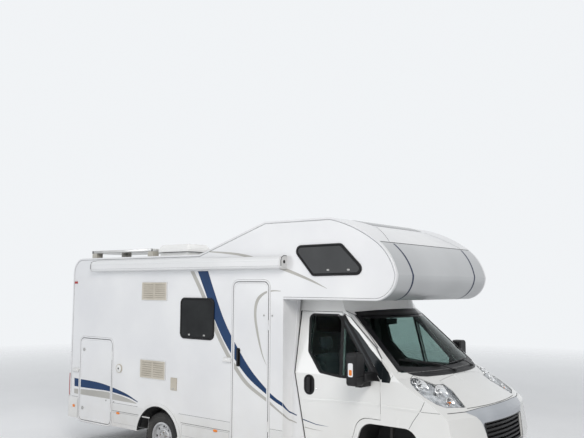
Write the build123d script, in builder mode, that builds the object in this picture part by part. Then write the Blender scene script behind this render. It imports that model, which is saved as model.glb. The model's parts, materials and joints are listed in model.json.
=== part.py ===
"""A motorhome with an alcove body on a van's cab: each panel, wheel, door and fitting is a solid of its own.

Millimetres. X runs forward, Y to the left and Z up. The origin is on the ground, under the middle of
the vehicle. Distances "ahead" and "behind" are measured from the front axle.
"""

import os
from math import cos, radians, sin

from build123d import *

# Main sizes
WHEELBASE = 3450
FRONT_OVERHANG = 1050
REAR_OVERHANG = 2037
REAR_BUMPER_DEPTH = 95
BODY_WIDTH = 2300
WALL = 30
SEAT_GAP = 0.3
SHUT_GAP = 6

# Heights of the living body
ROOF_Z = 2811
WALL_FOOT_Z = 700
SKIRT_FOOT_Z = 380
FLOOR_THICKNESS = 40
REAR_CORNER_R = 225

# Alcove above the cab
ALCOVE_TOP_Z = 3190
ALCOVE_UNDER_Z = 2245
SLOPE_FOOT_BEHIND = 2699
SLOPE_HEAD_BEHIND = 1551
CREST_BEHIND = 568
BROW_BEHIND = 110
BROW_Z = 3015
SEAM_AHEAD = 85
SEAM_Z = 2888
CHEEK_AHEAD = 222
CHEEK_Z = 2733
NOSE_AHEAD = 305
NOSE_Z = 2528
JAW_AHEAD = 222
JAW_Z = 2333
CHIN_AHEAD = 48
WALL_FRONT_BEHIND = 1250

# Cab: a nose turned about an upright axis, between sides that lean in above the belt
CAB_WIDTH = 2050
CAB_REAR_BEHIND = 1290
CAB_FOOT_Z = 420
BELT_Z = 1385
CAB_TOP_HALF_WIDTH = 838
CAB_ROOF_LEAN = 30
NOSE_R = 2800
NOSE_CORNER_R = 300
BUMPER_FOOT_Z = 270
BUMPER_TUCK = 35
BUMPER_TUCK_Z = 500
BUMPER_FACE_Z = 700
GRILLE_TOP_Z = 1050
GRILLE_SETBACK = 50
LIP_Z = 1130
LIP_SETBACK = 140
SCREEN_FOOT_Z = 1415
SCREEN_FOOT_SETBACK = 590
SCREEN_HEAD_Z = 2130
SCREEN_HEAD_SETBACK = 1358
CAB_SHELL = 35
SKIN = 20
GLASS = 5
GLASS_INSET = 4

# Cab doors
DOOR_THICKNESS = 52
DOOR_FRONT_AHEAD = 8
DOOR_TOP_Z = 2100
DOOR_FOOT_Z = 560
DOOR_REAR_TOP_BEHIND = 1195
DOOR_REAR_BELT_BEHIND = 1160
DOOR_REAR_FOOT_BEHIND = 985
DOOR_REAR_GAP = 20
PILLAR_LEAN = 620
DOOR_GLASS_TOP_Z = 2060
DOOR_GLASS_FOOT_Z = 1390
DOOR_GLASS_EDGE = 70
DOOR_GLASS_REAR_TOP_BEHIND = 1058
DOOR_GLASS_REAR_BEHIND = 1000
DOOR_GLASS_SILL_BEHIND = 800
DOOR_GLASS_REAR_Z = 1640
DOOR_GLASS_SILL_Z = 1420
DOOR_GLASS_FOOT_BEHIND = 520
DOOR_DIVIDER_BEHIND = 610
DOOR_DIVIDER_RUN = 90
DOOR_DIVIDER_WIDTH = 30
DOOR_GLASS_CORNER = 40
MIRROR_AHEAD = -85
MIRROR_DEPTH = 120
MIRROR_FOOT_Z = 1340
MIRROR_HEIGHT = 350
MIRROR_WIDTH = 185
MIRROR_STAND_OFF = 150
MIRROR_ARM = 45
HINGE_PIN_R = 2.7
HINGE_PIN_LENGTH = 60
CAB_HINGE_HEIGHTS = (1000, 1290)

SCREEN_HEAD_HALF = 765
SCREEN_FOOT_HALF = 905
SCREEN_GLASS_TOP_Z = 2075
SCREEN_GLASS_FOOT_Z = 1470
FOOTWELL_HALF = 560
BULKHEAD_AHEAD = 60
COWL_TRAY_Z = 1345
COWL_HALF = 785
BONNET_EDGE_AHEAD = 10
BONNET_LUG_Y = 150
LAMP_DEPTH = 60
BUMPER_SEAM_AHEAD = 358
BUMPER_SEAM_RUN = 190
BUMPER_SEAM_RISE = 300
GRILLE_HALF_TOP = 505
GRILLE_HALF_FOOT = 440
GRILLE_OPENING_TOP_Z = 965
GRILLE_OPENING_FOOT_Z = 700
INTAKE_HALF = 420
INTAKE_TOP_Z = 530
INTAKE_FOOT_Z = 360
SLAT_COUNT = 6
SLAT_SHARE = 0.45

# Front wheel arch, as an opening ahead of and behind the front axle
ARCH_TOP_Z = 912
ARCH_AHEAD = 470
ARCH_BEHIND = 395
ARCH_CORNER = 170
ARCH_LEG_Z = 420
ARCH_LEAN = 170
ARCH_FLARE = 50

# Wheels
TYRE_R = 335
TYRE_WIDTH = 215
RIM_R = 200
RIM_LIP = 8
RIM_BORE_R = 30
FIT_GAP = 0.05
FRONT_TRACK = 1810
REAR_TRACK = 1950
KINGPIN_HALF_TRACK = 765
REAR_ARCH_R = 412
REAR_ARCH_TRIM = 55

# Living body doors
ENTRANCE_REAR_BEHIND = 2060
ENTRANCE_FRONT_BEHIND = 1480
ENTRANCE_FOOT_Z = 450
ENTRANCE_TOP_Z = 2450
LOCKER_REAR_BEHIND = 5240
LOCKER_FRONT_BEHIND = 4475
LOCKER_FOOT_Z = 385
LOCKER_TOP_Z = 1600
LEAF_CORNER_R = 75
FRAME_WIDTH = 30
HINGE_STAND_OFF = 10
BARREL_R = 8
BARREL_LENGTH = 60
ENTRANCE_HINGE_HEIGHTS = (700, 1900)
LOCKER_HINGE_HEIGHTS = (600, 1350)

# Roof fittings
AWNING_REAR_BEHIND = 4912
AWNING_FRONT_BEHIND = 1201
AWNING_TOP_Z = 2760
AWNING_HEIGHT = 152
AWNING_DEPTH = 112
ROOFLIGHT_REAR_BEHIND = 3700
ROOFLIGHT_LENGTH = 640
ROOFLIGHT_WIDTH = 480
ROOFLIGHT_FROM_SIDE = 130
SOLAR_REAR_BEHIND = 5150
SOLAR_LENGTH = 1415
SOLAR_WIDTH = 670
SOLAR_FROM_SIDE = 90
SOLAR_LIFT = 80
SOLAR_THICKNESS = 35

# Chassis
RAIL_OUTER_HALF = 460
RAIL_WIDTH = 60
RAIL_DEPTH = 150
CAB_FLOOR_Z = 640
TUBE_AXLE_R = 38

# Headlamp outline in plan: distance ahead of the front axle and distance out from the middle
LAMP_OUTLINE = (
    (285, 790),
    (480, 655),
    (515, 530),
    (610, 525),
    (820, 640),
    (720, 885),
    (640, 945),
    (515, 975),
    (410, 960),
    (330, 925),
    (290, 860),
)

# Inside the cab
DASH_DEPTH = 330
DASH_FOOT_Z = 930
DASH_TOP_Z = 1330
SEAT_WIDTH = 500
SEAT_FROM_SIDE = 585
SEAT_REAR_BEHIND = 1180
SEAT_LENGTH = 560
SEAT_TOP_Z = 1010
SEAT_CUSHION = 150
BACK_TOP_Z = 1600
BACK_THICKNESS = 130
BACK_RAKE = 90
HEADREST_HEIGHT = 190
HEADREST_HALF = 130
SEAT_PLINTH_HALF = 200
STEERING_BEHIND = 470
STEERING_Z = 1240
STEERING_R = 200
STEERING_RIM_R = 16
STEERING_TILT = 62

# Tyres and rims
TYRE_BEAD_HALF = 80
TYRE_TREAD_HALF = 88
TYRE_SHOULDER_Z = 45
RIM_WELL = 14
DISC_OFFSET = 42
DISC_THICKNESS = 12
DISC_HOLES = 8
DISC_HOLE_R = 17
DISC_HOLE_CIRCLE = 138
HUB_R = 62
HUB_INNER = -40
HUB_CAP_R = 38
HUB_CAP_LENGTH = 26
SPINDLE_END = 50

# Running gear
KNUCKLE_HALF = 30
KNUCKLE_REACH = 100
ARM_THICKNESS = 28
ARM_HALF = 40
STRUT_R = 24
ARM_INNER_Y = 380
BRAKE_R = 130
BRAKE_THICKNESS = 22
SUBFRAME_FOOT_Z = 250
SUBFRAME_TOP_Z = 330
SUBFRAME_HALF = 130
SPRING_SPAN = 650
SPRING_WIDTH = 60
SPRING_THICKNESS = 32
SPRING_EYE_Z = 500

# Frame, engine, tanks and exhaust
RAIL_REAR_CLEARANCE = 120
RAIL_STEP_AHEAD = 100
RAIL_NOSE_AHEAD = 880
CROSS_WIDTH = 80
CROSS_DEPTH = 90
CROSS_STATIONS = (700, 1250, 2450, 3250, 4000)
TOW_HOLE_R = 6.5
TOW_SPACING_Y = 160
TOW_SPACING_Z = 50
ENGINE_REAR_AHEAD = 130
ENGINE_FRONT_AHEAD = 620
ENGINE_HALF = 360
ENGINE_FOOT_Z = 380
ENGINE_TOP_Z = 1050
RADIATOR_AHEAD = 760
RADIATOR_THICKNESS = 50
TANK_HALF = 370
TANK_DEPTH = 230
JACK_PAD_BEHIND = 2166
JACK_PAD_LENGTH = 120
JACK_PAD_HEIGHT = 12
JOINT_PLATE = 10
EXHAUST_R = 27
EXHAUST_Y = -180
EXHAUST_Z = 400
SILENCER_R = 80
SILENCER_LENGTH = 520

# Rooflight, awning and solar panel details
ROOFLIGHT_FRAME = 40
ROOFLIGHT_BASE_HEIGHT = 55
LID_LIFT = 8
LID_SKIRT = 30
LID_CROWN = 75
LID_SHEET = 6
LID_TAPER = 38
LID_HINGE_REACH = 8
LID_ARM_WIDTH = 30
LID_ARM_STATIONS = (120, 330)
AWNING_NOSE_R = 55
AWNING_KEEL_R = 25
BRACKET = 110

# Windows, door frames and vents of the living body
REAR_WINDOW_HALF = 450
REAR_WINDOW_FOOT_Z = 1750
REAR_WINDOW_TOP_Z = 2200
WINDOW_CORNER_R = 60
WINDOW_LAP = 15
WINDOW_STAND_OUT = 10
ENTRANCE_LEG_FOOT_Z = 440
LOCKER_LEG_FOOT_Z = 378
ALCOVE_WINDOW = ((1105, 2865), (415, 2872), (75, 2545), (805, 2533))
ALCOVE_WINDOW_CORNER_R = 55
WINDOW_FOOT_Z = 1717
WINDOW_TOP_Z = 2226
RIGHT_WINDOWS = ((3012, 2411),)
LEFT_WINDOWS = ((5050, 4450), (3250, 2750), (2450, 1550))
VENT_REAR_BEHIND = 3833
VENT_LENGTH = 520
VENT_HEIGHT = 250
VENT_FOOT_HEIGHTS = (1120, 2197)
VENT_STAND_OUT = 8
VENT_LOUVRES = 7
LOUVRE_HEIGHT = 12
LOUVRE_EDGE = 35

# Filler cap, power inlet and service flaps
FLAP_STAND_OUT = 8
FILLER_BEHIND = 4297
FILLER_Z = 1207
FILLER_R = 62
INLET_BEHIND = 3137
INLET_Z = 1085
INLET_WIDTH = 118
INLET_HEIGHT = 166
CASSETTE_BEHIND = 4250
CASSETTE_Z = 980
CASSETTE_SIZE = 380
GAS_BEHIND = 2300
GAS_Z = 1000
GAS_WIDTH = 460
GAS_HEIGHT = 520

# Wheel boxes, entry step and locker tray
WHEEL_BOX_HALF = 430
WHEEL_BOX_CLEARANCE = 29.5
WHEEL_BOX_TOP_Z = 835
WHEEL_BOX_SHEET = 15
STEP_DEPTH = 350
STEP_SHEET = 15
TRAY_DEPTH = 650
TRAY_FOOT_Z = 400

# Skirts, cab fairings and rear bumper
SKIRT_THICKNESS = 20
TRIM_STAND_OUT = 12
BUMPER_SIDE_REACH = 205
BUMPER_CORNER_R = 90
BUMPER_TOP_Z = WALL_FOOT_Z - SEAT_GAP
BUMPER_LOW_Z = 395
FAIRING_FOOT_Z = 395
FAIRING_REACH_BEHIND = 955
FAIRING_DEPTH = 45

# Fairing outline at three heights: how far behind the front axle its inner end lies, how far that end
# stands out from the cab's side, and how far its curve passes towards the wall, along and across
FAIRING_SECTIONS = (
    (FAIRING_FOOT_Z, 1185, 15, 0.31, 0.2),
    (BELT_Z, 1195, 10, 0.31, 0.2),
    (ALCOVE_UNDER_Z - SEAT_GAP, 1222, -120, 0.57, 0.43),
)

# Tail lamps
LAMP_TOWER_Z0 = 715
LAMP_TOWER_Z1 = 1047
LAMP_TOWER_FROM_SIDE = 15
LAMP_TOWER_WIDTH = 135
LAMP_TOWER_DEPTH = 45

# Places worked out from the sizes
HALF_WIDTH = BODY_WIDTH / 2
CAB_HALF = CAB_WIDTH / 2
LENGTH = WHEELBASE + FRONT_OVERHANG + REAR_OVERHANG + REAR_BUMPER_DEPTH
FRONT_AXLE_X = LENGTH / 2 - FRONT_OVERHANG
REAR_AXLE_X = FRONT_AXLE_X - WHEELBASE
REAR_X = REAR_AXLE_X - REAR_OVERHANG
NOSE_X = FRONT_AXLE_X + FRONT_OVERHANG
NOSE_AXIS_X = NOSE_X - NOSE_R
WALL_FRONT_X = FRONT_AXLE_X - WALL_FRONT_BEHIND
CAB_REAR_X = FRONT_AXLE_X - CAB_REAR_BEHIND
INNER_HALF = HALF_WIDTH - WALL
FLOOR_TOP_Z = WALL_FOOT_Z + FLOOR_THICKNESS
CHIN_X = FRONT_AXLE_X + CHIN_AHEAD
SEAM_X = FRONT_AXLE_X + SEAM_AHEAD
DOOR_FRONT_X = FRONT_AXLE_X + DOOR_FRONT_AHEAD
CAB_HINGE_X = DOOR_FRONT_X + SHUT_GAP / 2
ENTRANCE_FRONT_X = FRONT_AXLE_X - ENTRANCE_FRONT_BEHIND
ENTRANCE_REAR_X = FRONT_AXLE_X - ENTRANCE_REAR_BEHIND
LOCKER_FRONT_X = FRONT_AXLE_X - LOCKER_FRONT_BEHIND
LOCKER_REAR_X = FRONT_AXLE_X - LOCKER_REAR_BEHIND
SCREEN_FOOT_X = NOSE_X - SCREEN_FOOT_SETBACK
LIP_X = NOSE_X - LIP_SETBACK
BONNET_REAR_X = SCREEN_FOOT_X + BONNET_EDGE_AHEAD
BONNET_HINGE_X = BONNET_REAR_X - SHUT_GAP / 2
BONNET_FALL = (SCREEN_FOOT_Z - LIP_Z) / (LIP_X - SCREEN_FOOT_X)
BONNET_HINGE_Z = SCREEN_FOOT_Z - (BONNET_HINGE_X - SCREEN_FOOT_X) * BONNET_FALL
FAR = 9000

os.makedirs("parts", exist_ok=True)


def write(node, label):
    """Label a finished piece and write it to its own file."""
    node.part.label = label
    export_step(node.part, f"parts/{label}.step")


def block(x0, x1, y0, y1, z0, z1, mode=Mode.ADD):
    """A box between two corners."""
    with Locations(((x0 + x1) / 2, (y0 + y1) / 2, (z0 + z1) / 2)):
        Box(abs(x1 - x0), abs(y1 - y0), abs(z1 - z0), mode=mode)


def rod(x, y, z, radius, length, turn=(0, 0, 0), mode=Mode.ADD):
    """A cylinder centred on a point, upright unless turned."""
    with Locations(Location((x, y, z), turn)):
        Cylinder(radius, length, mode=mode)


def rounded_panel(x0, x1, z0, z1, corner, grow=0):
    """A rounded rectangle in a side view sketch, grown on every side."""
    with Locations(((x0 + x1) / 2, (z0 + z1) / 2)):
        RectangleRounded(abs(x1 - x0) + 2 * grow, abs(z1 - z0) + 2 * grow, corner + grow)


def body_face(inset):
    """Side view of the living body round the rear, roof and alcove, drawn in by an inset."""
    ahead = FRONT_AXLE_X
    shoulder = REAR_CORNER_R * (1 - cos(radians(45)))
    with BuildSketch(Plane.XZ) as side:
        with BuildLine():
            Line((REAR_X, WALL_FOOT_Z), (REAR_X, ROOF_Z - REAR_CORNER_R))
            ThreePointArc(
                (REAR_X, ROOF_Z - REAR_CORNER_R),
                (REAR_X + shoulder, ROOF_Z - shoulder),
                (REAR_X + REAR_CORNER_R, ROOF_Z),
            )
            Line((REAR_X + REAR_CORNER_R, ROOF_Z), (ahead - SLOPE_FOOT_BEHIND, ROOF_Z))
            Line((ahead - SLOPE_FOOT_BEHIND, ROOF_Z), (ahead - SLOPE_HEAD_BEHIND, ALCOVE_TOP_Z))
            Line((ahead - SLOPE_HEAD_BEHIND, ALCOVE_TOP_Z), (ahead - CREST_BEHIND, ALCOVE_TOP_Z))
            ThreePointArc((ahead - CREST_BEHIND, ALCOVE_TOP_Z), (ahead - BROW_BEHIND, BROW_Z),
                          (SEAM_X, SEAM_Z))
            ThreePointArc((SEAM_X, SEAM_Z), (ahead + CHEEK_AHEAD, CHEEK_Z), (ahead + NOSE_AHEAD, NOSE_Z))
            ThreePointArc((ahead + NOSE_AHEAD, NOSE_Z), (ahead + JAW_AHEAD, JAW_Z), (CHIN_X, ALCOVE_UNDER_Z))
            Line((CHIN_X, ALCOVE_UNDER_Z), (WALL_FRONT_X, ALCOVE_UNDER_Z))
            Line((WALL_FRONT_X, ALCOVE_UNDER_Z), (WALL_FRONT_X, WALL_FOOT_Z))
            Line((WALL_FRONT_X, WALL_FOOT_Z), (REAR_X, WALL_FOOT_Z))
        make_face()
        if inset:
            offset(amount=-inset, kind=Kind.INTERSECTION, mode=Mode.REPLACE)
    return side.sketch


def body_band(x0, x1, z0, z1):
    """The stretch of the body's skin between the side walls that lies inside a side view window."""
    extrude(body_face(0), amount=INNER_HALF, both=True)
    extrude(body_face(WALL), amount=BODY_WIDTH, both=True, mode=Mode.SUBTRACT)
    block(x0, x1, -BODY_WIDTH, BODY_WIDTH, z0, z1, mode=Mode.INTERSECT)


def cab_form(inset, foot=BUMPER_FOOT_Z, rear=CAB_REAR_X):
    """The closed form of the cab, drawn in from its skin by an inset, with its foot and rear as given."""
    foot = foot - inset
    rear = rear - inset
    roof_z = ALCOVE_UNDER_Z - SEAT_GAP
    with BuildPart() as form:
        with BuildSketch(Plane.XZ):
            with BuildLine():
                Polyline(
                    (NOSE_AXIS_X - 2 * CAB_WIDTH, foot),
                    (NOSE_X - BUMPER_TUCK, foot),
                    (NOSE_X - BUMPER_TUCK, BUMPER_TUCK_Z),
                    (NOSE_X, BUMPER_FACE_Z),
                    (NOSE_X - GRILLE_SETBACK, GRILLE_TOP_Z),
                    (LIP_X, LIP_Z),
                    (SCREEN_FOOT_X, SCREEN_FOOT_Z),
                    (NOSE_X - SCREEN_HEAD_SETBACK, SCREEN_HEAD_Z),
                    (NOSE_X - SCREEN_HEAD_SETBACK - (roof_z - SCREEN_HEAD_Z) / 2, roof_z),
                    (NOSE_AXIS_X - 2 * CAB_WIDTH, roof_z),
                    close=True,
                )
            make_face()
            offset(amount=-inset, kind=Kind.INTERSECTION, mode=Mode.REPLACE)
            with Locations((NOSE_AXIS_X + FAR / 2, 0)):
                Rectangle(FAR, 2 * FAR, mode=Mode.INTERSECT)
        revolve(axis=Axis((NOSE_AXIS_X, 0, 0), (0, 0, 1)), revolution_arc=360)
        with BuildSketch(Plane.YZ.offset(rear)):
            with BuildLine():
                Polyline(
                    (-CAB_HALF, foot),
                    (-CAB_HALF, BELT_Z),
                    (-CAB_TOP_HALF_WIDTH, SCREEN_HEAD_Z),
                    (-CAB_TOP_HALF_WIDTH + CAB_ROOF_LEAN, roof_z),
                    (CAB_TOP_HALF_WIDTH - CAB_ROOF_LEAN, roof_z),
                    (CAB_TOP_HALF_WIDTH, SCREEN_HEAD_Z),
                    (CAB_HALF, BELT_Z),
                    (CAB_HALF, foot),
                    close=True,
                )
            make_face()
            offset(amount=-inset, kind=Kind.INTERSECTION, mode=Mode.REPLACE)
        extrude(amount=FAR, mode=Mode.INTERSECT)
        with BuildSketch(Plane.XY):
            with Locations(((NOSE_X + rear) / 2, 0)):
                Rectangle(NOSE_X - rear, CAB_WIDTH)
            offset(amount=-inset, kind=Kind.INTERSECTION, mode=Mode.REPLACE)
            front_corners = vertices().group_by(Axis.X)[-1]
            fillet(front_corners, radius=NOSE_CORNER_R - inset)
        extrude(amount=FAR, mode=Mode.INTERSECT)
    return form.part


def side_prism(points, y0, y1, mode=Mode.ADD):
    """A prism with a side view outline, between two widths."""
    with BuildSketch(Plane.XZ.offset(-y1)) as outline:
        with BuildLine():
            Polyline(*points, close=True)
        make_face()
    extrude(outline.sketch, amount=y1 - y0, mode=mode)


def front_prism(half_points, x0, x1, mode=Mode.ADD):
    """A prism with a front view outline that is the same on both sides, between two stations."""
    mirrored = [(-y, z) for y, z in reversed(half_points)]
    with BuildSketch(Plane.YZ.offset(x0)) as outline:
        with BuildLine():
            Polyline(*half_points, *mirrored, close=True)
        make_face()
    extrude(outline.sketch, amount=x1 - x0, mode=mode)


def arch_opening(grow, mode=Mode.SUBTRACT):
    """The front wheel arches as one opening right across, grown on every side."""
    rear = FRONT_AXLE_X - ARCH_BEHIND - grow
    front = FRONT_AXLE_X + ARCH_AHEAD + grow
    top = ARCH_TOP_Z + grow
    with BuildSketch(Plane.XZ.offset(-CAB_WIDTH)) as outline:
        with BuildLine():
            Polyline((rear, 0), (rear, ARCH_LEG_Z), (rear + ARCH_LEAN, top), (front, top), (front, 0),
                     close=True)
        make_face()
        upper_corners = outline.vertices().group_by(Axis.Y)[-1]
        fillet(upper_corners, radius=ARCH_CORNER)
    extrude(outline.sketch, amount=2 * CAB_WIDTH, mode=mode)


def pillar_line(z):
    """How far ahead the sloping front edge of the cab door lies at a height above the belt."""
    share = (z - BELT_Z) / (DOOR_TOP_Z - BELT_Z)
    return DOOR_FRONT_X - share * PILLAR_LEAN


def door_points(grow, rear_grow):
    """Side view outline of a cab door, grown on every side and by its own amount at the rear."""
    behind = FRONT_AXLE_X - rear_grow
    top = DOOR_TOP_Z + grow
    foot = DOOR_FOOT_Z - grow
    return (
        (DOOR_FRONT_X + grow, foot),
        (DOOR_FRONT_X + grow, BELT_Z),
        (pillar_line(DOOR_TOP_Z) + grow, top),
        (behind - DOOR_REAR_TOP_BEHIND, top),
        (behind - DOOR_REAR_BELT_BEHIND, BELT_Z),
        (behind - DOOR_REAR_FOOT_BEHIND, foot),
    )


def lamp_plan(side, grow):
    """Plan outline of the headlamp on one side, grown all round."""
    with BuildSketch() as outline:
        with BuildLine():
            Polyline(*[(FRONT_AXLE_X + ahead, side * out) for ahead, out in LAMP_OUTLINE], close=True)
        make_face()
        if grow:
            offset(amount=grow, kind=Kind.INTERSECTION, mode=Mode.REPLACE)
    return outline.sketch


def lamp_columns(grow, mode=Mode.ADD):
    """The columns over both headlamps, grown towards their neighbours."""
    for side, name in LEFT_AND_RIGHT:
        plan = lamp_plan(side, grow).moved(Location((0, 0, LIP_Z - CAB_SHELL)))
        extrude(plan, amount=SCREEN_FOOT_Z - LIP_Z + 5 * CAB_SHELL, mode=mode)


NOSE_JOINT_X = CAB_HINGE_X + SHUT_GAP / 2
BULKHEAD_X = FRONT_AXLE_X + BULKHEAD_AHEAD
WHEEL_WALL_X = FRONT_AXLE_X - ARCH_BEHIND - ARCH_FLARE
CAB_FLOOR_HALF = CAB_HALF - DOOR_THICKNESS - 2 * SHUT_GAP
COWL_FRONT_X = BONNET_REAR_X - SHUT_GAP
WHEEL_ROOF_Z = ARCH_TOP_Z + ARCH_FLARE
LEFT_AND_RIGHT = ((1, "left"), (-1, "right"))
BODY_DOORS = (
    ("entrance_door", ENTRANCE_REAR_X, ENTRANCE_FRONT_X, ENTRANCE_FOOT_Z, ENTRANCE_TOP_Z,
     ENTRANCE_HINGE_HEIGHTS),
    ("locker_door", LOCKER_REAR_X, LOCKER_FRONT_X, LOCKER_FOOT_Z, LOCKER_TOP_Z, LOCKER_HINGE_HEIGHTS),
)


FULL_FORM = cab_form(0)
SKIN_HOLLOW = cab_form(SKIN, BUMPER_FOOT_Z - WHEELBASE, CAB_REAR_X - CAB_WIDTH)
SHELL_HOLLOW = cab_form(CAB_SHELL, BUMPER_FOOT_Z - WHEELBASE, CAB_REAR_X - CAB_WIDTH)
DOOR_HOLLOW = cab_form(DOOR_THICKNESS, BUMPER_FOOT_Z - WHEELBASE, CAB_REAR_X - CAB_WIDTH)
GLASS_OUTER = cab_form(GLASS_INSET)
GLASS_HOLLOW = cab_form(GLASS_INSET + GLASS, BUMPER_FOOT_Z - WHEELBASE, CAB_REAR_X - CAB_WIDTH)
LAMP_HOLLOW = cab_form(LAMP_DEPTH)
BEHIND_SKIN = cab_form(SKIN + SEAT_GAP)


# Cab shell: roof, pillars, sills, floor, bulkhead and wheel houses

with BuildPart() as cab_frame:
    # Pieces behind the nose panels, trimmed to stay inside them
    block(BULKHEAD_X, BULKHEAD_X + SKIN, -CAB_WIDTH, CAB_WIDTH, WHEEL_ROOF_Z, COWL_TRAY_Z + SKIN)
    block(BULKHEAD_X, BULKHEAD_X + SKIN, -FOOTWELL_HALF, FOOTWELL_HALF, CAB_FLOOR_Z - CAB_SHELL, COWL_TRAY_Z)
    block(BULKHEAD_X, COWL_FRONT_X, -CAB_WIDTH, CAB_WIDTH, COWL_TRAY_Z, COWL_TRAY_Z + SKIN)
    block(COWL_FRONT_X - 2 * CAB_SHELL, COWL_FRONT_X - CAB_SHELL, -COWL_HALF / 2, COWL_HALF / 2,
          COWL_TRAY_Z, ROOF_Z)
    block(WHEEL_WALL_X - CAB_SHELL, BULKHEAD_X + SKIN, -CAB_FLOOR_HALF, CAB_FLOOR_HALF, WHEEL_ROOF_Z,
          WHEEL_ROOF_Z + SKIN)
    add(BEHIND_SKIN, mode=Mode.INTERSECT)
    lamp_columns(SEAT_GAP, Mode.SUBTRACT)
    block(-FAR, FAR, -FAR, FAR, 0, SCREEN_FOOT_Z + CAB_SHELL, mode=Mode.INTERSECT)

with BuildPart() as cab_shell:
    add(FULL_FORM)
    add(SHELL_HOLLOW, mode=Mode.SUBTRACT)
    block(NOSE_JOINT_X, FAR, -FAR, FAR, 0, SCREEN_FOOT_Z, mode=Mode.SUBTRACT)
    block(-FAR, FAR, -FAR, FAR, 0, CAB_FOOT_Z, mode=Mode.SUBTRACT)
    side_prism(door_points(SHUT_GAP, DOOR_REAR_GAP), -FAR, FAR, mode=Mode.SUBTRACT)
    arch_opening(ARCH_FLARE + SEAT_GAP)
    front_prism(
        ((SCREEN_HEAD_HALF, SCREEN_GLASS_TOP_Z), (SCREEN_FOOT_HALF, SCREEN_GLASS_FOOT_Z)),
        DOOR_FRONT_X - PILLAR_LEAN,
        NOSE_X,
        mode=Mode.SUBTRACT,
    )
    add(cab_frame.part)
    block(CAB_REAR_X, WHEEL_WALL_X, -CAB_FLOOR_HALF, CAB_FLOOR_HALF, CAB_FLOOR_Z - CAB_SHELL, CAB_FLOOR_Z)
    block(WHEEL_WALL_X - SKIN, WHEEL_WALL_X, -CAB_FLOOR_HALF, CAB_FLOOR_HALF, CAB_FLOOR_Z, WHEEL_ROOF_Z)
    block(WHEEL_WALL_X - SKIN, WHEEL_WALL_X, -FOOTWELL_HALF + SKIN, FOOTWELL_HALF - SKIN, CAB_FLOOR_Z,
          WHEEL_ROOF_Z + SKIN,
          mode=Mode.SUBTRACT)
    block(WHEEL_WALL_X, BULKHEAD_X, -FOOTWELL_HALF, FOOTWELL_HALF, CAB_FLOOR_Z - CAB_SHELL, CAB_FLOOR_Z)
    block(WHEEL_WALL_X - CAB_SHELL, BULKHEAD_X, -FOOTWELL_HALF + SKIN, FOOTWELL_HALF - SKIN, CAB_FLOOR_Z,
          WHEEL_ROOF_Z + SKIN, mode=Mode.SUBTRACT)
    for side, name in LEFT_AND_RIGHT:
        lug_y = side * BONNET_LUG_Y
        rod(BONNET_HINGE_X, lug_y, BONNET_HINGE_Z, HINGE_PIN_R, HINGE_PIN_LENGTH, (90, 0, 0))
        block(BONNET_HINGE_X - HINGE_PIN_R, BONNET_HINGE_X + HINGE_PIN_R, lug_y - HINGE_PIN_LENGTH / 2,
              lug_y + HINGE_PIN_LENGTH / 2, COWL_TRAY_Z, BONNET_HINGE_Z)
        block(COWL_FRONT_X - CAB_SHELL, BONNET_HINGE_X + HINGE_PIN_R, lug_y - HINGE_PIN_LENGTH / 2,
              lug_y + HINGE_PIN_LENGTH / 2, COWL_TRAY_Z, COWL_TRAY_Z + SKIN)
        well_out = side * FOOTWELL_HALF
        block(WHEEL_WALL_X - SKIN, BULKHEAD_X, well_out, well_out - side * SKIN, CAB_FLOOR_Z - CAB_SHELL,
              WHEEL_ROOF_Z)
        floor_edge = side * CAB_FLOOR_HALF
        sill_in = side * (CAB_HALF - CAB_SHELL)
        block(CAB_REAR_X, WHEEL_WALL_X, floor_edge, floor_edge - side * SKIN, CAB_FOOT_Z, CAB_FLOOR_Z)
        block(CAB_REAR_X, WHEEL_WALL_X, floor_edge, sill_in, CAB_FOOT_Z, CAB_FOOT_Z + SKIN)
        for height in CAB_HINGE_HEIGHTS:
            hinge_y = side * CAB_HALF
            rod(CAB_HINGE_X, hinge_y, height, HINGE_PIN_R, HINGE_PIN_LENGTH)
            block(CAB_HINGE_X - HINGE_PIN_R, CAB_HINGE_X + HINGE_PIN_R, hinge_y,
                  side * (CAB_HALF - 2 * CAB_SHELL),
                  height - HINGE_PIN_LENGTH / 2, height + HINGE_PIN_LENGTH / 2)
            block(CAB_HINGE_X, BULKHEAD_X, side * (CAB_HALF - SKIN - SHUT_GAP),
                  side * (CAB_HALF - 2 * CAB_SHELL),
                  height - HINGE_PIN_LENGTH / 2, height + HINGE_PIN_LENGTH / 2)
write(cab_shell, "cab_shell")


# Nose panels: bonnet, wings, cowl panel, bumper, grille and headlamps

lamp_tip_out = LAMP_OUTLINE[4][1] - SHUT_GAP
ear_front_x = FRONT_AXLE_X + LAMP_OUTLINE[2][0]
ear_in = LAMP_OUTLINE[3][1]
with BuildPart() as bonnet:
    add(FULL_FORM)
    add(SKIN_HOLLOW, mode=Mode.SUBTRACT)
    block(BONNET_REAR_X, NOSE_X, -COWL_HALF, COWL_HALF, LIP_Z, SCREEN_FOOT_Z, mode=Mode.INTERSECT)
    lamp_columns(SHUT_GAP, Mode.SUBTRACT)
    for side, name in LEFT_AND_RIGHT:
        block(BONNET_REAR_X, NOSE_X, side * lamp_tip_out, side * FAR, LIP_Z, SCREEN_FOOT_Z,
              mode=Mode.SUBTRACT)
        block(BONNET_REAR_X, ear_front_x + SHUT_GAP, side * (ear_in - SHUT_GAP), side * FAR, LIP_Z,
              SCREEN_FOOT_Z,
              mode=Mode.SUBTRACT)
bonnet_piece = bonnet.part.solids().sort_by(SortBy.VOLUME)[-1]
with BuildPart() as bonnet_lid:
    add(bonnet_piece)
write(bonnet_lid, "bonnet")

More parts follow.
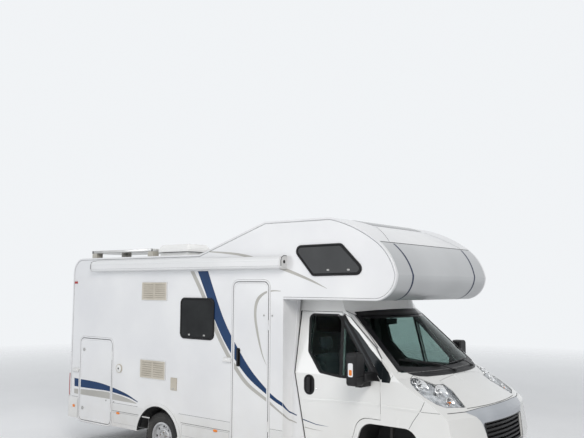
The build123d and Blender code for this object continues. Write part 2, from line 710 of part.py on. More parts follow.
with BuildPart() as cowl_blocks:
    block(BULKHEAD_X, COWL_FRONT_X, -COWL_HALF, COWL_HALF, COWL_TRAY_Z, SCREEN_FOOT_Z - SEAT_GAP)
    for side, name in LEFT_AND_RIGHT:
        block(COWL_FRONT_X, ear_front_x, side * ear_in, side * COWL_HALF, LIP_Z, SCREEN_FOOT_Z - SEAT_GAP)

with BuildPart() as cowl_panel:
    add(FULL_FORM)
    add(SKIN_HOLLOW, mode=Mode.SUBTRACT)
    add(cowl_blocks.part, mode=Mode.INTERSECT)
    lamp_columns(SEAT_GAP, Mode.SUBTRACT)
write(cowl_panel, "cowl_panel")

seam_x = FRONT_AXLE_X + BUMPER_SEAM_AHEAD
bumper_side = (
    (seam_x, 0),
    (seam_x, ARCH_TOP_Z),
    (seam_x + BUMPER_SEAM_RUN, ARCH_TOP_Z + BUMPER_SEAM_RISE),
    (seam_x + BUMPER_SEAM_RUN, SCREEN_FOOT_Z),
    (FAR, SCREEN_FOOT_Z),
    (FAR, 0),
)

with BuildPart() as behind_joint:
    block(FRONT_AXLE_X - WHEELBASE, NOSE_JOINT_X, -FAR, FAR, 0, FAR)
    arch_opening(ARCH_FLARE)

with BuildPart() as front_wings:
    add(FULL_FORM)
    add(SKIN_HOLLOW, mode=Mode.SUBTRACT)
    block(FRONT_AXLE_X - ARCH_BEHIND - ARCH_FLARE, seam_x + BUMPER_SEAM_RUN, -FAR, FAR, CAB_FOOT_Z,
          SCREEN_FOOT_Z - SEAT_GAP, mode=Mode.INTERSECT)
    add(behind_joint.part, mode=Mode.SUBTRACT)
    arch_opening(0)
    side_prism(bumper_side, -FAR, FAR, mode=Mode.SUBTRACT)
    block(BULKHEAD_X, FAR, -COWL_HALF - SEAT_GAP, COWL_HALF + SEAT_GAP, 0, FAR, mode=Mode.SUBTRACT)
    lamp_columns(SEAT_GAP, Mode.SUBTRACT)
write(front_wings, "front_wings")

with BuildPart() as front_bumper:
    add(FULL_FORM)
    add(SKIN_HOLLOW, mode=Mode.SUBTRACT)
    side_prism(bumper_side, -FAR, FAR, mode=Mode.INTERSECT)
    arch_opening(0)
    lamp_columns(SEAT_GAP, Mode.SUBTRACT)
    block(seam_x, FAR, -lamp_tip_out, lamp_tip_out, LIP_Z - SHUT_GAP, FAR, mode=Mode.SUBTRACT)
    for side, name in LEFT_AND_RIGHT:
        block(seam_x, FRONT_AXLE_X + LAMP_OUTLINE[4][0], 0, side * (LAMP_OUTLINE[5][1]), LIP_Z + CAB_SHELL,
              FAR,
              mode=Mode.SUBTRACT)
    front_prism(((GRILLE_HALF_TOP, GRILLE_OPENING_TOP_Z), (GRILLE_HALF_FOOT, GRILLE_OPENING_FOOT_Z)),
                FRONT_AXLE_X, FAR, mode=Mode.SUBTRACT)
    front_prism(((INTAKE_HALF, INTAKE_TOP_Z), (INTAKE_HALF, INTAKE_FOOT_Z)), FRONT_AXLE_X, FAR,
                mode=Mode.SUBTRACT)
write(front_bumper, "front_bumper")

with BuildPart() as lamp_blocks:
    lamp_columns(0)

with BuildPart() as headlamps:
    add(FULL_FORM)
    add(LAMP_HOLLOW, mode=Mode.SUBTRACT)
    add(lamp_blocks.part, mode=Mode.INTERSECT)
    block(BULKHEAD_X + SKIN, FAR, -FAR, FAR, 0, SCREEN_FOOT_Z - SEAT_GAP, mode=Mode.INTERSECT)
write(headlamps, "headlamps")

with BuildPart() as grille_blocks:
    front_prism(((GRILLE_HALF_TOP + SKIN, GRILLE_OPENING_TOP_Z + SKIN),
                 (GRILLE_HALF_FOOT + SKIN, GRILLE_OPENING_FOOT_Z - SKIN)), FRONT_AXLE_X, FAR)
    front_prism(((INTAKE_HALF + SKIN, INTAKE_TOP_Z + SKIN), (INTAKE_HALF + SKIN, INTAKE_FOOT_Z - SKIN)),
                FRONT_AXLE_X, FAR)

with BuildPart() as grille:
    add(BEHIND_SKIN)
    add(LAMP_HOLLOW, mode=Mode.SUBTRACT)
    add(grille_blocks.part, mode=Mode.INTERSECT)
    for foot_z, top_z, half in (
        (GRILLE_OPENING_FOOT_Z, GRILLE_OPENING_TOP_Z, GRILLE_HALF_FOOT),
        (INTAKE_FOOT_Z, INTAKE_TOP_Z, INTAKE_HALF - SKIN),
    ):
        pitch = (top_z - foot_z) / SLAT_COUNT
        for slot in range(SLAT_COUNT):
            slot_z = foot_z + (slot + SLAT_SHARE) * pitch
            block(FRONT_AXLE_X, FAR, -half, half, slot_z, slot_z + (1 - SLAT_SHARE) * pitch,
                  mode=Mode.SUBTRACT)
write(grille, "grille")

# Windscreen and cab doors

with BuildPart() as screen_block:
    front_prism(((SCREEN_HEAD_HALF - SEAT_GAP, SCREEN_GLASS_TOP_Z - SEAT_GAP),
                 (SCREEN_FOOT_HALF - SEAT_GAP, SCREEN_GLASS_FOOT_Z + SEAT_GAP)),
                DOOR_FRONT_X - PILLAR_LEAN, NOSE_X)

with BuildPart() as windscreen:
    add(GLASS_OUTER)
    add(GLASS_HOLLOW, mode=Mode.SUBTRACT)
    add(screen_block.part, mode=Mode.INTERSECT)
write(windscreen, "windscreen")


def door_window(grow):
    """Side view of the glass in a cab door, a main pane and a quarter pane, grown on every side."""
    behind = FRONT_AXLE_X
    front_edge = DOOR_FRONT_X - DOOR_GLASS_EDGE
    with BuildSketch(Plane.XZ) as panes:
        with BuildLine():
            Polyline(
                (behind - DOOR_GLASS_REAR_TOP_BEHIND, DOOR_GLASS_TOP_Z),
                (behind - DOOR_GLASS_REAR_BEHIND, DOOR_GLASS_REAR_Z),
                (behind - DOOR_GLASS_SILL_BEHIND, DOOR_GLASS_SILL_Z),
                (behind - DOOR_GLASS_FOOT_BEHIND, DOOR_GLASS_FOOT_Z),
                (front_edge, DOOR_GLASS_FOOT_Z),
                (pillar_line(DOOR_GLASS_TOP_Z) - DOOR_GLASS_EDGE, DOOR_GLASS_TOP_Z),
                close=True,
            )
        make_face()
        fillet(panes.vertices(), radius=DOOR_GLASS_CORNER)
        divider = behind - DOOR_DIVIDER_BEHIND
        with BuildLine():
            Polyline(
                (divider, DOOR_GLASS_TOP_Z + CAB_SHELL),
                (divider + DOOR_DIVIDER_WIDTH, DOOR_GLASS_TOP_Z + CAB_SHELL),
                (divider + DOOR_DIVIDER_RUN + DOOR_DIVIDER_WIDTH, DOOR_GLASS_FOOT_Z - CAB_SHELL),
                (divider + DOOR_DIVIDER_RUN, DOOR_GLASS_FOOT_Z - CAB_SHELL),
                close=True,
            )
        make_face(mode=Mode.SUBTRACT)
        if grow:
            offset(amount=grow, kind=Kind.INTERSECTION, mode=Mode.REPLACE)
    return panes.sketch


for side, name in LEFT_AND_RIGHT:
    y_low = min(0, side * FAR)
    y_high = max(0, side * FAR)

    with BuildPart() as door_block:
        side_prism(door_points(0, 0), y_low, y_high)

    with BuildPart() as cab_door:
        add(FULL_FORM)
        add(DOOR_HOLLOW, mode=Mode.SUBTRACT)
        add(door_block.part, mode=Mode.INTERSECT)
        arch_opening(ARCH_FLARE + SHUT_GAP)
        extrude(door_window(0), amount=FAR, both=True, mode=Mode.SUBTRACT)
    write(cab_door, f"cab_door_{name}")

    with BuildPart() as door_glass:
        add(GLASS_OUTER)
        add(GLASS_HOLLOW, mode=Mode.SUBTRACT)
        extrude(door_window(-SEAT_GAP), amount=FAR, both=True, mode=Mode.INTERSECT)
        block(-FAR, FAR, y_low, y_high, 0, FAR, mode=Mode.INTERSECT)
    write(door_glass, f"cab_door_glass_{name}")

    mirror_x = FRONT_AXLE_X + MIRROR_AHEAD
    mirror_in = CAB_HALF + MIRROR_STAND_OFF
    mirror_out = mirror_in + MIRROR_WIDTH
    with BuildPart() as mirror_piece:
        block(mirror_x - MIRROR_DEPTH, mirror_x, side * mirror_in, side * mirror_out,
              MIRROR_FOOT_Z, MIRROR_FOOT_Z + MIRROR_HEIGHT)
        fillet(mirror_piece.edges().filter_by(Axis.X), radius=MIRROR_ARM)
        fillet(mirror_piece.faces().sort_by(Axis.X)[-1].edges(), radius=MIRROR_ARM / 2)
        block(mirror_x - MIRROR_DEPTH + MIRROR_ARM / 2, mirror_x - MIRROR_ARM / 2, side * CAB_HALF,
              side * (mirror_in + MIRROR_ARM), MIRROR_FOOT_Z - MIRROR_ARM / 2, MIRROR_FOOT_Z + MIRROR_ARM)
        block(mirror_x - MIRROR_DEPTH, mirror_x, side * CAB_HALF, side * (CAB_HALF - SKIN), BELT_Z, FAR,
              mode=Mode.SUBTRACT)
    write(mirror_piece, f"mirror_{name}")

# Inside the cab: dashboard, steering wheel and seats


dash_rear_x = BULKHEAD_X - DASH_DEPTH
dash_half = CAB_HALF - DOOR_THICKNESS - 2 * CAB_SHELL
with BuildPart() as dashboard:
    side_prism(
        (
            (BULKHEAD_X - SEAT_GAP, WHEEL_ROOF_Z + SKIN + SEAT_GAP),
            (BULKHEAD_X - SEAT_GAP, DASH_TOP_Z + 2 * SKIN),
            (dash_rear_x + CAB_SHELL, DASH_TOP_Z),
            (dash_rear_x, DASH_TOP_Z - 3 * CAB_SHELL),
            (dash_rear_x + 3 * CAB_SHELL, WHEEL_ROOF_Z + SKIN + SEAT_GAP),
        ),
        -dash_half,
        dash_half,
    )
write(dashboard, "dashboard")

steering_x = FRONT_AXLE_X - STEERING_BEHIND
steering_y = CAB_HALF - SEAT_FROM_SIDE
column_run = steering_x - dash_rear_x
wheel_plane = Plane(origin=(steering_x, steering_y, STEERING_Z), z_dir=(-sin(radians(STEERING_TILT)), 0,
                                                                        cos(radians(STEERING_TILT))))
with BuildPart() as steering_wheel:
    with Locations(wheel_plane):
        Torus(STEERING_R, STEERING_RIM_R)
        with Locations((0, 0, -STEERING_RIM_R)):
            Cylinder(STEERING_R / 3, 3 * STEERING_RIM_R)
            Box(2 * STEERING_R - STEERING_RIM_R, 2 * STEERING_RIM_R, STEERING_RIM_R)
            Box(2 * STEERING_RIM_R, 2 * STEERING_R - STEERING_RIM_R, STEERING_RIM_R)
    with BuildSketch(wheel_plane.offset(-STEERING_RIM_R)) as column_face:
        Circle(STEERING_RIM_R * 2)
    extrude(column_face.sketch, amount=-2 * STEERING_R)
    add(dashboard.part, mode=Mode.SUBTRACT)
steering_solid = steering_wheel.part.solids().sort_by(SortBy.VOLUME)[-1]
with BuildPart() as steering_piece:
    add(steering_solid)
write(steering_piece, "steering_wheel")

seat_rear_x = FRONT_AXLE_X - SEAT_REAR_BEHIND
seat_front_x = seat_rear_x + BACK_RAKE + SEAT_LENGTH
with BuildPart() as cab_seats:
    for side, name in LEFT_AND_RIGHT:
        middle = side * (CAB_HALF - SEAT_FROM_SIDE)
        y0 = middle - SEAT_WIDTH / 2
        y1 = middle + SEAT_WIDTH / 2
        block(seat_rear_x + BACK_RAKE, seat_front_x, y0, y1, SEAT_TOP_Z - SEAT_CUSHION, SEAT_TOP_Z)
        block(seat_rear_x + 2 * BACK_RAKE, seat_front_x - BACK_RAKE, middle - SEAT_PLINTH_HALF,
              middle + SEAT_PLINTH_HALF, CAB_FLOOR_Z + SEAT_GAP, SEAT_TOP_Z - SEAT_CUSHION)
        back_foot_x = seat_rear_x + BACK_RAKE
        side_prism(
            (
                (back_foot_x, SEAT_TOP_Z - SEAT_CUSHION),
                (back_foot_x + BACK_THICKNESS, SEAT_TOP_Z - SEAT_CUSHION),
                (seat_rear_x + BACK_THICKNESS, BACK_TOP_Z),
                (seat_rear_x, BACK_TOP_Z),
            ),
            y0,
            y1,
        )
        block(seat_rear_x, seat_rear_x + BACK_THICKNESS * 2 / 3, middle - HEADREST_HALF,
              middle + HEADREST_HALF,
              BACK_TOP_Z, BACK_TOP_Z + HEADREST_HEIGHT)
write(cab_seats, "cab_seats")

# Wheels: a tyre and a rim each, the rim bored to turn on its spindle


tyre_inner_r = RIM_R - RIM_LIP
bead_top_r = RIM_R + SEAT_GAP
WHEELS = (
    ("front_left", FRONT_AXLE_X, 1, FRONT_TRACK / 2),
    ("front_right", FRONT_AXLE_X, -1, FRONT_TRACK / 2),
    ("rear_left", REAR_AXLE_X, 1, REAR_TRACK / 2),
    ("rear_right", REAR_AXLE_X, -1, REAR_TRACK / 2),
)
for name, wheel_x, side, half_track in WHEELS:
    hub_plane = Plane(origin=(wheel_x, side * half_track, TYRE_R), x_dir=(0, side, 0), z_dir=(-side, 0, 0))
    turning = Axis((wheel_x, 0, TYRE_R), (0, 1, 0))

    with BuildPart() as tyre:
        with BuildSketch(hub_plane) as section:
            with BuildLine():
                Polyline((-TYRE_BEAD_HALF, bead_top_r), (-TYRE_BEAD_HALF, tyre_inner_r),
                         (TYRE_BEAD_HALF, tyre_inner_r), (TYRE_BEAD_HALF, bead_top_r))
                ThreePointArc((TYRE_BEAD_HALF, bead_top_r), (TYRE_WIDTH / 2, (RIM_R + TYRE_R) / 2),
                              (TYRE_TREAD_HALF, TYRE_R - RIM_WELL))
                ThreePointArc((TYRE_TREAD_HALF, TYRE_R - RIM_WELL), (0, TYRE_R),
                              (-TYRE_TREAD_HALF, TYRE_R - RIM_WELL))
                ThreePointArc((-TYRE_TREAD_HALF, TYRE_R - RIM_WELL), (-TYRE_WIDTH / 2, (RIM_R + TYRE_R) / 2),
                              (-TYRE_BEAD_HALF, bead_top_r))
            make_face()
        revolve(section.sketch, axis=turning, revolution_arc=360)
    write(tyre, f"tyre_{name}")

    with BuildPart() as rim:
        with BuildSketch(hub_plane) as section:
            with BuildLine():
                Polyline(
                    (-TYRE_BEAD_HALF - RIM_LIP, RIM_R),
                    (-TYRE_BEAD_HALF - SEAT_GAP, RIM_R),
                    (-TYRE_BEAD_HALF - SEAT_GAP, tyre_inner_r - SEAT_GAP),
                    (TYRE_BEAD_HALF + SEAT_GAP, tyre_inner_r - SEAT_GAP),
                    (TYRE_BEAD_HALF + SEAT_GAP, RIM_R),
                    (TYRE_BEAD_HALF + RIM_LIP, RIM_R),
                    (TYRE_BEAD_HALF + RIM_LIP, tyre_inner_r - RIM_WELL),
                    (DISC_OFFSET + DISC_THICKNESS, tyre_inner_r - 2 * RIM_WELL),
                    (DISC_OFFSET + DISC_THICKNESS, HUB_CAP_R),
                    (DISC_OFFSET + DISC_THICKNESS + HUB_CAP_LENGTH, HUB_CAP_R),
                    (DISC_OFFSET + DISC_THICKNESS + HUB_CAP_LENGTH, 0),
                    (DISC_OFFSET + DISC_THICKNESS, 0),
                    (DISC_OFFSET + DISC_THICKNESS, RIM_BORE_R),
                    (HUB_INNER, RIM_BORE_R),
                    (HUB_INNER, HUB_R),
                    (DISC_OFFSET, HUB_R),
                    (DISC_OFFSET, tyre_inner_r - 2 * RIM_WELL),
                    (-TYRE_BEAD_HALF - RIM_LIP, tyre_inner_r - RIM_WELL),
                    close=True,
                )
            make_face()
        revolve(section.sketch, axis=turning, revolution_arc=360)
        with BuildSketch(Plane(origin=(wheel_x, 0, TYRE_R), x_dir=(1, 0, 0), z_dir=(0, side, 0))) as holes:
            with PolarLocations(DISC_HOLE_CIRCLE, DISC_HOLES):
                Circle(DISC_HOLE_R)
        extrude(holes.sketch, amount=half_track + SPINDLE_END + RIM_LIP, mode=Mode.SUBTRACT)
    write(rim, f"rim_{name}")

# Running gear: knuckles, front suspension, rear axle


knuckle_foot_z = TYRE_R - KNUCKLE_REACH
knuckle_top_z = TYRE_R + KNUCKLE_REACH
spindle_r = RIM_BORE_R - FIT_GAP
for side, name in LEFT_AND_RIGHT:
    kingpin_y = side * KINGPIN_HALF_TRACK
    hub_y = side * FRONT_TRACK / 2
    with BuildPart() as knuckle:
        rod(FRONT_AXLE_X, kingpin_y, TYRE_R, KNUCKLE_HALF, 2 * KNUCKLE_REACH)
        block(FRONT_AXLE_X - KNUCKLE_HALF, FRONT_AXLE_X + KNUCKLE_HALF, kingpin_y,
              hub_y + side * (HUB_INNER - RIM_WELL),
              TYRE_R - KNUCKLE_HALF, TYRE_R + KNUCKLE_HALF)
        spindle_length = abs(hub_y) + SPINDLE_END - KINGPIN_HALF_TRACK
        rod(FRONT_AXLE_X, kingpin_y + side * spindle_length / 2, TYRE_R, spindle_r, spindle_length,
            (90, 0, 0))
        rod(FRONT_AXLE_X, hub_y + side * (HUB_INNER - BRAKE_THICKNESS), TYRE_R, BRAKE_R, BRAKE_THICKNESS,
            (90, 0, 0))
        steer_arm_y = side * (KINGPIN_HALF_TRACK - ARM_HALF)
        block(FRONT_AXLE_X - 4 * ARM_HALF, FRONT_AXLE_X, kingpin_y - side * ARM_THICKNESS, kingpin_y,
              TYRE_R - ARM_THICKNESS / 2, TYRE_R + ARM_THICKNESS / 2)
    write(knuckle, f"knuckle_{name}")

cab_rail_top_z = CAB_FLOOR_Z - CAB_SHELL - SEAT_GAP
cab_rail_foot_z = cab_rail_top_z - RAIL_DEPTH
with BuildPart() as front_suspension:
    block(FRONT_AXLE_X - SUBFRAME_HALF, FRONT_AXLE_X + SUBFRAME_HALF, -RAIL_OUTER_HALF, RAIL_OUTER_HALF,
          SUBFRAME_FOOT_Z, SUBFRAME_TOP_Z)
    for side, name in LEFT_AND_RIGHT:
        kingpin_y = side * KINGPIN_HALF_TRACK
        block(FRONT_AXLE_X - ARM_HALF, FRONT_AXLE_X + ARM_HALF, side * ARM_INNER_Y, kingpin_y,
              knuckle_foot_z - SEAT_GAP - ARM_THICKNESS, knuckle_foot_z - SEAT_GAP)
        rod(FRONT_AXLE_X, kingpin_y, knuckle_foot_z - SEAT_GAP - ARM_THICKNESS / 2, ARM_HALF, ARM_THICKNESS)
        block(FRONT_AXLE_X - ARM_HALF, FRONT_AXLE_X + ARM_HALF, side * ARM_INNER_Y, side * RAIL_OUTER_HALF,
              knuckle_foot_z - SEAT_GAP - ARM_THICKNESS, SUBFRAME_TOP_Z)
        block(FRONT_AXLE_X - SUBFRAME_HALF, FRONT_AXLE_X + SUBFRAME_HALF,
              side * (RAIL_OUTER_HALF - RAIL_WIDTH),
              side * RAIL_OUTER_HALF, SUBFRAME_FOOT_Z, cab_rail_foot_z - SEAT_GAP)
        strut_length = WHEEL_ROOF_Z - knuckle_top_z - 2 * SEAT_GAP
        rod(FRONT_AXLE_X, kingpin_y, (WHEEL_ROOF_Z + knuckle_top_z) / 2, STRUT_R, strut_length)
write(front_suspension, "front_suspension")

body_rail_top_z = WALL_FOOT_Z - SEAT_GAP
body_rail_foot_z = body_rail_top_z - RAIL_DEPTH
rail_mid = RAIL_OUTER_HALF - RAIL_WIDTH / 2
with BuildPart() as rear_axle:
    beam_half = REAR_TRACK / 2 + HUB_INNER - RIM_WELL
    rod(REAR_AXLE_X, 0, TYRE_R, TUBE_AXLE_R, 2 * beam_half, (90, 0, 0))
    rod(REAR_AXLE_X, 0, TYRE_R, spindle_r, REAR_TRACK + 2 * SPINDLE_END, (90, 0, 0))
    for side, name in LEFT_AND_RIGHT:
        rod(REAR_AXLE_X, side * (REAR_TRACK / 2 + HUB_INNER - BRAKE_THICKNESS), TYRE_R, BRAKE_R,
            BRAKE_THICKNESS,
            (90, 0, 0))
        spring_y = side * rail_mid
        pad_z = TYRE_R + TUBE_AXLE_R
        with BuildSketch(Plane.XZ.offset(-spring_y - SPRING_WIDTH / 2)) as leaf:
            with BuildLine():
                ThreePointArc((REAR_AXLE_X - SPRING_SPAN, SPRING_EYE_Z), (REAR_AXLE_X, pad_z),
                              (REAR_AXLE_X + SPRING_SPAN, SPRING_EYE_Z))
                Line((REAR_AXLE_X + SPRING_SPAN, SPRING_EYE_Z),
                     (REAR_AXLE_X + SPRING_SPAN, SPRING_EYE_Z + SPRING_THICKNESS))
                ThreePointArc((REAR_AXLE_X + SPRING_SPAN, SPRING_EYE_Z + SPRING_THICKNESS),
                              (REAR_AXLE_X, pad_z + SPRING_THICKNESS),
                              (REAR_AXLE_X - SPRING_SPAN, SPRING_EYE_Z + SPRING_THICKNESS))
                Line((REAR_AXLE_X - SPRING_SPAN, SPRING_EYE_Z + SPRING_THICKNESS),
                     (REAR_AXLE_X - SPRING_SPAN, SPRING_EYE_Z))
            make_face()
        extrude(leaf.sketch, amount=SPRING_WIDTH)
        block(REAR_AXLE_X - ARM_HALF, REAR_AXLE_X + ARM_HALF, spring_y - SPRING_WIDTH / 2,
              spring_y + SPRING_WIDTH / 2,
              TYRE_R, pad_z + SPRING_THICKNESS)
        for end in (-1, 1):
            hanger_x = REAR_AXLE_X + end * (SPRING_SPAN - ARM_HALF)
            block(hanger_x - ARM_HALF, hanger_x + ARM_HALF, spring_y - SPRING_WIDTH / 2,
                  spring_y + SPRING_WIDTH / 2,
                  SPRING_EYE_Z + SPRING_THICKNESS / 2, body_rail_foot_z - SEAT_GAP)
write(rear_axle, "rear_axle")

# Chassis frame, engine, tanks and exhaust


rail_rear_x = REAR_X + RAIL_REAR_CLEARANCE
rail_step_x = WALL_FRONT_X - RAIL_STEP_AHEAD
rail_nose_x = FRONT_AXLE_X + RAIL_NOSE_AHEAD
# Brackets that carry the front bumper, trimmed to its inner face
with BuildPart() as bumper_brackets:
    for side, name in LEFT_AND_RIGHT:
        block(rail_nose_x + SEAT_GAP, FAR, side * (RAIL_OUTER_HALF - RAIL_WIDTH), side * RAIL_OUTER_HALF,
              INTAKE_TOP_Z + 2 * SKIN, cab_rail_top_z)
    add(BEHIND_SKIN, mode=Mode.INTERSECT)

member_half = RAIL_OUTER_HALF - RAIL_WIDTH - SEAT_GAP
with BuildPart() as chassis_frame:
    for side, name in LEFT_AND_RIGHT:
        rail_out = side * RAIL_OUTER_HALF
        rail_in = side * (RAIL_OUTER_HALF - RAIL_WIDTH)
        block(rail_rear_x, rail_step_x, rail_in, rail_out, body_rail_foot_z, body_rail_top_z)
        block(rail_step_x + SEAT_GAP, rail_nose_x, rail_in, rail_out, cab_rail_foot_z, cab_rail_top_z)
        # Joint plate between the body's rail and the cab's rail
        block(rail_step_x - RAIL_STEP_AHEAD, rail_step_x + RAIL_STEP_AHEAD, side * member_half,
              side * (member_half - JOINT_PLATE), body_rail_foot_z, cab_rail_top_z)
        jack_x = FRONT_AXLE_X - JACK_PAD_BEHIND
        block(jack_x - JACK_PAD_LENGTH / 2, jack_x + JACK_PAD_LENGTH / 2, rail_in, rail_out,
              body_rail_foot_z - SEAT_GAP - JACK_PAD_HEIGHT, body_rail_foot_z - SEAT_GAP)
    for behind in CROSS_STATIONS:
        cross_x = WALL_FRONT_X - behind
        block(cross_x - CROSS_WIDTH / 2, cross_x + CROSS_WIDTH / 2, -member_half, member_half,
              body_rail_foot_z,
              body_rail_foot_z + CROSS_DEPTH)
    block(rail_rear_x, rail_rear_x + CROSS_WIDTH / 2, -member_half, member_half, body_rail_foot_z,
          body_rail_top_z)
    block(rail_nose_x - CROSS_WIDTH, rail_nose_x, -member_half, member_half, cab_rail_foot_z,
          cab_rail_foot_z + CROSS_DEPTH)
    with BuildSketch(Plane(origin=(rail_rear_x, 0, (body_rail_foot_z + body_rail_top_z) / 2),
                           x_dir=(0, 1, 0),
                           z_dir=(-1, 0, 0))) as tow_holes:
        with GridLocations(TOW_SPACING_Y, TOW_SPACING_Z, 2, 2):
            Circle(TOW_HOLE_R)
    extrude(tow_holes.sketch, amount=-CROSS_WIDTH, mode=Mode.SUBTRACT)
    add(bumper_brackets.part)
write(chassis_frame, "chassis_frame")

with BuildPart() as engine:
    block(FRONT_AXLE_X + ENGINE_REAR_AHEAD, FRONT_AXLE_X + ENGINE_FRONT_AHEAD, -ENGINE_HALF, ENGINE_HALF,
          ENGINE_FOOT_Z, ENGINE_TOP_Z)
    radiator_x = FRONT_AXLE_X + RADIATOR_AHEAD
    block(radiator_x, radiator_x + RADIATOR_THICKNESS, -ENGINE_HALF, ENGINE_HALF,
          cab_rail_foot_z + CROSS_DEPTH + SEAT_GAP,
          GRILLE_OPENING_TOP_Z)
    engine_seat_z = (cab_rail_foot_z + cab_rail_top_z) / 2
    block(FRONT_AXLE_X + ENGINE_REAR_AHEAD, FRONT_AXLE_X + ENGINE_FRONT_AHEAD,
          -RAIL_OUTER_HALF + RAIL_WIDTH + SEAT_GAP, RAIL_OUTER_HALF - RAIL_WIDTH - SEAT_GAP,
          engine_seat_z, engine_seat_z + CROSS_DEPTH)
    block(FRONT_AXLE_X + ENGINE_FRONT_AHEAD, radiator_x, -ENGINE_HALF / 2, ENGINE_HALF / 2,
          cab_rail_foot_z + CROSS_DEPTH + CROSS_WIDTH, cab_rail_foot_z + CROSS_DEPTH + 2 * CROSS_WIDTH)
write(engine, "engine_and_radiator")

tank_rear_x = WALL_FRONT_X - CROSS_STATIONS[4] + CROSS_WIDTH
tank_front_x = WALL_FRONT_X - CROSS_STATIONS[3] - CROSS_WIDTH
with BuildPart() as tanks:
    block(tank_rear_x, tank_front_x, -TANK_HALF, TANK_HALF, body_rail_top_z - TANK_DEPTH, body_rail_top_z)
    fuel_in = RAIL_OUTER_HALF + 2 * SHUT_GAP
    fuel_front_x = WALL_FRONT_X - CROSS_STATIONS[0]
    block(fuel_front_x - TANK_HALF * 2, fuel_front_x, fuel_in, fuel_in + TANK_HALF,
          body_rail_top_z - TANK_DEPTH,
          body_rail_top_z)
write(tanks, "underfloor_tanks")

silencer_x = WALL_FRONT_X - (CROSS_STATIONS[0] + CROSS_STATIONS[1]) / 2
exhaust_end_x = REAR_AXLE_X + SPRING_SPAN
with BuildPart() as exhaust:
    pipe_front_x = FRONT_AXLE_X - SUBFRAME_HALF - ARM_HALF
    rod((pipe_front_x + exhaust_end_x) / 2, EXHAUST_Y, EXHAUST_Z, EXHAUST_R, pipe_front_x - exhaust_end_x,
        (0, 90, 0))
    rod(silencer_x, EXHAUST_Y, EXHAUST_Z, SILENCER_R, SILENCER_LENGTH, (0, 90, 0))
    for behind in CROSS_STATIONS[:2]:
        hanger_x = WALL_FRONT_X - behind
        block(hanger_x - SHUT_GAP, hanger_x + SHUT_GAP, EXHAUST_Y - SHUT_GAP, EXHAUST_Y + SHUT_GAP,
              EXHAUST_Z,
              body_rail_foot_z - SEAT_GAP)
write(exhaust, "exhaust")

# Living body: roof, rear wall, alcove front and alcove floor, between the side walls

rooflight_rear_x = FRONT_AXLE_X - ROOFLIGHT_REAR_BEHIND
rooflight_front_x = rooflight_rear_x + ROOFLIGHT_LENGTH
rooflight_y0 = -HALF_WIDTH + ROOFLIGHT_FROM_SIDE
rooflight_y1 = rooflight_y0 + ROOFLIGHT_WIDTH
base_rear_x = rooflight_rear_x + ROOFLIGHT_FRAME
base_front_x = rooflight_front_x - ROOFLIGHT_FRAME
base_y0 = rooflight_y0 + ROOFLIGHT_FRAME
base_y1 = rooflight_y1 - ROOFLIGHT_FRAME

shaft_rear_x = base_rear_x + WALL
shaft_front_x = base_front_x - WALL
with BuildPart() as roof_panel:
    body_band(-FAR, SEAM_X, ROOF_Z - REAR_CORNER_R, FAR)
    block(shaft_rear_x, shaft_front_x, base_y0 + WALL, base_y1 - WALL, ROOF_Z - 2 * WALL, ROOF_Z + WALL,
          mode=Mode.SUBTRACT)
    # Board joints at both ends of the shaft
    for joint_x in (shaft_rear_x - SEAT_GAP, shaft_front_x):
        block(joint_x, joint_x + SEAT_GAP, -BODY_WIDTH, BODY_WIDTH, ROOF_Z - 2 * WALL, ROOF_Z + WALL,
              mode=Mode.SUBTRACT)
write(roof_panel, "roof_panel")


with BuildPart() as rear_wall:
    body_band(-FAR, REAR_X + WALL, WALL_FOOT_Z, ROOF_Z - REAR_CORNER_R)
    block(REAR_X, REAR_X + WALL, -REAR_WINDOW_HALF, REAR_WINDOW_HALF, REAR_WINDOW_FOOT_Z, REAR_WINDOW_TOP_Z,
          mode=Mode.SUBTRACT)
write(rear_wall, "rear_wall")

with BuildPart() as alcove_front:
    body_band(SEAM_X, FAR, ALCOVE_UNDER_Z, ALCOVE_TOP_Z)
write(alcove_front, "alcove_front")

with BuildPart() as alcove_floor:
    body_band(WALL_FRONT_X, SEAM_X, ALCOVE_UNDER_Z, (ALCOVE_UNDER_Z + NOSE_Z) / 2)
write(alcove_floor, "alcove_floor")

# Side walls with their door ways, windows and wheel arches


window_panes = {
    -1: [(FRONT_AXLE_X - rear, FRONT_AXLE_X - front) for rear, front in RIGHT_WINDOWS],
    1: [(FRONT_AXLE_X - rear, FRONT_AXLE_X - front) for rear, front in LEFT_WINDOWS],
}


def alcove_window(grow):
    """Side view of the slanted alcove window, grown on every side."""
    with BuildSketch(Plane.XZ) as pane:
        with BuildLine():
            Polyline(*[(FRONT_AXLE_X - behind, z) for behind, z in ALCOVE_WINDOW], close=True)
        make_face()
        fillet(pane.vertices(), radius=ALCOVE_WINDOW_CORNER_R)
        if grow:
            offset(amount=grow, mode=Mode.REPLACE)
    return pane.sketch


def through_wall(profile, side, inner, outer, mode=Mode.SUBTRACT):
    """Push a side view profile through one side of the body, between two distances from the middle."""
    placed = profile.moved(Location((0, side * inner, 0)))
    extrude(placed, amount=outer - inner, dir=(0, side, 0), mode=mode)


def side_sketch(x0, x1, z0, z1, corner, grow=0):
    """A rounded side view rectangle as a sketch of its own."""
    with BuildSketch(Plane.XZ) as profile:
        rounded_panel(x0, x1, z0, z1, corner, grow)
    return profile.sketch


def side_circle(x, z, radius):
    """A circle in side view as a sketch of its own."""
    with BuildSketch(Plane.XZ) as profile:
        with Locations((x, z)):
            Circle(radius)
    return profile.sketch


def wall_hole(profile, side):
    """Cut a side view profile right through one side wall."""
    through_wall(profile, side, INNER_HALF - WALL, HALF_WIDTH + WALL)


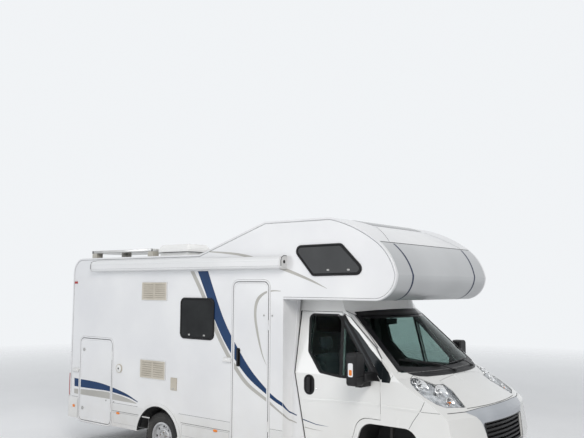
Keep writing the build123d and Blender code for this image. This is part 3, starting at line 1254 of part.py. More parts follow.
for side, name in LEFT_AND_RIGHT:
    with BuildPart() as side_wall:
        through_wall(body_face(0), side, INNER_HALF, HALF_WIDTH, Mode.ADD)
        if side < 0:
            for rear_x, front_x, foot_z in (
                (ENTRANCE_REAR_X, ENTRANCE_FRONT_X, ENTRANCE_LEG_FOOT_Z),
                (LOCKER_REAR_X, LOCKER_FRONT_X, LOCKER_LEG_FOOT_Z),
            ):
                block(rear_x - FRAME_WIDTH, front_x + FRAME_WIDTH, -HALF_WIDTH, -INNER_HALF, foot_z,
                      FLOOR_TOP_Z)
        wall_hole(side_circle(REAR_AXLE_X, TYRE_R, REAR_ARCH_R), side)
        wall_hole(alcove_window(0), side)
        for x0, x1 in window_panes[side]:
            wall_hole(side_sketch(x0, x1, WINDOW_FOOT_Z, WINDOW_TOP_Z, WINDOW_CORNER_R), side)
        if side < 0:
            vent_x = FRONT_AXLE_X - VENT_REAR_BEHIND
            for foot_z in VENT_FOOT_HEIGHTS:
                wall_hole(side_sketch(vent_x, vent_x + VENT_LENGTH, foot_z, foot_z + VENT_HEIGHT, WALL,
                                      -WINDOW_LAP), side)
            for label, rear_x, front_x, foot_z, top_z, heights in BODY_DOORS:
                wall_hole(side_sketch(rear_x, front_x, foot_z, top_z, LEAF_CORNER_R, SHUT_GAP), side)
                axis_x = front_x + SHUT_GAP / 2
                axis_y = -HALF_WIDTH - HINGE_STAND_OFF
                for height in heights:
                    rod(axis_x, axis_y, height, BARREL_R, BARREL_LENGTH)
                    block(axis_x, axis_x + 2 * BARREL_R + SHUT_GAP, axis_y - SHUT_GAP / 2, -HALF_WIDTH,
                          height - BARREL_LENGTH / 2, height + BARREL_LENGTH / 2)
    write(side_wall, f"side_wall_{name}")

# The two doors of the living body, on outside hinges at their front edges

for label, rear_x, front_x, foot_z, top_z, heights in BODY_DOORS:
    axis_x = front_x + SHUT_GAP / 2
    axis_y = -HALF_WIDTH - HINGE_STAND_OFF
    with BuildPart() as leaf:
        through_wall(side_sketch(rear_x, front_x, foot_z, top_z, LEAF_CORNER_R), -1, INNER_HALF,
                     HALF_WIDTH, Mode.ADD)
        for height in heights:
            barrel_z = height + BARREL_LENGTH + SEAT_GAP
            rod(axis_x, axis_y, barrel_z, BARREL_R, BARREL_LENGTH)
            block(axis_x - 2 * BARREL_R - SHUT_GAP, axis_x, axis_y - SHUT_GAP / 2, -HALF_WIDTH,
                  barrel_z - BARREL_LENGTH / 2, barrel_z + BARREL_LENGTH / 2)
    write(leaf, label)

# Windows, vents and flaps of the living body


def window_pane(side, profile, lap_profile):
    """One hung window: a pane in its hole with a lap around it on the outside."""
    through_wall(profile, side, INNER_HALF + SHUT_GAP, HALF_WIDTH, Mode.ADD)
    through_wall(lap_profile, side, HALF_WIDTH, HALF_WIDTH + WINDOW_STAND_OUT, Mode.ADD)


with BuildPart() as living_windows:
    for side, name in LEFT_AND_RIGHT:
        window_pane(side, alcove_window(-SEAT_GAP), alcove_window(WINDOW_LAP))
        for x0, x1 in window_panes[side]:
            window_pane(side, side_sketch(x0, x1, WINDOW_FOOT_Z, WINDOW_TOP_Z, WINDOW_CORNER_R, -SEAT_GAP),
                        side_sketch(x0, x1, WINDOW_FOOT_Z, WINDOW_TOP_Z, WINDOW_CORNER_R, WINDOW_LAP))
    block(REAR_X, REAR_X + WALL - SHUT_GAP, -REAR_WINDOW_HALF + SEAT_GAP, REAR_WINDOW_HALF - SEAT_GAP,
          REAR_WINDOW_FOOT_Z + SEAT_GAP, REAR_WINDOW_TOP_Z - SEAT_GAP)
    block(REAR_X - WINDOW_STAND_OUT, REAR_X, -REAR_WINDOW_HALF - WINDOW_LAP, REAR_WINDOW_HALF + WINDOW_LAP,
          REAR_WINDOW_FOOT_Z - WINDOW_LAP, REAR_WINDOW_TOP_Z + WINDOW_LAP)
write(living_windows, "living_windows")

with BuildPart() as fridge_vents:
    vent_x = FRONT_AXLE_X - VENT_REAR_BEHIND
    louvre_pitch = (VENT_HEIGHT - 2 * LOUVRE_EDGE) / (VENT_LOUVRES - 1)
    for foot_z in VENT_FOOT_HEIGHTS:
        block(vent_x, vent_x + VENT_LENGTH, -HALF_WIDTH - VENT_STAND_OUT, -HALF_WIDTH, foot_z,
              foot_z + VENT_HEIGHT)
        for louvre in range(VENT_LOUVRES):
            louvre_z = foot_z + LOUVRE_EDGE + louvre * louvre_pitch
            for start in (vent_x + LOUVRE_EDGE, vent_x + VENT_LENGTH / 2 + LOUVRE_EDGE / 2):
                block(start, start + VENT_LENGTH / 2 - 1.5 * LOUVRE_EDGE, -HALF_WIDTH - 2 * VENT_STAND_OUT,
                      -HALF_WIDTH,
                      louvre_z - LOUVRE_HEIGHT / 2, louvre_z + LOUVRE_HEIGHT / 2, mode=Mode.SUBTRACT)
write(fridge_vents, "fridge_vents")

with BuildPart() as service_flaps:
    rod(FRONT_AXLE_X - FILLER_BEHIND, -HALF_WIDTH - FLAP_STAND_OUT, FILLER_Z, FILLER_R, 2 * FLAP_STAND_OUT,
        (90, 0, 0))
    for side, behind, middle_z, width, height in (
        (-1, INLET_BEHIND, INLET_Z, INLET_WIDTH, INLET_HEIGHT),
        (1, CASSETTE_BEHIND, CASSETTE_Z, CASSETTE_SIZE, CASSETTE_SIZE),
        (1, GAS_BEHIND, GAS_Z, GAS_WIDTH, GAS_HEIGHT),
    ):
        flap_x = FRONT_AXLE_X - behind
        block(flap_x - width / 2, flap_x + width / 2, side * HALF_WIDTH,
              side * (HALF_WIDTH + FLAP_STAND_OUT),
              middle_z - height / 2, middle_z + height / 2)
write(service_flaps, "service_flaps")

# Floor with wheel boxes, entry step and locker tray


wheel_box_in = REAR_TRACK / 2 - TYRE_WIDTH / 2 - WHEEL_BOX_CLEARANCE
wheel_box_rear_x = REAR_AXLE_X - WHEEL_BOX_HALF
wheel_box_front_x = REAR_AXLE_X + WHEEL_BOX_HALF
step_in_y = HALF_WIDTH - STEP_DEPTH
tray_in_y = HALF_WIDTH - TRAY_DEPTH
# Floor boards from the rear to the front: where each starts, and how far it reaches right and left
floor_boards = (
    (REAR_X + WALL, INNER_HALF, INNER_HALF),
    (LOCKER_REAR_X, tray_in_y, INNER_HALF),
    (LOCKER_FRONT_X, INNER_HALF, INNER_HALF),
    (wheel_box_rear_x, wheel_box_in, wheel_box_in),
    (wheel_box_front_x, INNER_HALF, INNER_HALF),
    (ENTRANCE_REAR_X, step_in_y, INNER_HALF),
    (ENTRANCE_FRONT_X, INNER_HALF, INNER_HALF),
)
board_ends = [board[0] - SEAT_GAP for board in floor_boards[1:]] + [CAB_REAR_X - SEAT_GAP]
well_out_y = INNER_HALF - SHUT_GAP
with BuildPart() as living_floor:
    for (start_x, right_y, left_y), end_x in zip(floor_boards, board_ends):
        block(start_x, end_x, -right_y + SEAT_GAP, left_y, WALL_FOOT_Z, FLOOR_TOP_Z)
    # Wheel boxes: a lid, an inner wall and two end walls each
    lid_under_z = WHEEL_BOX_TOP_Z - WHEEL_BOX_SHEET
    for side, name in LEFT_AND_RIGHT:
        box_in = side * (wheel_box_in + SEAT_GAP)
        wall_face = side * (wheel_box_in + SEAT_GAP + WHEEL_BOX_SHEET)
        box_out = side * INNER_HALF
        block(wheel_box_rear_x, wheel_box_front_x, box_in, box_out, lid_under_z, WHEEL_BOX_TOP_Z)
        block(wheel_box_rear_x, wheel_box_front_x - SEAT_GAP, box_in, wall_face, WALL_FOOT_Z,
              lid_under_z - SEAT_GAP)
        for end_x, sheet in ((wheel_box_rear_x, WHEEL_BOX_SHEET),
                             (wheel_box_front_x - SEAT_GAP, -WHEEL_BOX_SHEET)):
            block(end_x, end_x + sheet, wall_face + side * SEAT_GAP, box_out, WALL_FOOT_Z,
                  lid_under_z - SEAT_GAP)
    # Entry step and locker tray: a tread, a riser and two cheeks each
    for rear_x, front_x, inner_y, tray_z in (
        (ENTRANCE_REAR_X, ENTRANCE_FRONT_X, step_in_y, ENTRANCE_LEG_FOOT_Z),
        (LOCKER_REAR_X, LOCKER_FRONT_X, tray_in_y, TRAY_FOOT_Z),
    ):
        tread_z = tray_z + STEP_SHEET
        block(rear_x, front_x, -well_out_y, -inner_y, tray_z, tread_z)
        block(rear_x, front_x - SEAT_GAP, -inner_y - STEP_SHEET, -inner_y, tread_z + SEAT_GAP,
              FLOOR_TOP_Z)
        for end_x, sheet in ((rear_x, STEP_SHEET), (front_x - SEAT_GAP, -STEP_SHEET)):
            block(end_x, end_x + sheet, -well_out_y, -inner_y - STEP_SHEET - SEAT_GAP, tread_z + SEAT_GAP,
                  FLOOR_TOP_Z)
write(living_floor, "living_floor")

# Skirts, wheel arch trims, cab fairings and rear bumper


skirt_rear_x = REAR_X + BUMPER_SIDE_REACH + SHUT_GAP
skirt_stretches = {
    1: ((skirt_rear_x, WALL_FRONT_X),),
    -1: (
        (LOCKER_FRONT_X + FRAME_WIDTH + SHUT_GAP, ENTRANCE_REAR_X - FRAME_WIDTH - SEAT_GAP),
        (ENTRANCE_FRONT_X + FRAME_WIDTH + SEAT_GAP, WALL_FRONT_X),
    ),
}


def skirt_side(side):
    """The skirt and the rear wheel's arch trim on one side."""
    skirt_in = side * (HALF_WIDTH - SKIRT_THICKNESS)
    trim_half = REAR_ARCH_R + REAR_ARCH_TRIM
    with BuildPart() as one_side:
        for x0, x1 in skirt_stretches[side]:
            block(x0, x1, skirt_in, side * HALF_WIDTH, SKIRT_FOOT_Z, WALL_FOOT_Z)
        rod(REAR_AXLE_X, side * (HALF_WIDTH + TRIM_STAND_OUT / 2), TYRE_R, trim_half, TRIM_STAND_OUT,
            (90, 0, 0))
        block(REAR_AXLE_X - trim_half, REAR_AXLE_X + trim_half, skirt_in,
              side * (HALF_WIDTH + TRIM_STAND_OUT),
              -FAR, SKIRT_FOOT_Z, mode=Mode.SUBTRACT)
        rod(REAR_AXLE_X, side * HALF_WIDTH, TYRE_R, REAR_ARCH_R, 2 * WALL + 2 * TRIM_STAND_OUT, (90, 0, 0),
            mode=Mode.SUBTRACT)
    return one_side.part


left_skirt = skirt_side(1)
right_skirt = skirt_side(-1)
with BuildPart() as side_skirts:
    add(left_skirt)
    add(right_skirt)
write(side_skirts, "side_skirts")

door_rear_line = door_points(0, DOOR_REAR_GAP)
def cab_fairing(side):
    """The upright fairing that leads from the cab's side out to the wall's front edge on one side."""
    wall_end = (WALL_FRONT_X, side * HALF_WIDTH)
    with BuildPart() as fairing:
        sections = []
        for section_z, inner_behind, inner_out, along, across in FAIRING_SECTIONS:
            inner_x = FRONT_AXLE_X - inner_behind
            inner_y = CAB_HALF + inner_out
            reach_x = FRONT_AXLE_X - FAIRING_REACH_BEHIND
            curve_x = inner_x + along * (WALL_FRONT_X - inner_x)
            curve_y = inner_y + across * (HALF_WIDTH - inner_y)
            back_y = side * (inner_y - FAIRING_DEPTH)
            with BuildSketch(Plane.XY.offset(section_z)) as section:
                with BuildLine():
                    ThreePointArc(wall_end, (curve_x, side * curve_y), (inner_x, side * inner_y))
                    Polyline((inner_x, side * inner_y), (reach_x, side * inner_y), (reach_x, back_y),
                             (WALL_FRONT_X, back_y), wall_end)
                make_face()
            sections.append(section.sketch)
        loft(sections, ruled=True)
        add(FULL_FORM, mode=Mode.SUBTRACT)
        side_prism(
            (
                (FAR, 0),
                (door_rear_line[5][0] + SHUT_GAP, 0),
                (door_rear_line[5][0] + SHUT_GAP, DOOR_FOOT_Z),
                (door_rear_line[4][0] + SHUT_GAP, BELT_Z),
                (door_rear_line[3][0] + SHUT_GAP, DOOR_TOP_Z),
                (door_rear_line[3][0] + SHUT_GAP, FAR),
                (FAR, FAR),
            ),
            -FAR,
            FAR,
            mode=Mode.SUBTRACT,
        )
    return fairing.part


left_fairing = cab_fairing(1)
right_fairing = cab_fairing(-1)
with BuildPart() as cab_fairings:
    add(left_fairing)
    add(right_fairing)
write(cab_fairings, "cab_fairings")

with BuildPart() as rear_bumper:
    for inset, mode in ((0, Mode.ADD), (SKIRT_THICKNESS, Mode.SUBTRACT)):
        with BuildSketch(Plane.XY.offset(BUMPER_LOW_Z - inset)) as plan:
            with Locations(((2 * REAR_X - REAR_BUMPER_DEPTH + BUMPER_SIDE_REACH) / 2, 0)):
                Rectangle(REAR_BUMPER_DEPTH + BUMPER_SIDE_REACH, BODY_WIDTH)
            offset(amount=-inset, kind=Kind.INTERSECTION, mode=Mode.REPLACE)
            fillet(plan.vertices().group_by(Axis.X)[0], radius=BUMPER_CORNER_R - inset)
        extrude(plan.sketch, amount=BUMPER_TOP_Z - BUMPER_LOW_Z, mode=mode)
    block(REAR_X + WALL, REAR_X + BUMPER_SIDE_REACH, -HALF_WIDTH + SKIRT_THICKNESS,
          HALF_WIDTH - SKIRT_THICKNESS,
          0, FAR, mode=Mode.SUBTRACT)
write(rear_bumper, "rear_bumper")

tower_out = HALF_WIDTH - LAMP_TOWER_FROM_SIDE
with BuildPart() as tail_lamps:
    for side, name in LEFT_AND_RIGHT:
        block(REAR_X - LAMP_TOWER_DEPTH, REAR_X, side * (tower_out - LAMP_TOWER_WIDTH), side * tower_out,
              LAMP_TOWER_Z0, LAMP_TOWER_Z1)
write(tail_lamps, "tail_lamps")

# Roof and wall fittings: awning, rooflight and solar panel

with BuildPart() as awning_cassette:
    with BuildSketch(Plane.YZ.offset(FRONT_AXLE_X - AWNING_REAR_BEHIND)) as section:
        with Locations((-HALF_WIDTH - AWNING_DEPTH / 2, AWNING_TOP_Z - AWNING_HEIGHT / 2)):
            Rectangle(AWNING_DEPTH, AWNING_HEIGHT)
        outer = section.vertices().group_by(Axis.X)[0].sort_by(Axis.Y)
        fillet(outer[-1], radius=AWNING_NOSE_R)
        fillet(section.vertices().group_by(Axis.X)[0].sort_by(Axis.Y)[0], radius=AWNING_KEEL_R)
    extrude(section.sketch, amount=AWNING_REAR_BEHIND - AWNING_FRONT_BEHIND)
write(awning_cassette, "awning_cassette")

base_top_z = ROOF_Z + ROOFLIGHT_BASE_HEIGHT
lid_foot_z = base_top_z + LID_LIFT
lid_hinge_x = rooflight_rear_x - LID_HINGE_REACH
lid_hinge_z = lid_foot_z + LID_HINGE_REACH
lid_pin_r = LID_HINGE_REACH - SEAT_GAP

with BuildPart() as rooflight_base:
    block(base_rear_x, base_front_x, base_y0, base_y1, ROOF_Z, base_top_z)
    block(base_rear_x + WALL, base_front_x - WALL, base_y0 + WALL, base_y1 - WALL, 0, FAR,
          mode=Mode.SUBTRACT)
    for station in LID_ARM_STATIONS:
        arm_y = rooflight_y0 + station
        block(lid_hinge_x - lid_pin_r, base_rear_x, arm_y, arm_y + LID_ARM_WIDTH,
              base_top_z - LID_ARM_WIDTH, base_top_z)
        block(lid_hinge_x - lid_pin_r, lid_hinge_x + lid_pin_r, arm_y, arm_y + LID_ARM_WIDTH,
              base_top_z - LID_ARM_WIDTH,
              lid_hinge_z)
        rod(lid_hinge_x, arm_y + LID_ARM_WIDTH / 2, lid_hinge_z, lid_pin_r, LID_ARM_WIDTH, (90, 0, 0))
write(rooflight_base, "rooflight_base")

lid_middle = ((rooflight_rear_x + rooflight_front_x) / 2, (rooflight_y0 + rooflight_y1) / 2)
lid_levels = ((0, Mode.ADD), (LID_SHEET, Mode.SUBTRACT))
with BuildPart() as rooflight_lid:
    for inset, mode in lid_levels:
        with BuildSketch(Plane.XY.offset(lid_foot_z)) as foot_plan:
            with Locations(lid_middle):
                RectangleRounded(ROOFLIGHT_LENGTH - 2 * inset, ROOFLIGHT_WIDTH - 2 * inset,
                                 2 * LID_SKIRT - inset)
        extrude(foot_plan.sketch, amount=LID_SKIRT - inset, mode=mode)
        with BuildSketch(Plane.XY.offset(lid_foot_z + LID_SKIRT - inset)) as crown_plan:
            with Locations(lid_middle):
                RectangleRounded(ROOFLIGHT_LENGTH - 2 * inset, ROOFLIGHT_WIDTH - 2 * inset,
                                 2 * LID_SKIRT - inset)
        extrude(crown_plan.sketch, amount=LID_CROWN, taper=LID_TAPER, mode=mode)
write(rooflight_lid, "rooflight_lid")

solar_rear_x = FRONT_AXLE_X - SOLAR_REAR_BEHIND
solar_front_x = solar_rear_x + SOLAR_LENGTH
solar_y0 = -HALF_WIDTH + SOLAR_FROM_SIDE
solar_y1 = solar_y0 + SOLAR_WIDTH
with BuildPart() as solar_panel:
    block(solar_rear_x, solar_front_x, solar_y0, solar_y1, ROOF_Z + SOLAR_LIFT,
          ROOF_Z + SOLAR_LIFT + SOLAR_THICKNESS)
    for x0 in (solar_rear_x, solar_front_x - BRACKET):
        for y0 in (solar_y0, solar_y1 - BRACKET):
            block(x0, x0 + BRACKET, y0, y0 + BRACKET, ROOF_Z, ROOF_Z + SOLAR_LIFT)
write(solar_panel, "solar_panel")
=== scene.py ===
"""The motorhome dressed for rendering: finishes, trim, glass, lamps, stripes and wheels round the frame.

Metres, in the frame's own axes: X forward, Y to the left, Z up, with the ground at Z = 0.
"""

import json
import math

import bmesh
import bpy
from mathutils import Matrix, Vector
from mathutils.bvhtree import BVHTree


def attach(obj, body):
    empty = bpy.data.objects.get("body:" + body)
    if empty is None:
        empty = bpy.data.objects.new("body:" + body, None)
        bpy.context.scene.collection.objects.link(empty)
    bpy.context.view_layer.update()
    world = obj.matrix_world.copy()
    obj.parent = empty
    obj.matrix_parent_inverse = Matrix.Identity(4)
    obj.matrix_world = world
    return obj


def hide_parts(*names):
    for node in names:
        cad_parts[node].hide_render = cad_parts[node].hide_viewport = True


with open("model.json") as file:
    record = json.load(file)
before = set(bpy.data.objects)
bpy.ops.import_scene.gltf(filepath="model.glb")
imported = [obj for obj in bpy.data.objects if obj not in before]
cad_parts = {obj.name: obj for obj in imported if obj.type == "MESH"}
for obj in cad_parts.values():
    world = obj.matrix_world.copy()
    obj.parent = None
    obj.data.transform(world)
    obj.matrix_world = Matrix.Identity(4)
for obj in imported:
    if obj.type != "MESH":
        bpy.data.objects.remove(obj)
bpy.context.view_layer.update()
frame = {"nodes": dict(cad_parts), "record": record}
NODES = frame["nodes"]

# Places shared by the pieces
FRONT_AXLE_X = 2.266
REAR_AXLE_X = -1.184
REAR_X = -3.221
WALL_Y = 1.150
CAB_Y = 1.025
AXLE_Z = 0.335
WALL_FRONT_X = FRONT_AXLE_X - 1.250
SEAM_X = FRONT_AXLE_X + 0.085
SIDES = ((-1, "right"), (1, "left"))


# Camera, lights and floor

SENSOR = 36.0
FOCAL_PIXELS = 709.95
PHOTO_WIDTH = 584.0
FAR_CLIP = 500.0
CAMERA_PLACE = (6.4025, -7.7587, 2.3902)
CAMERA_AXES = ((0.782668, 0.622415, 0.005495), (0.055133, -0.078116, 0.995419),
               (0.619993, -0.778779, -0.095455))
SKY_LIGHT = (0.93, 0.96, 1.0, 1.0)
SKY_STRENGTH = 0.45
SEEN_SKY = (0.88, 0.90, 0.92, 1.0)
FLOOR_REACH = 60


def set_camera():
    """The photograph's own view of the vehicle."""
    data = bpy.data.cameras.new("camera")
    data.sensor_fit = "HORIZONTAL"
    data.sensor_width = SENSOR
    data.lens = SENSOR * FOCAL_PIXELS / PHOTO_WIDTH
    data.clip_end = FAR_CLIP
    camera = bpy.data.objects.new("camera", data)
    turn = Matrix([Vector(axis) for axis in CAMERA_AXES]).transposed()
    camera.matrix_world = Matrix.Translation(CAMERA_PLACE) @ turn.to_4x4()
    bpy.context.collection.objects.link(camera)
    bpy.context.scene.camera = camera


def area_lamp(name, place, target, size, watts, colour):
    """A large soft lamp that looks at a point."""
    data = bpy.data.lights.new(name, "AREA")
    data.shape = "DISK"
    data.size = size
    data.energy = watts
    data.color = colour
    lamp = bpy.data.objects.new(name, data)
    lamp.location = place
    lamp.rotation_euler = (Vector(target) - Vector(place)).to_track_quat("-Z", "Y").to_euler()
    bpy.context.collection.objects.link(lamp)


def add_node(tree, kind, operation=None, **values):
    """A new node of a kind, with plain values on its named sockets."""
    made = tree.nodes.new(kind)
    if operation is not None:
        made.operation = operation
    for socket, value in values.items():
        made.inputs[socket.replace("_", " ")].default_value = value
    return made


def wire(tree, *pairs):
    """Link each pair of an output and an input."""
    for source, target in pairs:
        tree.links.new(source, target)


def set_world():
    """A pale surround that the camera and the reflections see as white."""
    world = bpy.data.worlds.new("surround")
    world.use_nodes = True
    tree = world.node_tree
    tree.nodes.clear()
    out = add_node(tree, "ShaderNodeOutputWorld")
    light = add_node(tree, "ShaderNodeBackground", Color=SKY_LIGHT, Strength=SKY_STRENGTH)
    seen = add_node(tree, "ShaderNodeBackground", Color=SEEN_SKY, Strength=1.0)
    path = add_node(tree, "ShaderNodeLightPath")
    glossy = add_node(tree, "ShaderNodeMath", "MAXIMUM")
    through = add_node(tree, "ShaderNodeMath", "MAXIMUM")
    mix = add_node(tree, "ShaderNodeMixShader")
    wire(tree, (path.outputs["Is Camera Ray"], glossy.inputs[0]),
         (path.outputs["Is Glossy Ray"], glossy.inputs[1]),
         (glossy.outputs[0], through.inputs[0]),
         (path.outputs["Is Transmission Ray"], through.inputs[1]),
         (through.outputs[0], mix.inputs["Fac"]),
         (light.outputs[0], mix.inputs[1]),
         (seen.outputs[0], mix.inputs[2]),
         (mix.outputs[0], out.inputs["Surface"]))
    bpy.context.scene.world = world
    bpy.context.scene.view_settings.view_transform = "Standard"


def placed(name, mesh, finish, body):
    """The object of a mesh, with its finish. It rides on a body, or is a stage piece if that is None."""
    obj = bpy.data.objects.new(name, mesh)
    bpy.context.collection.objects.link(obj)
    mesh.materials.append(MAT[finish] if isinstance(finish, str) else finish)
    if body is None:
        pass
    else:
        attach(obj, body)
    return obj


def mesh_piece(name, verts, faces, finish, body="body", smooth=False):
    """A mesh object with one finish."""
    mesh = bpy.data.meshes.new(name)
    mesh.from_pydata([tuple(v) for v in verts], [], [tuple(f) for f in faces])
    mesh.update()
    for polygon in mesh.polygons:
        polygon.use_smooth = smooth
    return placed(name, mesh, finish, body)


# Materials

def shader(name, colour, roughness, metallic=0.0, coat=0.0, alpha=1.0, transmission=0.0, ior=1.5, sheen=0.0):
    """A principled material whose plain values sit on the shader's own sockets."""
    material = bpy.data.materials.new(name)
    material.use_nodes = True
    shade = material.node_tree.nodes["Principled BSDF"]
    for socket, value in (("Base Color", (*colour, 1.0)), ("Roughness", roughness), ("Metallic", metallic),
                          ("Coat Weight", coat), ("Coat Roughness", 0.05), ("Alpha", alpha),
                          ("Transmission Weight", transmission), ("IOR", ior), ("Sheen Weight", sheen)):
        shade.inputs[socket].default_value = value
    material.diffuse_color = (*colour, 1.0)
    return material


def parts_of(material):
    """A material's node tree, its shader node and a new coordinate node."""
    tree = material.node_tree
    return tree, tree.nodes["Principled BSDF"], add_node(tree, "ShaderNodeTexCoord")


def tint(tree, shade, amount, tone, kept="A", cover="B"):
    """Mix a tone into the base colour by an amount between 0 and 1."""
    mix = tree.nodes.new("ShaderNodeMix")
    mix.data_type = "RGBA"
    mix.inputs[cover].default_value = (*tone, 1.0)
    base = shade.inputs["Base Color"]
    if base.is_linked:
        tree.links.new(base.links[0].from_socket, mix.inputs[kept])
    else:
        mix.inputs[kept].default_value = base.default_value
    wire(tree, (amount, mix.inputs["Factor"]), (mix.outputs["Result"], base))


def vary(material, colour_a, colour_b, scale, detail=3.0, stretch=(1.0, 1.0, 1.0)):
    """Let the base colour drift between two close tones over the surface."""
    tree, shade, place = parts_of(material)
    mapping = add_node(tree, "ShaderNodeMapping", Scale=stretch)
    noise = add_node(tree, "ShaderNodeTexNoise", Scale=scale, Detail=detail)
    ramp = add_node(tree, "ShaderNodeValToRGB")
    for element, position, colour in zip(ramp.color_ramp.elements, (0.35, 0.65), (colour_a, colour_b)):
        element.position = position
        element.color = (*colour, 1.0)
    wire(tree, (place.outputs["Object"], mapping.inputs["Vector"]),
         (mapping.outputs["Vector"], noise.inputs["Vector"]),
         (noise.outputs["Fac"], ramp.inputs["Fac"]),
         (ramp.outputs["Color"], shade.inputs["Base Color"]))


def grime(material, low_z, high_z, strength, tone):
    """Add a thin film of road dirt that fades out with height."""
    tree, shade, place = parts_of(material)
    split = add_node(tree, "ShaderNodeSeparateXYZ")
    fade = add_node(tree, "ShaderNodeMapRange", From_Min=high_z, From_Max=low_z, To_Min=0.0, To_Max=strength)
    noise = add_node(tree, "ShaderNodeTexNoise", Scale=6.0, Detail=8.0)
    amount = add_node(tree, "ShaderNodeMath", "MULTIPLY")
    wire(tree, (place.outputs["Object"], split.inputs[0]),
         (place.outputs["Object"], noise.inputs["Vector"]),
         (split.outputs["Z"], fade.inputs["Value"]),
         (fade.outputs["Result"], amount.inputs[0]),
         (noise.outputs["Fac"], amount.inputs[1]))
    tint(tree, shade, amount.outputs[0], tone)


def bump(material, scale, strength, distance=0.001, kind="noise"):
    """Fine relief: a noise grain, or cells for pebbled plastic."""
    tree, shade, place = parts_of(material)
    if kind == "noise":
        grain = add_node(tree, "ShaderNodeTexNoise", Scale=scale, Detail=4.0)
        height = grain.outputs["Fac"]
    else:
        grain = add_node(tree, "ShaderNodeTexVoronoi", Scale=scale)
        height = grain.outputs["Distance"]
    relief = add_node(tree, "ShaderNodeBump", Strength=strength, Distance=distance)
    wire(tree, (place.outputs["Object"], grain.inputs["Vector"]),
         (height, relief.inputs["Height"]),
         (relief.outputs["Normal"], shade.inputs["Normal"]))


def rough_patches(material, low, high, scale):
    """Let the roughness drift, as on a washed but not polished surface."""
    tree, shade, place = parts_of(material)
    noise = add_node(tree, "ShaderNodeTexNoise", Scale=scale, Detail=5.0)
    spread = add_node(tree, "ShaderNodeMapRange", To_Min=low, To_Max=high)
    wire(tree, (place.outputs["Object"], noise.inputs["Vector"]),
         (noise.outputs["Fac"], spread.inputs["Value"]),
         (spread.outputs["Result"], shade.inputs["Roughness"]))


CAB_MIDDLE = (1.7, 0.0, 1.3)
FACING_IN = -0.02
FACING_UP = 0.7
LINING_ROUGHNESS = 0.85


def lined(name, base, dark):
    """A painted finish whose inner faces, turned to the middle of the cab, are dark lining."""
    material = base.copy()
    material.name = name
    tree, shade, place = parts_of(material)
    away = add_node(tree, "ShaderNodeVectorMath", "SUBTRACT")
    away.inputs[1].default_value = CAB_MIDDLE
    facing = add_node(tree, "ShaderNodeVectorMath", "DOT_PRODUCT")
    inner = add_node(tree, "ShaderNodeMath", "LESS_THAN")
    inner.inputs[1].default_value = FACING_IN
    wire(tree, (place.outputs["Object"], away.inputs[0]),
         (away.outputs[0], facing.inputs[0]),
         (place.outputs["Normal"], facing.inputs[1]),
         (facing.outputs["Value"], inner.inputs[0]))
    tint(tree, shade, inner.outputs[0], dark)
    for socket, lining in (("Roughness", LINING_ROUGHNESS), ("Coat Weight", 0.0)):
        spread = add_node(tree, "ShaderNodeMapRange", To_Min=shade.inputs[socket].default_value,
                          To_Max=lining)
        wire(tree, (inner.outputs[0], spread.inputs["Value"]),
             (spread.outputs["Result"], shade.inputs[socket]))
    return material


def cells_on_top(material, side_tone):
    """Keep a panel's own colour on its upward face alone, and paint its edges and feet in a plain tone."""
    tree, shade, place = parts_of(material)
    facing = add_node(tree, "ShaderNodeSeparateXYZ")
    upward = add_node(tree, "ShaderNodeMath", "GREATER_THAN")
    upward.inputs[1].default_value = FACING_UP
    wire(tree, (place.outputs["Normal"], facing.inputs[0]), (facing.outputs["Z"], upward.inputs[0]))
    tint(tree, shade, upward.outputs[0], side_tone, kept="B", cover="A")


def fade_away(material, near, far):
    """Let a surface fade out with the distance from the vehicle, so that no hard edge shows."""
    tree, shade, place = parts_of(material)
    reach = add_node(tree, "ShaderNodeVectorMath", "LENGTH")
    share = add_node(tree, "ShaderNodeMapRange", From_Min=near, From_Max=far)
    clear = add_node(tree, "ShaderNodeBsdfTransparent")
    mix = add_node(tree, "ShaderNodeMixShader")
    wire(tree, (place.outputs["Object"], reach.inputs[0]),
         (reach.outputs["Value"], share.inputs["Value"]),
         (share.outputs["Result"], mix.inputs["Fac"]),
         (shade.outputs[0], mix.inputs[1]),
         (clear.outputs[0], mix.inputs[2]),
         (mix.outputs[0], tree.nodes["Material Output"].inputs["Surface"]))


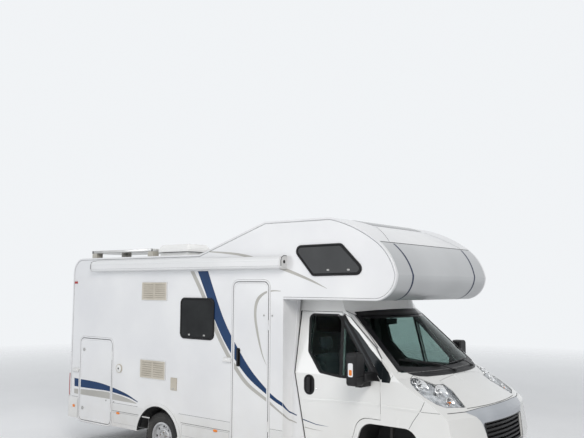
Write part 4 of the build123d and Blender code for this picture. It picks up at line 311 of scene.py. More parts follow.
def make_materials():
    """Every finish on the vehicle."""
    made = {}
    m = made["body_white"] = shader("body_white_paint", (0.74, 0.74, 0.74), 0.3, coat=0.2)
    vary(m, (0.70, 0.705, 0.72), (0.77, 0.775, 0.78), 0.9)
    grime(m, 0.4, 1.5, 0.28, (0.55, 0.5, 0.42))
    rough_patches(m, 0.24, 0.42, 2.2)
    m = made["skirt_white"] = shader("skirt_moulding", (0.79, 0.8, 0.8), 0.38)
    vary(m, (0.68, 0.685, 0.685), (0.74, 0.745, 0.74), 1.4)
    grime(m, 0.36, 0.9, 0.5, (0.45, 0.4, 0.33))
    bump(m, 90.0, 0.05)
    m = made["cab_white"] = shader("cab_lacquer", (0.81, 0.815, 0.81), 0.24, coat=0.6)
    vary(m, (0.72, 0.722, 0.71), (0.77, 0.772, 0.76), 1.1)
    grime(m, 0.3, 1.2, 0.3, (0.5, 0.45, 0.38))
    rough_patches(m, 0.18, 0.32, 3.0)
    m = made["front_silver"] = shader("alcove_metallic", (0.5, 0.51, 0.52), 0.34, metallic=0.25, coat=0.3)
    vary(m, (0.47, 0.48, 0.49), (0.53, 0.54, 0.55), 1.0)
    rough_patches(m, 0.28, 0.42, 2.0)
    m = made["bumper_silver"] = shader("bumper_metallic", (0.4, 0.42, 0.45), 0.34, metallic=0.35, coat=0.3)
    vary(m, (0.37, 0.39, 0.42), (0.43, 0.45, 0.48), 2.0)
    m = made["black_plastic"] = shader("black_moulding", (0.009, 0.009, 0.010), 0.45, ior=1.35)
    bump(m, 700.0, 0.18, 0.0005, "cells")
    rough_patches(m, 0.35, 0.55, 5.0)
    m = made["black_gloss"] = shader("black_gloss", (0.007, 0.007, 0.008), 0.18, ior=1.3)
    rough_patches(m, 0.08, 0.2, 4.0)
    m = made["rubber"] = shader("seal_rubber", (0.008, 0.008, 0.009), 0.55, ior=1.3)
    bump(m, 300.0, 0.1, 0.0005)
    # Painted shadow: dark strips that stand in for the shade in seams, gaps and grooves, and under the
    # bonnet's lip.
    m = made["seam_dark"] = shader("seam_shadow", (0.05, 0.052, 0.055), 0.7)
    bump(m, 200.0, 0.05, 0.0005)
    m = made["seam_grey"] = shader("seam_sealant", (0.36, 0.36, 0.36), 0.6)
    bump(m, 200.0, 0.05, 0.0005)
    m = made["stripe_blue"] = shader("stripe_blue_film", (0.008, 0.036, 0.11), 0.42, ior=1.3)
    vary(m, (0.007, 0.033, 0.10), (0.010, 0.041, 0.122), 3.0)
    m = made["stripe_navy"] = shader("stripe_navy_film", (0.008, 0.016, 0.05), 0.4, ior=1.3)
    vary(m, (0.010, 0.017, 0.05), (0.014, 0.025, 0.07), 3.0)
    m = made["stripe_grey"] = shader("stripe_grey_film", (0.40, 0.39, 0.365), 0.4)
    vary(m, (0.38, 0.37, 0.345), (0.43, 0.42, 0.39), 2.0)
    m = made["dark_window"] = shader("smoked_acrylic", (0.012, 0.013, 0.014), 0.10, ior=1.3)
    vary(m, (0.008, 0.009, 0.010), (0.018, 0.020, 0.021), 2.5)
    m = made["quarter_glass"] = shader("quarter_pane", (0.012, 0.016, 0.018), 0.16, ior=1.25)
    vary(m, (0.009, 0.012, 0.014), (0.018, 0.023, 0.026), 2.0)
    m = made["window_frame"] = shader("window_surround", (0.006, 0.006, 0.007), 0.38, ior=1.3)
    bump(m, 400.0, 0.08, 0.0004)
    m = made["clear_glass"] = shader("tinted_glass", (0.42, 0.52, 0.5), 0.02, alpha=1.0, transmission=1.0,
                                     ior=1.06)
    vary(m, (0.40, 0.50, 0.48), (0.44, 0.54, 0.52), 1.5)
    m = made["lamp_clear"] = shader("lamp_cover", (0.95, 0.96, 0.97), 0.02, transmission=1.0, ior=1.08)
    vary(m, (0.93, 0.94, 0.95), (0.97, 0.98, 0.99), 4.0)
    m = made["reflector"] = shader("lamp_reflector", (0.82, 0.83, 0.85), 0.1, metallic=1.0)
    bump(m, 60.0, 0.25, 0.004, "cells")
    m = made["lamp_pan"] = shader("lamp_pan", (0.5, 0.51, 0.52), 0.26, metallic=0.9)
    vary(m, (0.35, 0.36, 0.37), (0.65, 0.66, 0.67), 14.0)
    bump(m, 60.0, 0.4, 0.002, "cells")
    m = made["chrome"] = shader("bright_metal", (0.8, 0.8, 0.8), 0.12, metallic=1.0)
    rough_patches(m, 0.08, 0.22, 8.0)
    m = made["lamp_red"] = shader("red_lens", (0.35, 0.012, 0.012), 0.15, coat=0.4)
    bump(m, 260.0, 0.25, 0.001, "cells")
    m = made["lamp_orange"] = shader("orange_lens", (0.75, 0.2, 0.01), 0.15, coat=0.4)
    bump(m, 260.0, 0.25, 0.001, "cells")
    m = made["lamp_white"] = shader("white_lens", (0.75, 0.75, 0.76), 0.12, coat=0.4)
    bump(m, 260.0, 0.25, 0.001, "cells")
    m = made["vent_beige"] = shader("vent_moulding", (0.5, 0.46, 0.39), 0.5)
    vary(m, (0.47, 0.43, 0.36), (0.53, 0.49, 0.42), 5.0)
    bump(m, 500.0, 0.1, 0.0004)
    # Painted shade: the darker beige of the shaded gap behind the vent louvres.
    m = made["vent_shade"] = shader("vent_shadow", (0.36, 0.33, 0.27), 0.6)
    vary(m, (0.33, 0.3, 0.245), (0.39, 0.36, 0.3), 5.0)
    m = made["grey_plastic"] = shader("grey_moulding", (0.38, 0.38, 0.37), 0.5)
    bump(m, 400.0, 0.12, 0.0004)
    m = made["dash_grey"] = shader("dash_moulding", (0.045, 0.046, 0.05), 0.6)
    bump(m, 350.0, 0.3, 0.0006, "cells")
    m = made["seat_fabric"] = shader("seat_cloth", (0.09, 0.1, 0.115), 0.9, sheen=0.4)
    vary(m, (0.07, 0.08, 0.095), (0.12, 0.13, 0.145), 160.0)
    bump(m, 900.0, 0.4, 0.0008)
    m = made["floor_board"] = shader("floor_sheet", (0.2, 0.16, 0.12), 0.6)
    vary(m, (0.17, 0.13, 0.1), (0.23, 0.19, 0.15), 3.0, stretch=(0.3, 3.0, 1.0))
    m = made["awning_white"] = shader("awning_case", (0.78, 0.785, 0.79), 0.3, coat=0.2)
    vary(m, (0.70, 0.705, 0.71), (0.75, 0.755, 0.76), 2.0, stretch=(0.3, 1.0, 1.0))
    m = made["awning_cap"] = shader("awning_end", (0.6, 0.6, 0.6), 0.4)
    vary(m, (0.56, 0.56, 0.56), (0.63, 0.63, 0.63), 6.0)
    m = made["roof_fitting_white"] = shader("roof_moulding", (0.7, 0.7, 0.69), 0.45)
    vary(m, (0.67, 0.67, 0.66), (0.73, 0.73, 0.72), 4.0)
    m = made["dome_white"] = shader("dome_acrylic", (0.8, 0.8, 0.79), 0.22, coat=0.3)
    vary(m, (0.77, 0.77, 0.76), (0.82, 0.82, 0.81), 3.0)
    m = made["solar_cells"] = shader("solar_glass", (0.012, 0.016, 0.04), 0.2, coat=0.2)
    vary(m, (0.008, 0.011, 0.03), (0.02, 0.027, 0.06), 9.0)
    cells_on_top(m, (0.45, 0.43, 0.38))
    m = made["solar_frame"] = shader("solar_aluminium", (0.62, 0.62, 0.61), 0.35, metallic=0.6)
    vary(m, (0.56, 0.56, 0.55), (0.67, 0.67, 0.66), 5.0)
    m = made["chassis_black"] = shader("chassis_paint", (0.025, 0.025, 0.025), 0.55)
    vary(m, (0.02, 0.02, 0.02), (0.06, 0.05, 0.04), 7.0)
    bump(m, 60.0, 0.2, 0.001)
    m = made["engine_grey"] = shader("engine_casting", (0.09, 0.09, 0.09), 0.65)
    vary(m, (0.06, 0.06, 0.06), (0.13, 0.12, 0.11), 9.0)
    bump(m, 80.0, 0.3, 0.002)
    m = made["tank_black"] = shader("tank_moulding", (0.03, 0.03, 0.03), 0.6)
    bump(m, 120.0, 0.15, 0.001)
    m = made["exhaust_steel"] = shader("exhaust_tube", (0.3, 0.26, 0.22), 0.5, metallic=0.9)
    vary(m, (0.22, 0.18, 0.15), (0.38, 0.34, 0.3), 6.0)
    m = made["tyre_rubber"] = shader("tyre_rubber_worn", (0.022, 0.022, 0.022), 0.75)
    vary(m, (0.018, 0.018, 0.018), (0.04, 0.038, 0.035), 5.0)
    bump(m, 120.0, 0.15, 0.0008)
    m = made["wheel_silver"] = shader("wheel_lacquer", (0.5, 0.51, 0.52), 0.38, metallic=0.55)
    vary(m, (0.44, 0.44, 0.45), (0.55, 0.56, 0.57), 6.0)
    grime(m, 0.1, 0.6, 0.35, (0.25, 0.2, 0.15))
    m = made["mirror_glass"] = shader("mirror_silvering", (0.8, 0.82, 0.84), 0.02, metallic=1.0)
    rough_patches(m, 0.01, 0.05, 5.0)
    m = made["cabin_dark"] = shader("cabin_lining", (0.12, 0.12, 0.12), 0.9)
    bump(m, 500.0, 0.15, 0.0006)
    m = made["floor"] = shader("studio_floor", (0.9, 0.905, 0.91), 0.8)
    vary(m, (0.88, 0.885, 0.89), (0.91, 0.915, 0.92), 0.6)
    fade_away(m, 7.0, 22.0)
    made["cab_shell"] = lined("cab_shell_paint", made["cab_white"], (0.07, 0.07, 0.072))
    made["cab_door"] = lined("cab_door_paint", made["cab_white"], (0.06, 0.061, 0.064))
    return made


MAT = make_materials()
set_camera()
set_world()
area_lamp("key", (9.0, -9.0, 9.0), (0.0, -0.5, 1.2), 6.0, 820.0, (1.0, 0.97, 0.93))
area_lamp("fill", (-6.0, -11.0, 5.0), (-1.0, -1.0, 1.4), 7.0, 330.0, (0.95, 0.97, 1.0))
area_lamp("top", (-1.0, 2.0, 11.0), (0.0, 0.0, 2.0), 9.0, 300.0, (1.0, 1.0, 1.0))

mesh_piece("floor", [(x * FLOOR_REACH, y * FLOOR_REACH, 0) for x, y in ((-1, -1), (1, -1), (1, 1), (-1, 1))],
           [(0, 1, 2, 3)], "floor", None)

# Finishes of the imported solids, by their material slots
SLOTS = {row["node"]: row["material_slot"] for row in frame["record"]["subparts"]}
LINED_NODES = {"cab_shell": "cab_shell", "cab_door_left": "cab_door", "cab_door_right": "cab_door"}
for node_name, node in NODES.items():
    finish = MAT[LINED_NODES.get(node_name, SLOTS[node_name])]
    for index in range(len(node.material_slots)):
        node.material_slots[index].material = finish


# Helpers for trim, films and frames

def rel(x):
    """A place given ahead of the front axle, in the frame's own X."""
    return FRONT_AXLE_X + x


def grid_faces(rows, columns, closed_rows=False, closed_columns=False):
    """Quads over a grid of points stored row by row."""
    faces = []
    for r in range(rows if closed_rows else rows - 1):
        for c in range(columns if closed_columns else columns - 1):
            a = r * columns + c
            b = r * columns + (c + 1) % columns
            d = ((r + 1) % rows) * columns + c
            e = ((r + 1) % rows) * columns + (c + 1) % columns
            faces.append((a, b, e, d))
    return faces


def smooth_line(points, count):
    """Points along a smooth curve that passes through the given points."""
    vectors = [Vector(p) for p in points]
    spans = len(vectors) - 1
    line = []
    for step in range(count + 1):
        place = min(step * spans / count, spans - 1e-9)
        i = int(place)
        t = place - i
        p1 = vectors[i]
        p2 = vectors[i + 1]
        p0 = vectors[i - 1] if i > 0 else p1 * 2 - p2
        p3 = vectors[i + 2] if i + 2 < len(vectors) else p2 * 2 - p1
        line.append(0.5 * (2 * p1 + (p2 - p0) * t + (2 * p0 - 5 * p1 + 4 * p2 - p3) * t * t
                           + (3 * p1 - 3 * p2 + p3 - p0) * t * t * t))
    return line


def rounded_outline(x0, x1, z0, z1, radius, steps=8):
    """A rounded rectangle in side view, anticlockwise from its lower right corner."""
    outline = []
    for cx, cz, start in ((x1 - radius, z0 + radius, -90), (x1 - radius, z1 - radius, 0),
                          (x0 + radius, z1 - radius, 90), (x0 + radius, z0 + radius, 180)):
        for step in range(steps + 1):
            angle = math.radians(start + 90 * step / steps)
            outline.append((cx + radius * math.cos(angle), cz + radius * math.sin(angle)))
    return outline


def offset_outline(outline, amount):
    """A closed outline moved outwards (anticlockwise outlines grow)."""
    moved = []
    count = len(outline)
    for i in range(count):
        ax, ay = outline[i - 1]
        bx, by = outline[i]
        cx, cy = outline[(i + 1) % count]
        one = Vector((by - ay, ax - bx))
        two = Vector((cy - by, bx - cx))
        if one.length < 1e-9:
            one = two.copy()
        if two.length < 1e-9:
            two = one.copy()
        one.normalize()
        two.normalize()
        normal = one + two
        if normal.length < 1e-6:
            normal = one
        normal.normalize()
        stretch = 1.0 / max(0.4, normal.dot(one))
        moved.append((bx + normal.x * amount * stretch, by + normal.y * amount * stretch))
    return moved


def fillet_outline(corners, radius, steps=6):
    """A closed outline with every corner rounded."""
    outline = []
    count = len(corners)
    for i in range(count):
        before = Vector(corners[i - 1])
        here = Vector(corners[i])
        after = Vector(corners[(i + 1) % count])
        to_before = (before - here).normalized()
        to_after = (after - here).normalized()
        half = math.acos(max(-1, min(1, to_before.dot(to_after)))) / 2
        reach = radius / math.tan(half)
        start = here + to_before * reach
        end = here + to_after * reach
        centre = here + (to_before + to_after).normalized() * (radius / math.sin(half))
        a0 = math.atan2(start.y - centre.y, start.x - centre.x)
        a1 = math.atan2(end.y - centre.y, end.x - centre.x)
        turn = (a1 - a0 + math.pi) % (2 * math.pi) - math.pi
        for step in range(steps + 1):
            angle = a0 + turn * step / steps
            outline.append((centre.x + radius * math.cos(angle), centre.y + radius * math.sin(angle)))
    return outline


def turned_over(faces, when):
    """The same faces, wound the other way where wanted."""
    return [tuple(reversed(face)) for face in faces] if when else faces


def heading(points, i):
    """The direction of an open line at one of its points."""
    return (points[min(i + 1, len(points) - 1)] - points[max(i - 1, 0)]).normalized()


def side_frame(name, outline, width, stand_in, stand_out, side, finish, body="body", bevel=0.003):
    """A closed frame around a side view outline: a moulding with rounded edges that stands on a wall."""
    profile = ((0.0, stand_in), (0.0, stand_out - bevel), (bevel, stand_out), (width - bevel, stand_out),
               (width, stand_out - bevel), (width, stand_in))
    verts = [(x, side * (WALL_Y + out), z) for grow, out in profile for x, z in offset_outline(outline, grow)]
    faces = grid_faces(len(profile), len(outline), closed_rows=True, closed_columns=True)
    return mesh_piece(name, verts, turned_over(faces, side > 0), finish, body, smooth=True)


def side_plate(name, outline, stand_out, side, finish, body="body", edge=0.003, stand_in=0.0, face_y=WALL_Y):
    """A flat plate with a soft edge that lies on a wall, from a side view outline."""
    rows = ((0.0, stand_in), (0.0, max(stand_in, stand_out - edge)), (-edge, stand_out))
    verts = [(x, side * (face_y + out), z) for grow, out in rows for x, z in offset_outline(outline, grow)]
    count = len(outline)
    faces = grid_faces(len(rows), count, closed_columns=True)
    last = (len(rows) - 1) * count
    faces.append(tuple(last + i for i in range(count)))
    return mesh_piece(name, verts, turned_over(faces, side > 0), finish, body)


def tube(name, line, radius, finish, body="body", sides=10, flat=1.0):
    """A round or oval bar along a line of points."""
    points = [Vector(p) for p in line]
    verts = []
    previous = None
    for i, point in enumerate(points):
        along = heading(points, i)
        if previous is None:
            guide = Vector((0, 0, 1)) if abs(along.z) < 0.9 else Vector((0, 1, 0))
            across = along.cross(guide).normalized()
        else:
            across = (previous - along * previous.dot(along)).normalized()
        previous = across
        up = across.cross(along).normalized()
        for k in range(sides):
            angle = 2 * math.pi * k / sides
            verts.append(point + across * math.cos(angle) * radius + up * math.sin(angle) * radius * flat)
    faces = grid_faces(len(points), sides, closed_columns=True)
    faces.append(tuple(reversed(range(sides))))
    faces.append(tuple((len(points) - 1) * sides + k for k in range(sides)))
    return mesh_piece(name, verts, faces, finish, body, smooth=True)


def turned(name, profile, centre, axis, finish, body="body", steps=48):
    """A turned form: (radius, along) pairs swept about an axis through a centre."""
    axis = Vector(axis).normalized()
    guide = Vector((0, 0, 1)) if abs(axis.z) < 0.9 else Vector((1, 0, 0))
    across = axis.cross(guide).normalized()
    up = axis.cross(across).normalized()
    centre = Vector(centre)
    verts = []
    for k in range(steps):
        angle = 2 * math.pi * k / steps
        out = across * math.cos(angle) + up * math.sin(angle)
        verts.extend(centre + axis * along + out * radius for radius, along in profile)
    faces = grid_faces(steps, len(profile), closed_rows=True)
    return mesh_piece(name, verts, faces, finish, body, smooth=True)


def cleaned(obj, angle=35.0):
    """Merge doubled points, close poles and keep edges crisp above an angle."""
    work = bmesh.new()
    work.from_mesh(obj.data)
    bmesh.ops.remove_doubles(work, verts=work.verts, dist=1e-5)
    bmesh.ops.dissolve_degenerate(work, edges=work.edges, dist=1e-6)
    bmesh.ops.recalc_face_normals(work, faces=work.faces)
    for edge in work.edges:
        edge.smooth = len(edge.link_faces) == 2 and edge.calc_face_angle(0.0) < math.radians(angle)
    for face in work.faces:
        face.smooth = True
    work.to_mesh(obj.data)
    work.free()
    return obj


def joined(name, pieces, body="body"):
    """Merge several pieces into one object, keeping their materials."""
    verts = []
    faces = []
    marks = []
    smooth = []
    materials = []
    for piece in pieces:
        start = len(verts)
        verts.extend(tuple(v.co) for v in piece.data.vertices)
        material = piece.data.materials[0]
        if material not in materials:
            materials.append(material)
        for polygon in piece.data.polygons:
            faces.append(tuple(start + i for i in polygon.vertices))
            marks.append(materials.index(material))
            smooth.append(polygon.use_smooth)
        bpy.data.objects.remove(piece, do_unlink=True)
    obj = mesh_piece(name, verts, faces, materials[0], body)
    for material in materials[1:]:
        obj.data.materials.append(material)
    for polygon, mark, soft in zip(obj.data.polygons, marks, smooth):
        polygon.material_index = mark
        polygon.use_smooth = soft
    return obj


def soft_block(work, low, high, edge, segments):
    """A block with bevelled edges, added to a mesh in the making."""
    made = set(bmesh.ops.create_cube(work, size=1.0)["verts"])
    for vert in made:
        vert.co = Vector(((low[i] + high[i]) / 2 + vert.co[i] * abs(high[i] - low[i]) for i in range(3)))
    edges = [line for line in work.edges if line.verts[0] in made]
    bmesh.ops.bevel(work, geom=edges, offset=edge, segments=segments, affect="EDGES", profile=0.5)


def box_form(name, low, high, edge, finish, body="body", segments=3):
    """A moulded block with softened edges."""
    work = bmesh.new()
    soft_block(work, low, high, edge, segments)
    for face in work.faces:
        face.smooth = True
    mesh = bpy.data.meshes.new(name)
    work.to_mesh(mesh)
    work.free()
    return placed(name, mesh, finish, body)


TREES = {}


def tree_of(node_names):
    """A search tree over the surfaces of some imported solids."""
    key = tuple(node_names)
    if key not in TREES:
        verts = []
        faces = []
        for node_name in node_names:
            mesh = NODES[node_name].data
            start = len(verts)
            verts.extend(v.co.copy() for v in mesh.vertices)
            faces.extend(tuple(start + i for i in p.vertices) for p in mesh.polygons)
        TREES[key] = BVHTree.FromPolygons(verts, faces)
    return TREES[key]


# Where rays towards the vehicle start: out to a side, ahead or behind, above, and off a front quarter
RAY_SIDE = 2.0
RAY_END = 5.0
RAY_ABOVE = 3.5
RAY_QUARTER = 6.0


def drop(node_names, start, direction, lift):
    """The point where a ray meets the solids, lifted off their surface, or nothing."""
    place, normal, index, distance = tree_of(node_names).ray_cast(Vector(start),
                                                                  Vector(direction).normalized())
    if place is None:
        return None
    if normal.dot(Vector(direction)) > 0:
        normal = -normal
    return place + normal * lift


WALL_TOP = 2.594
OPENING = 0.010
FILM = 0.0007
FILM_STEPS = 260
FILM_COLUMNS = 6
NARROWEST = 1e-5


def net(rows, usable, closed=False):
    """The points and quads of a net of places, without the quads that miss the solids or aren't usable."""
    verts = []
    faces = []
    index = {}
    total = len(rows)
    for r in range(total if closed else total - 1):
        for c in range(len(rows[0]) - 1):
            keys = ((r, c), (r, c + 1), ((r + 1) % total, c + 1), ((r + 1) % total, c))
            corners = [rows[k][m] for k, m in keys]
            if any(corner is None for corner in corners) or not usable(corners):
                continue
            for k, m in keys:
                if (k, m) not in index:
                    index[(k, m)] = len(verts)
                    verts.append(rows[k][m])
            faces.append(tuple(index[key] for key in keys))
    return verts, faces


def film(name, upper, lower, node_names, side, finish, body, limits):
    """A thin film on a side of the vehicle, between an upper and a lower line given in side view."""
    top = smooth_line([(x, z, 0.0) for x, z in upper], FILM_STEPS)
    foot = smooth_line([(x, z, 0.0) for x, z in lower], FILM_STEPS)
    on_wall = node_names[0].startswith("side_wall")
    rows = []
    for a, b in zip(top, foot):
        row = []
        for k in range(FILM_COLUMNS + 1):
            share = k / FILM_COLUMNS
            x = min(max(a.x + (b.x - a.x) * share, limits[0]), limits[1])
            z = a.y + (b.y - a.y) * share
            hit = drop(node_names, (rel(x), side * RAY_SIDE, z), (0, -side, 0), FILM)
            if on_wall and z < WALL_TOP and (hit is None or abs(hit.y) < WALL_Y - OPENING):
                hit = Vector((rel(x), side * WALL_Y, z))
            if hit is not None and abs(abs(hit.y) - WALL_Y) < OPENING:
                hit.y = side * (WALL_Y + FILM)
            row.append(hit)
        rows.append(row)
    verts, faces = net(rows,
                       lambda corners: max(p.x for p in corners) - min(p.x for p in corners) >= NARROWEST)
    return mesh_piece(name, verts, turned_over(faces, side < 0), finish, body, smooth=True)


# Stripes along the sides: an upper and a lower edge each, ahead of the front axle and above the ground

BLUE_BAND = (
    ((-2.524, 2.594), (-2.412, 2.347), (-2.231, 1.985), (-2.034, 1.700), (-1.770, 1.390), (-1.505, 1.171),
     (-1.359, 1.079), (-1.214, 1.012), (-1.058, 0.900), (-0.811, 0.834), (-0.684, 0.814)),
    ((-2.717, 2.594), (-2.560, 2.300), (-2.365, 1.925), (-2.140, 1.610), (-1.827, 1.300), (-1.504, 1.106),
     (-1.359, 1.030), (-1.214, 0.972), (-1.058, 0.872), (-0.811, 0.820), (-0.684, 0.812)),
)
GREY_BAND = (
    ((-2.785, 2.594), (-2.570, 2.275), (-2.340, 1.862), (-2.170, 1.610), (-2.012, 1.425), (-1.800, 1.222),
     (-1.492, 1.056), (-1.359, 0.972), (-1.214, 0.892)),
    ((-2.858, 2.594), (-2.632, 2.257), (-2.400, 1.838), (-2.225, 1.585), (-2.060, 1.395), (-1.838, 1.188),
     (-1.508, 1.022), (-1.359, 0.945), (-1.214, 0.868)),
)
TAIL_BLUE_BAND = (
    ((-5.381, 0.983), (-5.214, 0.979), (-4.823, 0.968), (-4.511, 0.934), (-4.139, 0.865), (-3.873, 0.780)),
    ((-5.374, 0.862), (-5.207, 0.860), (-4.850, 0.862), (-4.524, 0.861), (-4.119, 0.823), (-3.873, 0.770)),
)
TAIL_GREY_BAND = (
    ((-5.379, 0.822), (-5.200, 0.830), (-4.850, 0.842), (-4.523, 0.844), (-4.136, 0.806), (-3.900, 0.756)),
    ((-5.375, 0.753), (-5.200, 0.752), (-4.850, 0.752), (-4.518, 0.751), (-4.134, 0.748), (-3.900, 0.746)),
)
DOOR_SWOOSH = (
    ((-1.290, 2.345), (-1.420, 2.352), (-1.560, 2.325), (-1.680, 2.235), (-1.715, 2.060), (-1.672, 1.830),
     (-1.590, 1.590), (-1.508, 1.449)),
    ((-1.290, 2.338), (-1.420, 2.335), (-1.545, 2.300), (-1.645, 2.205), (-1.675, 2.050), (-1.640, 1.840),
     (-1.575, 1.600), (-1.505, 1.449)),
)
ROOF_SWOOSH = (
    ((-2.600, 2.860), (-1.904, 2.800), (-1.266, 2.630), (-0.860, 2.490), (-0.610, 2.378)),
    ((-2.600, 2.850), (-1.904, 2.768), (-1.266, 2.590), (-0.860, 2.462), (-0.610, 2.374)),
)

# The pieces that each stripe crosses, with the stretch that it keeps on each
ENTRANCE = (-2.060, -1.480)
LOCKER = (-5.240, -4.475)
EDGE = 0.004
FRONT_PARTS = (
    ("wall", ("side_wall_right",), "body", (-5.487, ENTRANCE[0] - 0.006)),
    ("entrance", ("entrance_door",), "entrance_door", (ENTRANCE[0] + EDGE, ENTRANCE[1] - EDGE)),
    ("post", ("side_wall_right",), "body", (ENTRANCE[1] + 0.006, -1.252)),
)
TAIL_PARTS = (
    ("corner", ("side_wall_right",), "body", (-5.480, LOCKER[0] - 0.006)),
    ("locker", ("locker_door",), "locker_door", (LOCKER[0] + EDGE, LOCKER[1] - EDGE)),
    ("wall", ("side_wall_right",), "body", (LOCKER[1] + 0.006, -3.700)),
)
LEFT_FRONT_PARTS = (("wall", ("side_wall_left",), "body", (-5.487, -1.252)),)
LEFT_TAIL_PARTS = (("wall", ("side_wall_left",), "body", (-5.480, -3.700)),)
ROOF_STRETCH = (-5.487, -0.3)
FRONT_SETS = {-1: FRONT_PARTS, 1: LEFT_FRONT_PARTS}
TAIL_SETS = {-1: TAIL_PARTS, 1: LEFT_TAIL_PARTS}
STRIPES = (
    ("blue_band", BLUE_BAND, "stripe_blue", FRONT_SETS),
    ("grey_band", GREY_BAND, "stripe_grey", FRONT_SETS),
    ("tail_blue_band", TAIL_BLUE_BAND, "stripe_blue", TAIL_SETS),
    ("tail_grey_band", TAIL_GREY_BAND, "stripe_grey", TAIL_SETS),
    ("door_swoosh", DOOR_SWOOSH, "stripe_grey", FRONT_SETS),
    ("roof_swoosh", ROOF_SWOOSH, "stripe_grey", {-1: FRONT_PARTS[:1], 1: LEFT_FRONT_PARTS[:1]}),
)
for stripe_name, (upper, lower), finish, per_side in STRIPES:
    for side, side_name in SIDES:
        for part_name, node_names, body, limits in per_side[side]:
            if max(x for x, z in upper) < limits[0] or min(x for x, z in lower) > limits[1]:
                continue
            stretch = ROOF_STRETCH if stripe_name == "roof_swoosh" else limits
            film(f"{stripe_name}_{part_name}_{side_name}", upper, lower, node_names, side, finish, body,
                 stretch)


# Body outline in side view, as the walls are cut

REAR_CORNER = 0.225
ROOF = 2.811
WALL_FOOT = 0.715
ALCOVE_TOP = 3.190
CHIN_Z = 2.245
ALCOVE_BEND = (rel(-0.568), ALCOVE_TOP)
SEAM_PLACE = (SEAM_X, 2.888)
NOSE_PLACE = (rel(0.305), 2.528)
CHIN_PLACE = (rel(0.048), CHIN_Z)
ARC_POINTS = 14


def arc_through(a, b, c, steps=ARC_POINTS):
    """Points on the circle through three points, from the first to the last."""
    a = Vector(a)
    b = Vector(b)
    c = Vector(c)
    d = 2 * (a.x * (b.y - c.y) + b.x * (c.y - a.y) + c.x * (a.y - b.y))
    aa = a.length_squared
    bb = b.length_squared
    cc = c.length_squared
    ux = (aa * (b.y - c.y) + bb * (c.y - a.y) + cc * (a.y - b.y)) / d
    uy = (aa * (c.x - b.x) + bb * (a.x - c.x) + cc * (b.x - a.x)) / d
    centre = Vector((ux, uy))
    radius = (a - centre).length
    a0 = math.atan2(a.y - uy, a.x - ux)
    a1 = math.atan2(c.y - uy, c.x - ux)
    middle = math.atan2(b.y - uy, b.x - ux)
    turn = (a1 - a0) % (2 * math.pi)
    if (middle - a0) % (2 * math.pi) > turn:
        turn -= 2 * math.pi
    return [(ux + radius * math.cos(a0 + turn * i / steps), uy + radius * math.sin(a0 + turn * i / steps))
            for i in range(steps + 1)]


def body_line():
    """The walls' outline from the rear foot over the roof and alcove to the chin, as open points."""
    shoulder = REAR_CORNER * (1 - math.cos(math.radians(45)))
    line = [(REAR_X, WALL_FOOT)]
    line += arc_through((REAR_X, ROOF - REAR_CORNER), (REAR_X + shoulder, ROOF - shoulder),
                        (REAR_X + REAR_CORNER, ROOF))
    line += [(rel(-2.699), ROOF), (rel(-1.551), ALCOVE_TOP), ALCOVE_BEND]
    line += arc_through(ALCOVE_BEND, (rel(-0.110), 3.015), SEAM_PLACE)[1:]
    line += arc_through(SEAM_PLACE, (rel(0.222), 2.733), NOSE_PLACE)[1:]
    line += arc_through(NOSE_PLACE, (rel(0.222), 2.333), CHIN_PLACE)[1:]
    line += [(WALL_FRONT_X, CHIN_Z)]
    return line


def split_corners(line, spacing=0.03):
    """The same open line with more points, so that a strip follows it closely."""
    dense = [Vector(line[0])]
    for a, b in zip(line, line[1:]):
        a = Vector(a)
        b = Vector(b)
        count = max(1, int((b - a).length / spacing))
        for i in range(1, count + 1):
            dense.append(a + (b - a) * i / count)
    return dense


def edge_strip(name, line, side, inset0, inset1, stand_in, stand_out, finish):
    """A raised strip that follows an open outline on a wall, between two insets from it."""
    points = split_corners(line)
    profile = ((inset0, stand_in), (inset0, stand_out * 0.6), ((inset0 + inset1) / 2, stand_out),
               (inset1, stand_out * 0.6), (inset1, stand_in))
    verts = []
    for i, point in enumerate(points):
        along = heading(points, i)
        inward = Vector((along.y, -along.x))
        for inset, out in profile:
            place = point + inward * inset
            verts.append((place.x, side * (WALL_Y + out), place.y))
    faces = grid_faces(len(points), len(profile))
    return mesh_piece(name, verts, turned_over(faces, side < 0), finish, smooth=True)


BODY_LINE = body_line()
FOOT_Z = 0.712
FOOT_SEAM = (0.002, 0.0055, -0.0005, 0.0012, "seam_dark")
for side, side_name in SIDES:
    edge_strip(f"edge_seam_{side_name}", BODY_LINE, side, 0.0255, 0.0285, -0.0005, 0.0016, "seam_dark")
    edge_strip(f"edge_moulding_{side_name}", BODY_LINE, side, 0.001, 0.0250, -0.001, 0.0045, "body_white")
    foot_end = rel(-5.275) if side < 0 else WALL_FRONT_X
    edge_strip(f"foot_seam_a_{side_name}", [(REAR_X + 0.05, FOOT_Z), (foot_end, FOOT_Z)], side, *FOOT_SEAM)
    if side < 0:
        for number, (x0, x1) in enumerate(((-4.440, -3.870), (-3.030, -2.095), (-1.445, -1.252))):
            edge_strip(f"foot_seam_b{number}_{side_name}", [(rel(x0), FOOT_Z), (rel(x1), FOOT_Z)], side,
                       *FOOT_SEAM)

# Alcove front: the seam across it, navy stripes, thin lines and a dark roof strip
FINE_LINE = split_corners(BODY_LINE, 0.012)


def alcove_band(name, middle, half, start, end, finish, lift=0.0008, across=4):
    """A film over the alcove's front that follows its outline, by its middle and half width at each share."""
    total = len(FINE_LINE) - 1
    points = FINE_LINE[int(start * total):int(end * total) + 1]
    verts = []
    for i, point in enumerate(points):
        along = heading(points, i)
        share = i / (len(points) - 1)
        y0 = middle(share) - half(share)
        y1 = middle(share) + half(share)
        for k in range(across + 1):
            verts.append((point.x - along.y * lift, y0 + (y1 - y0) * k / across, point.y + along.x * lift))
    return mesh_piece(name, verts, grid_faces(len(points), across + 1), finish, smooth=True)


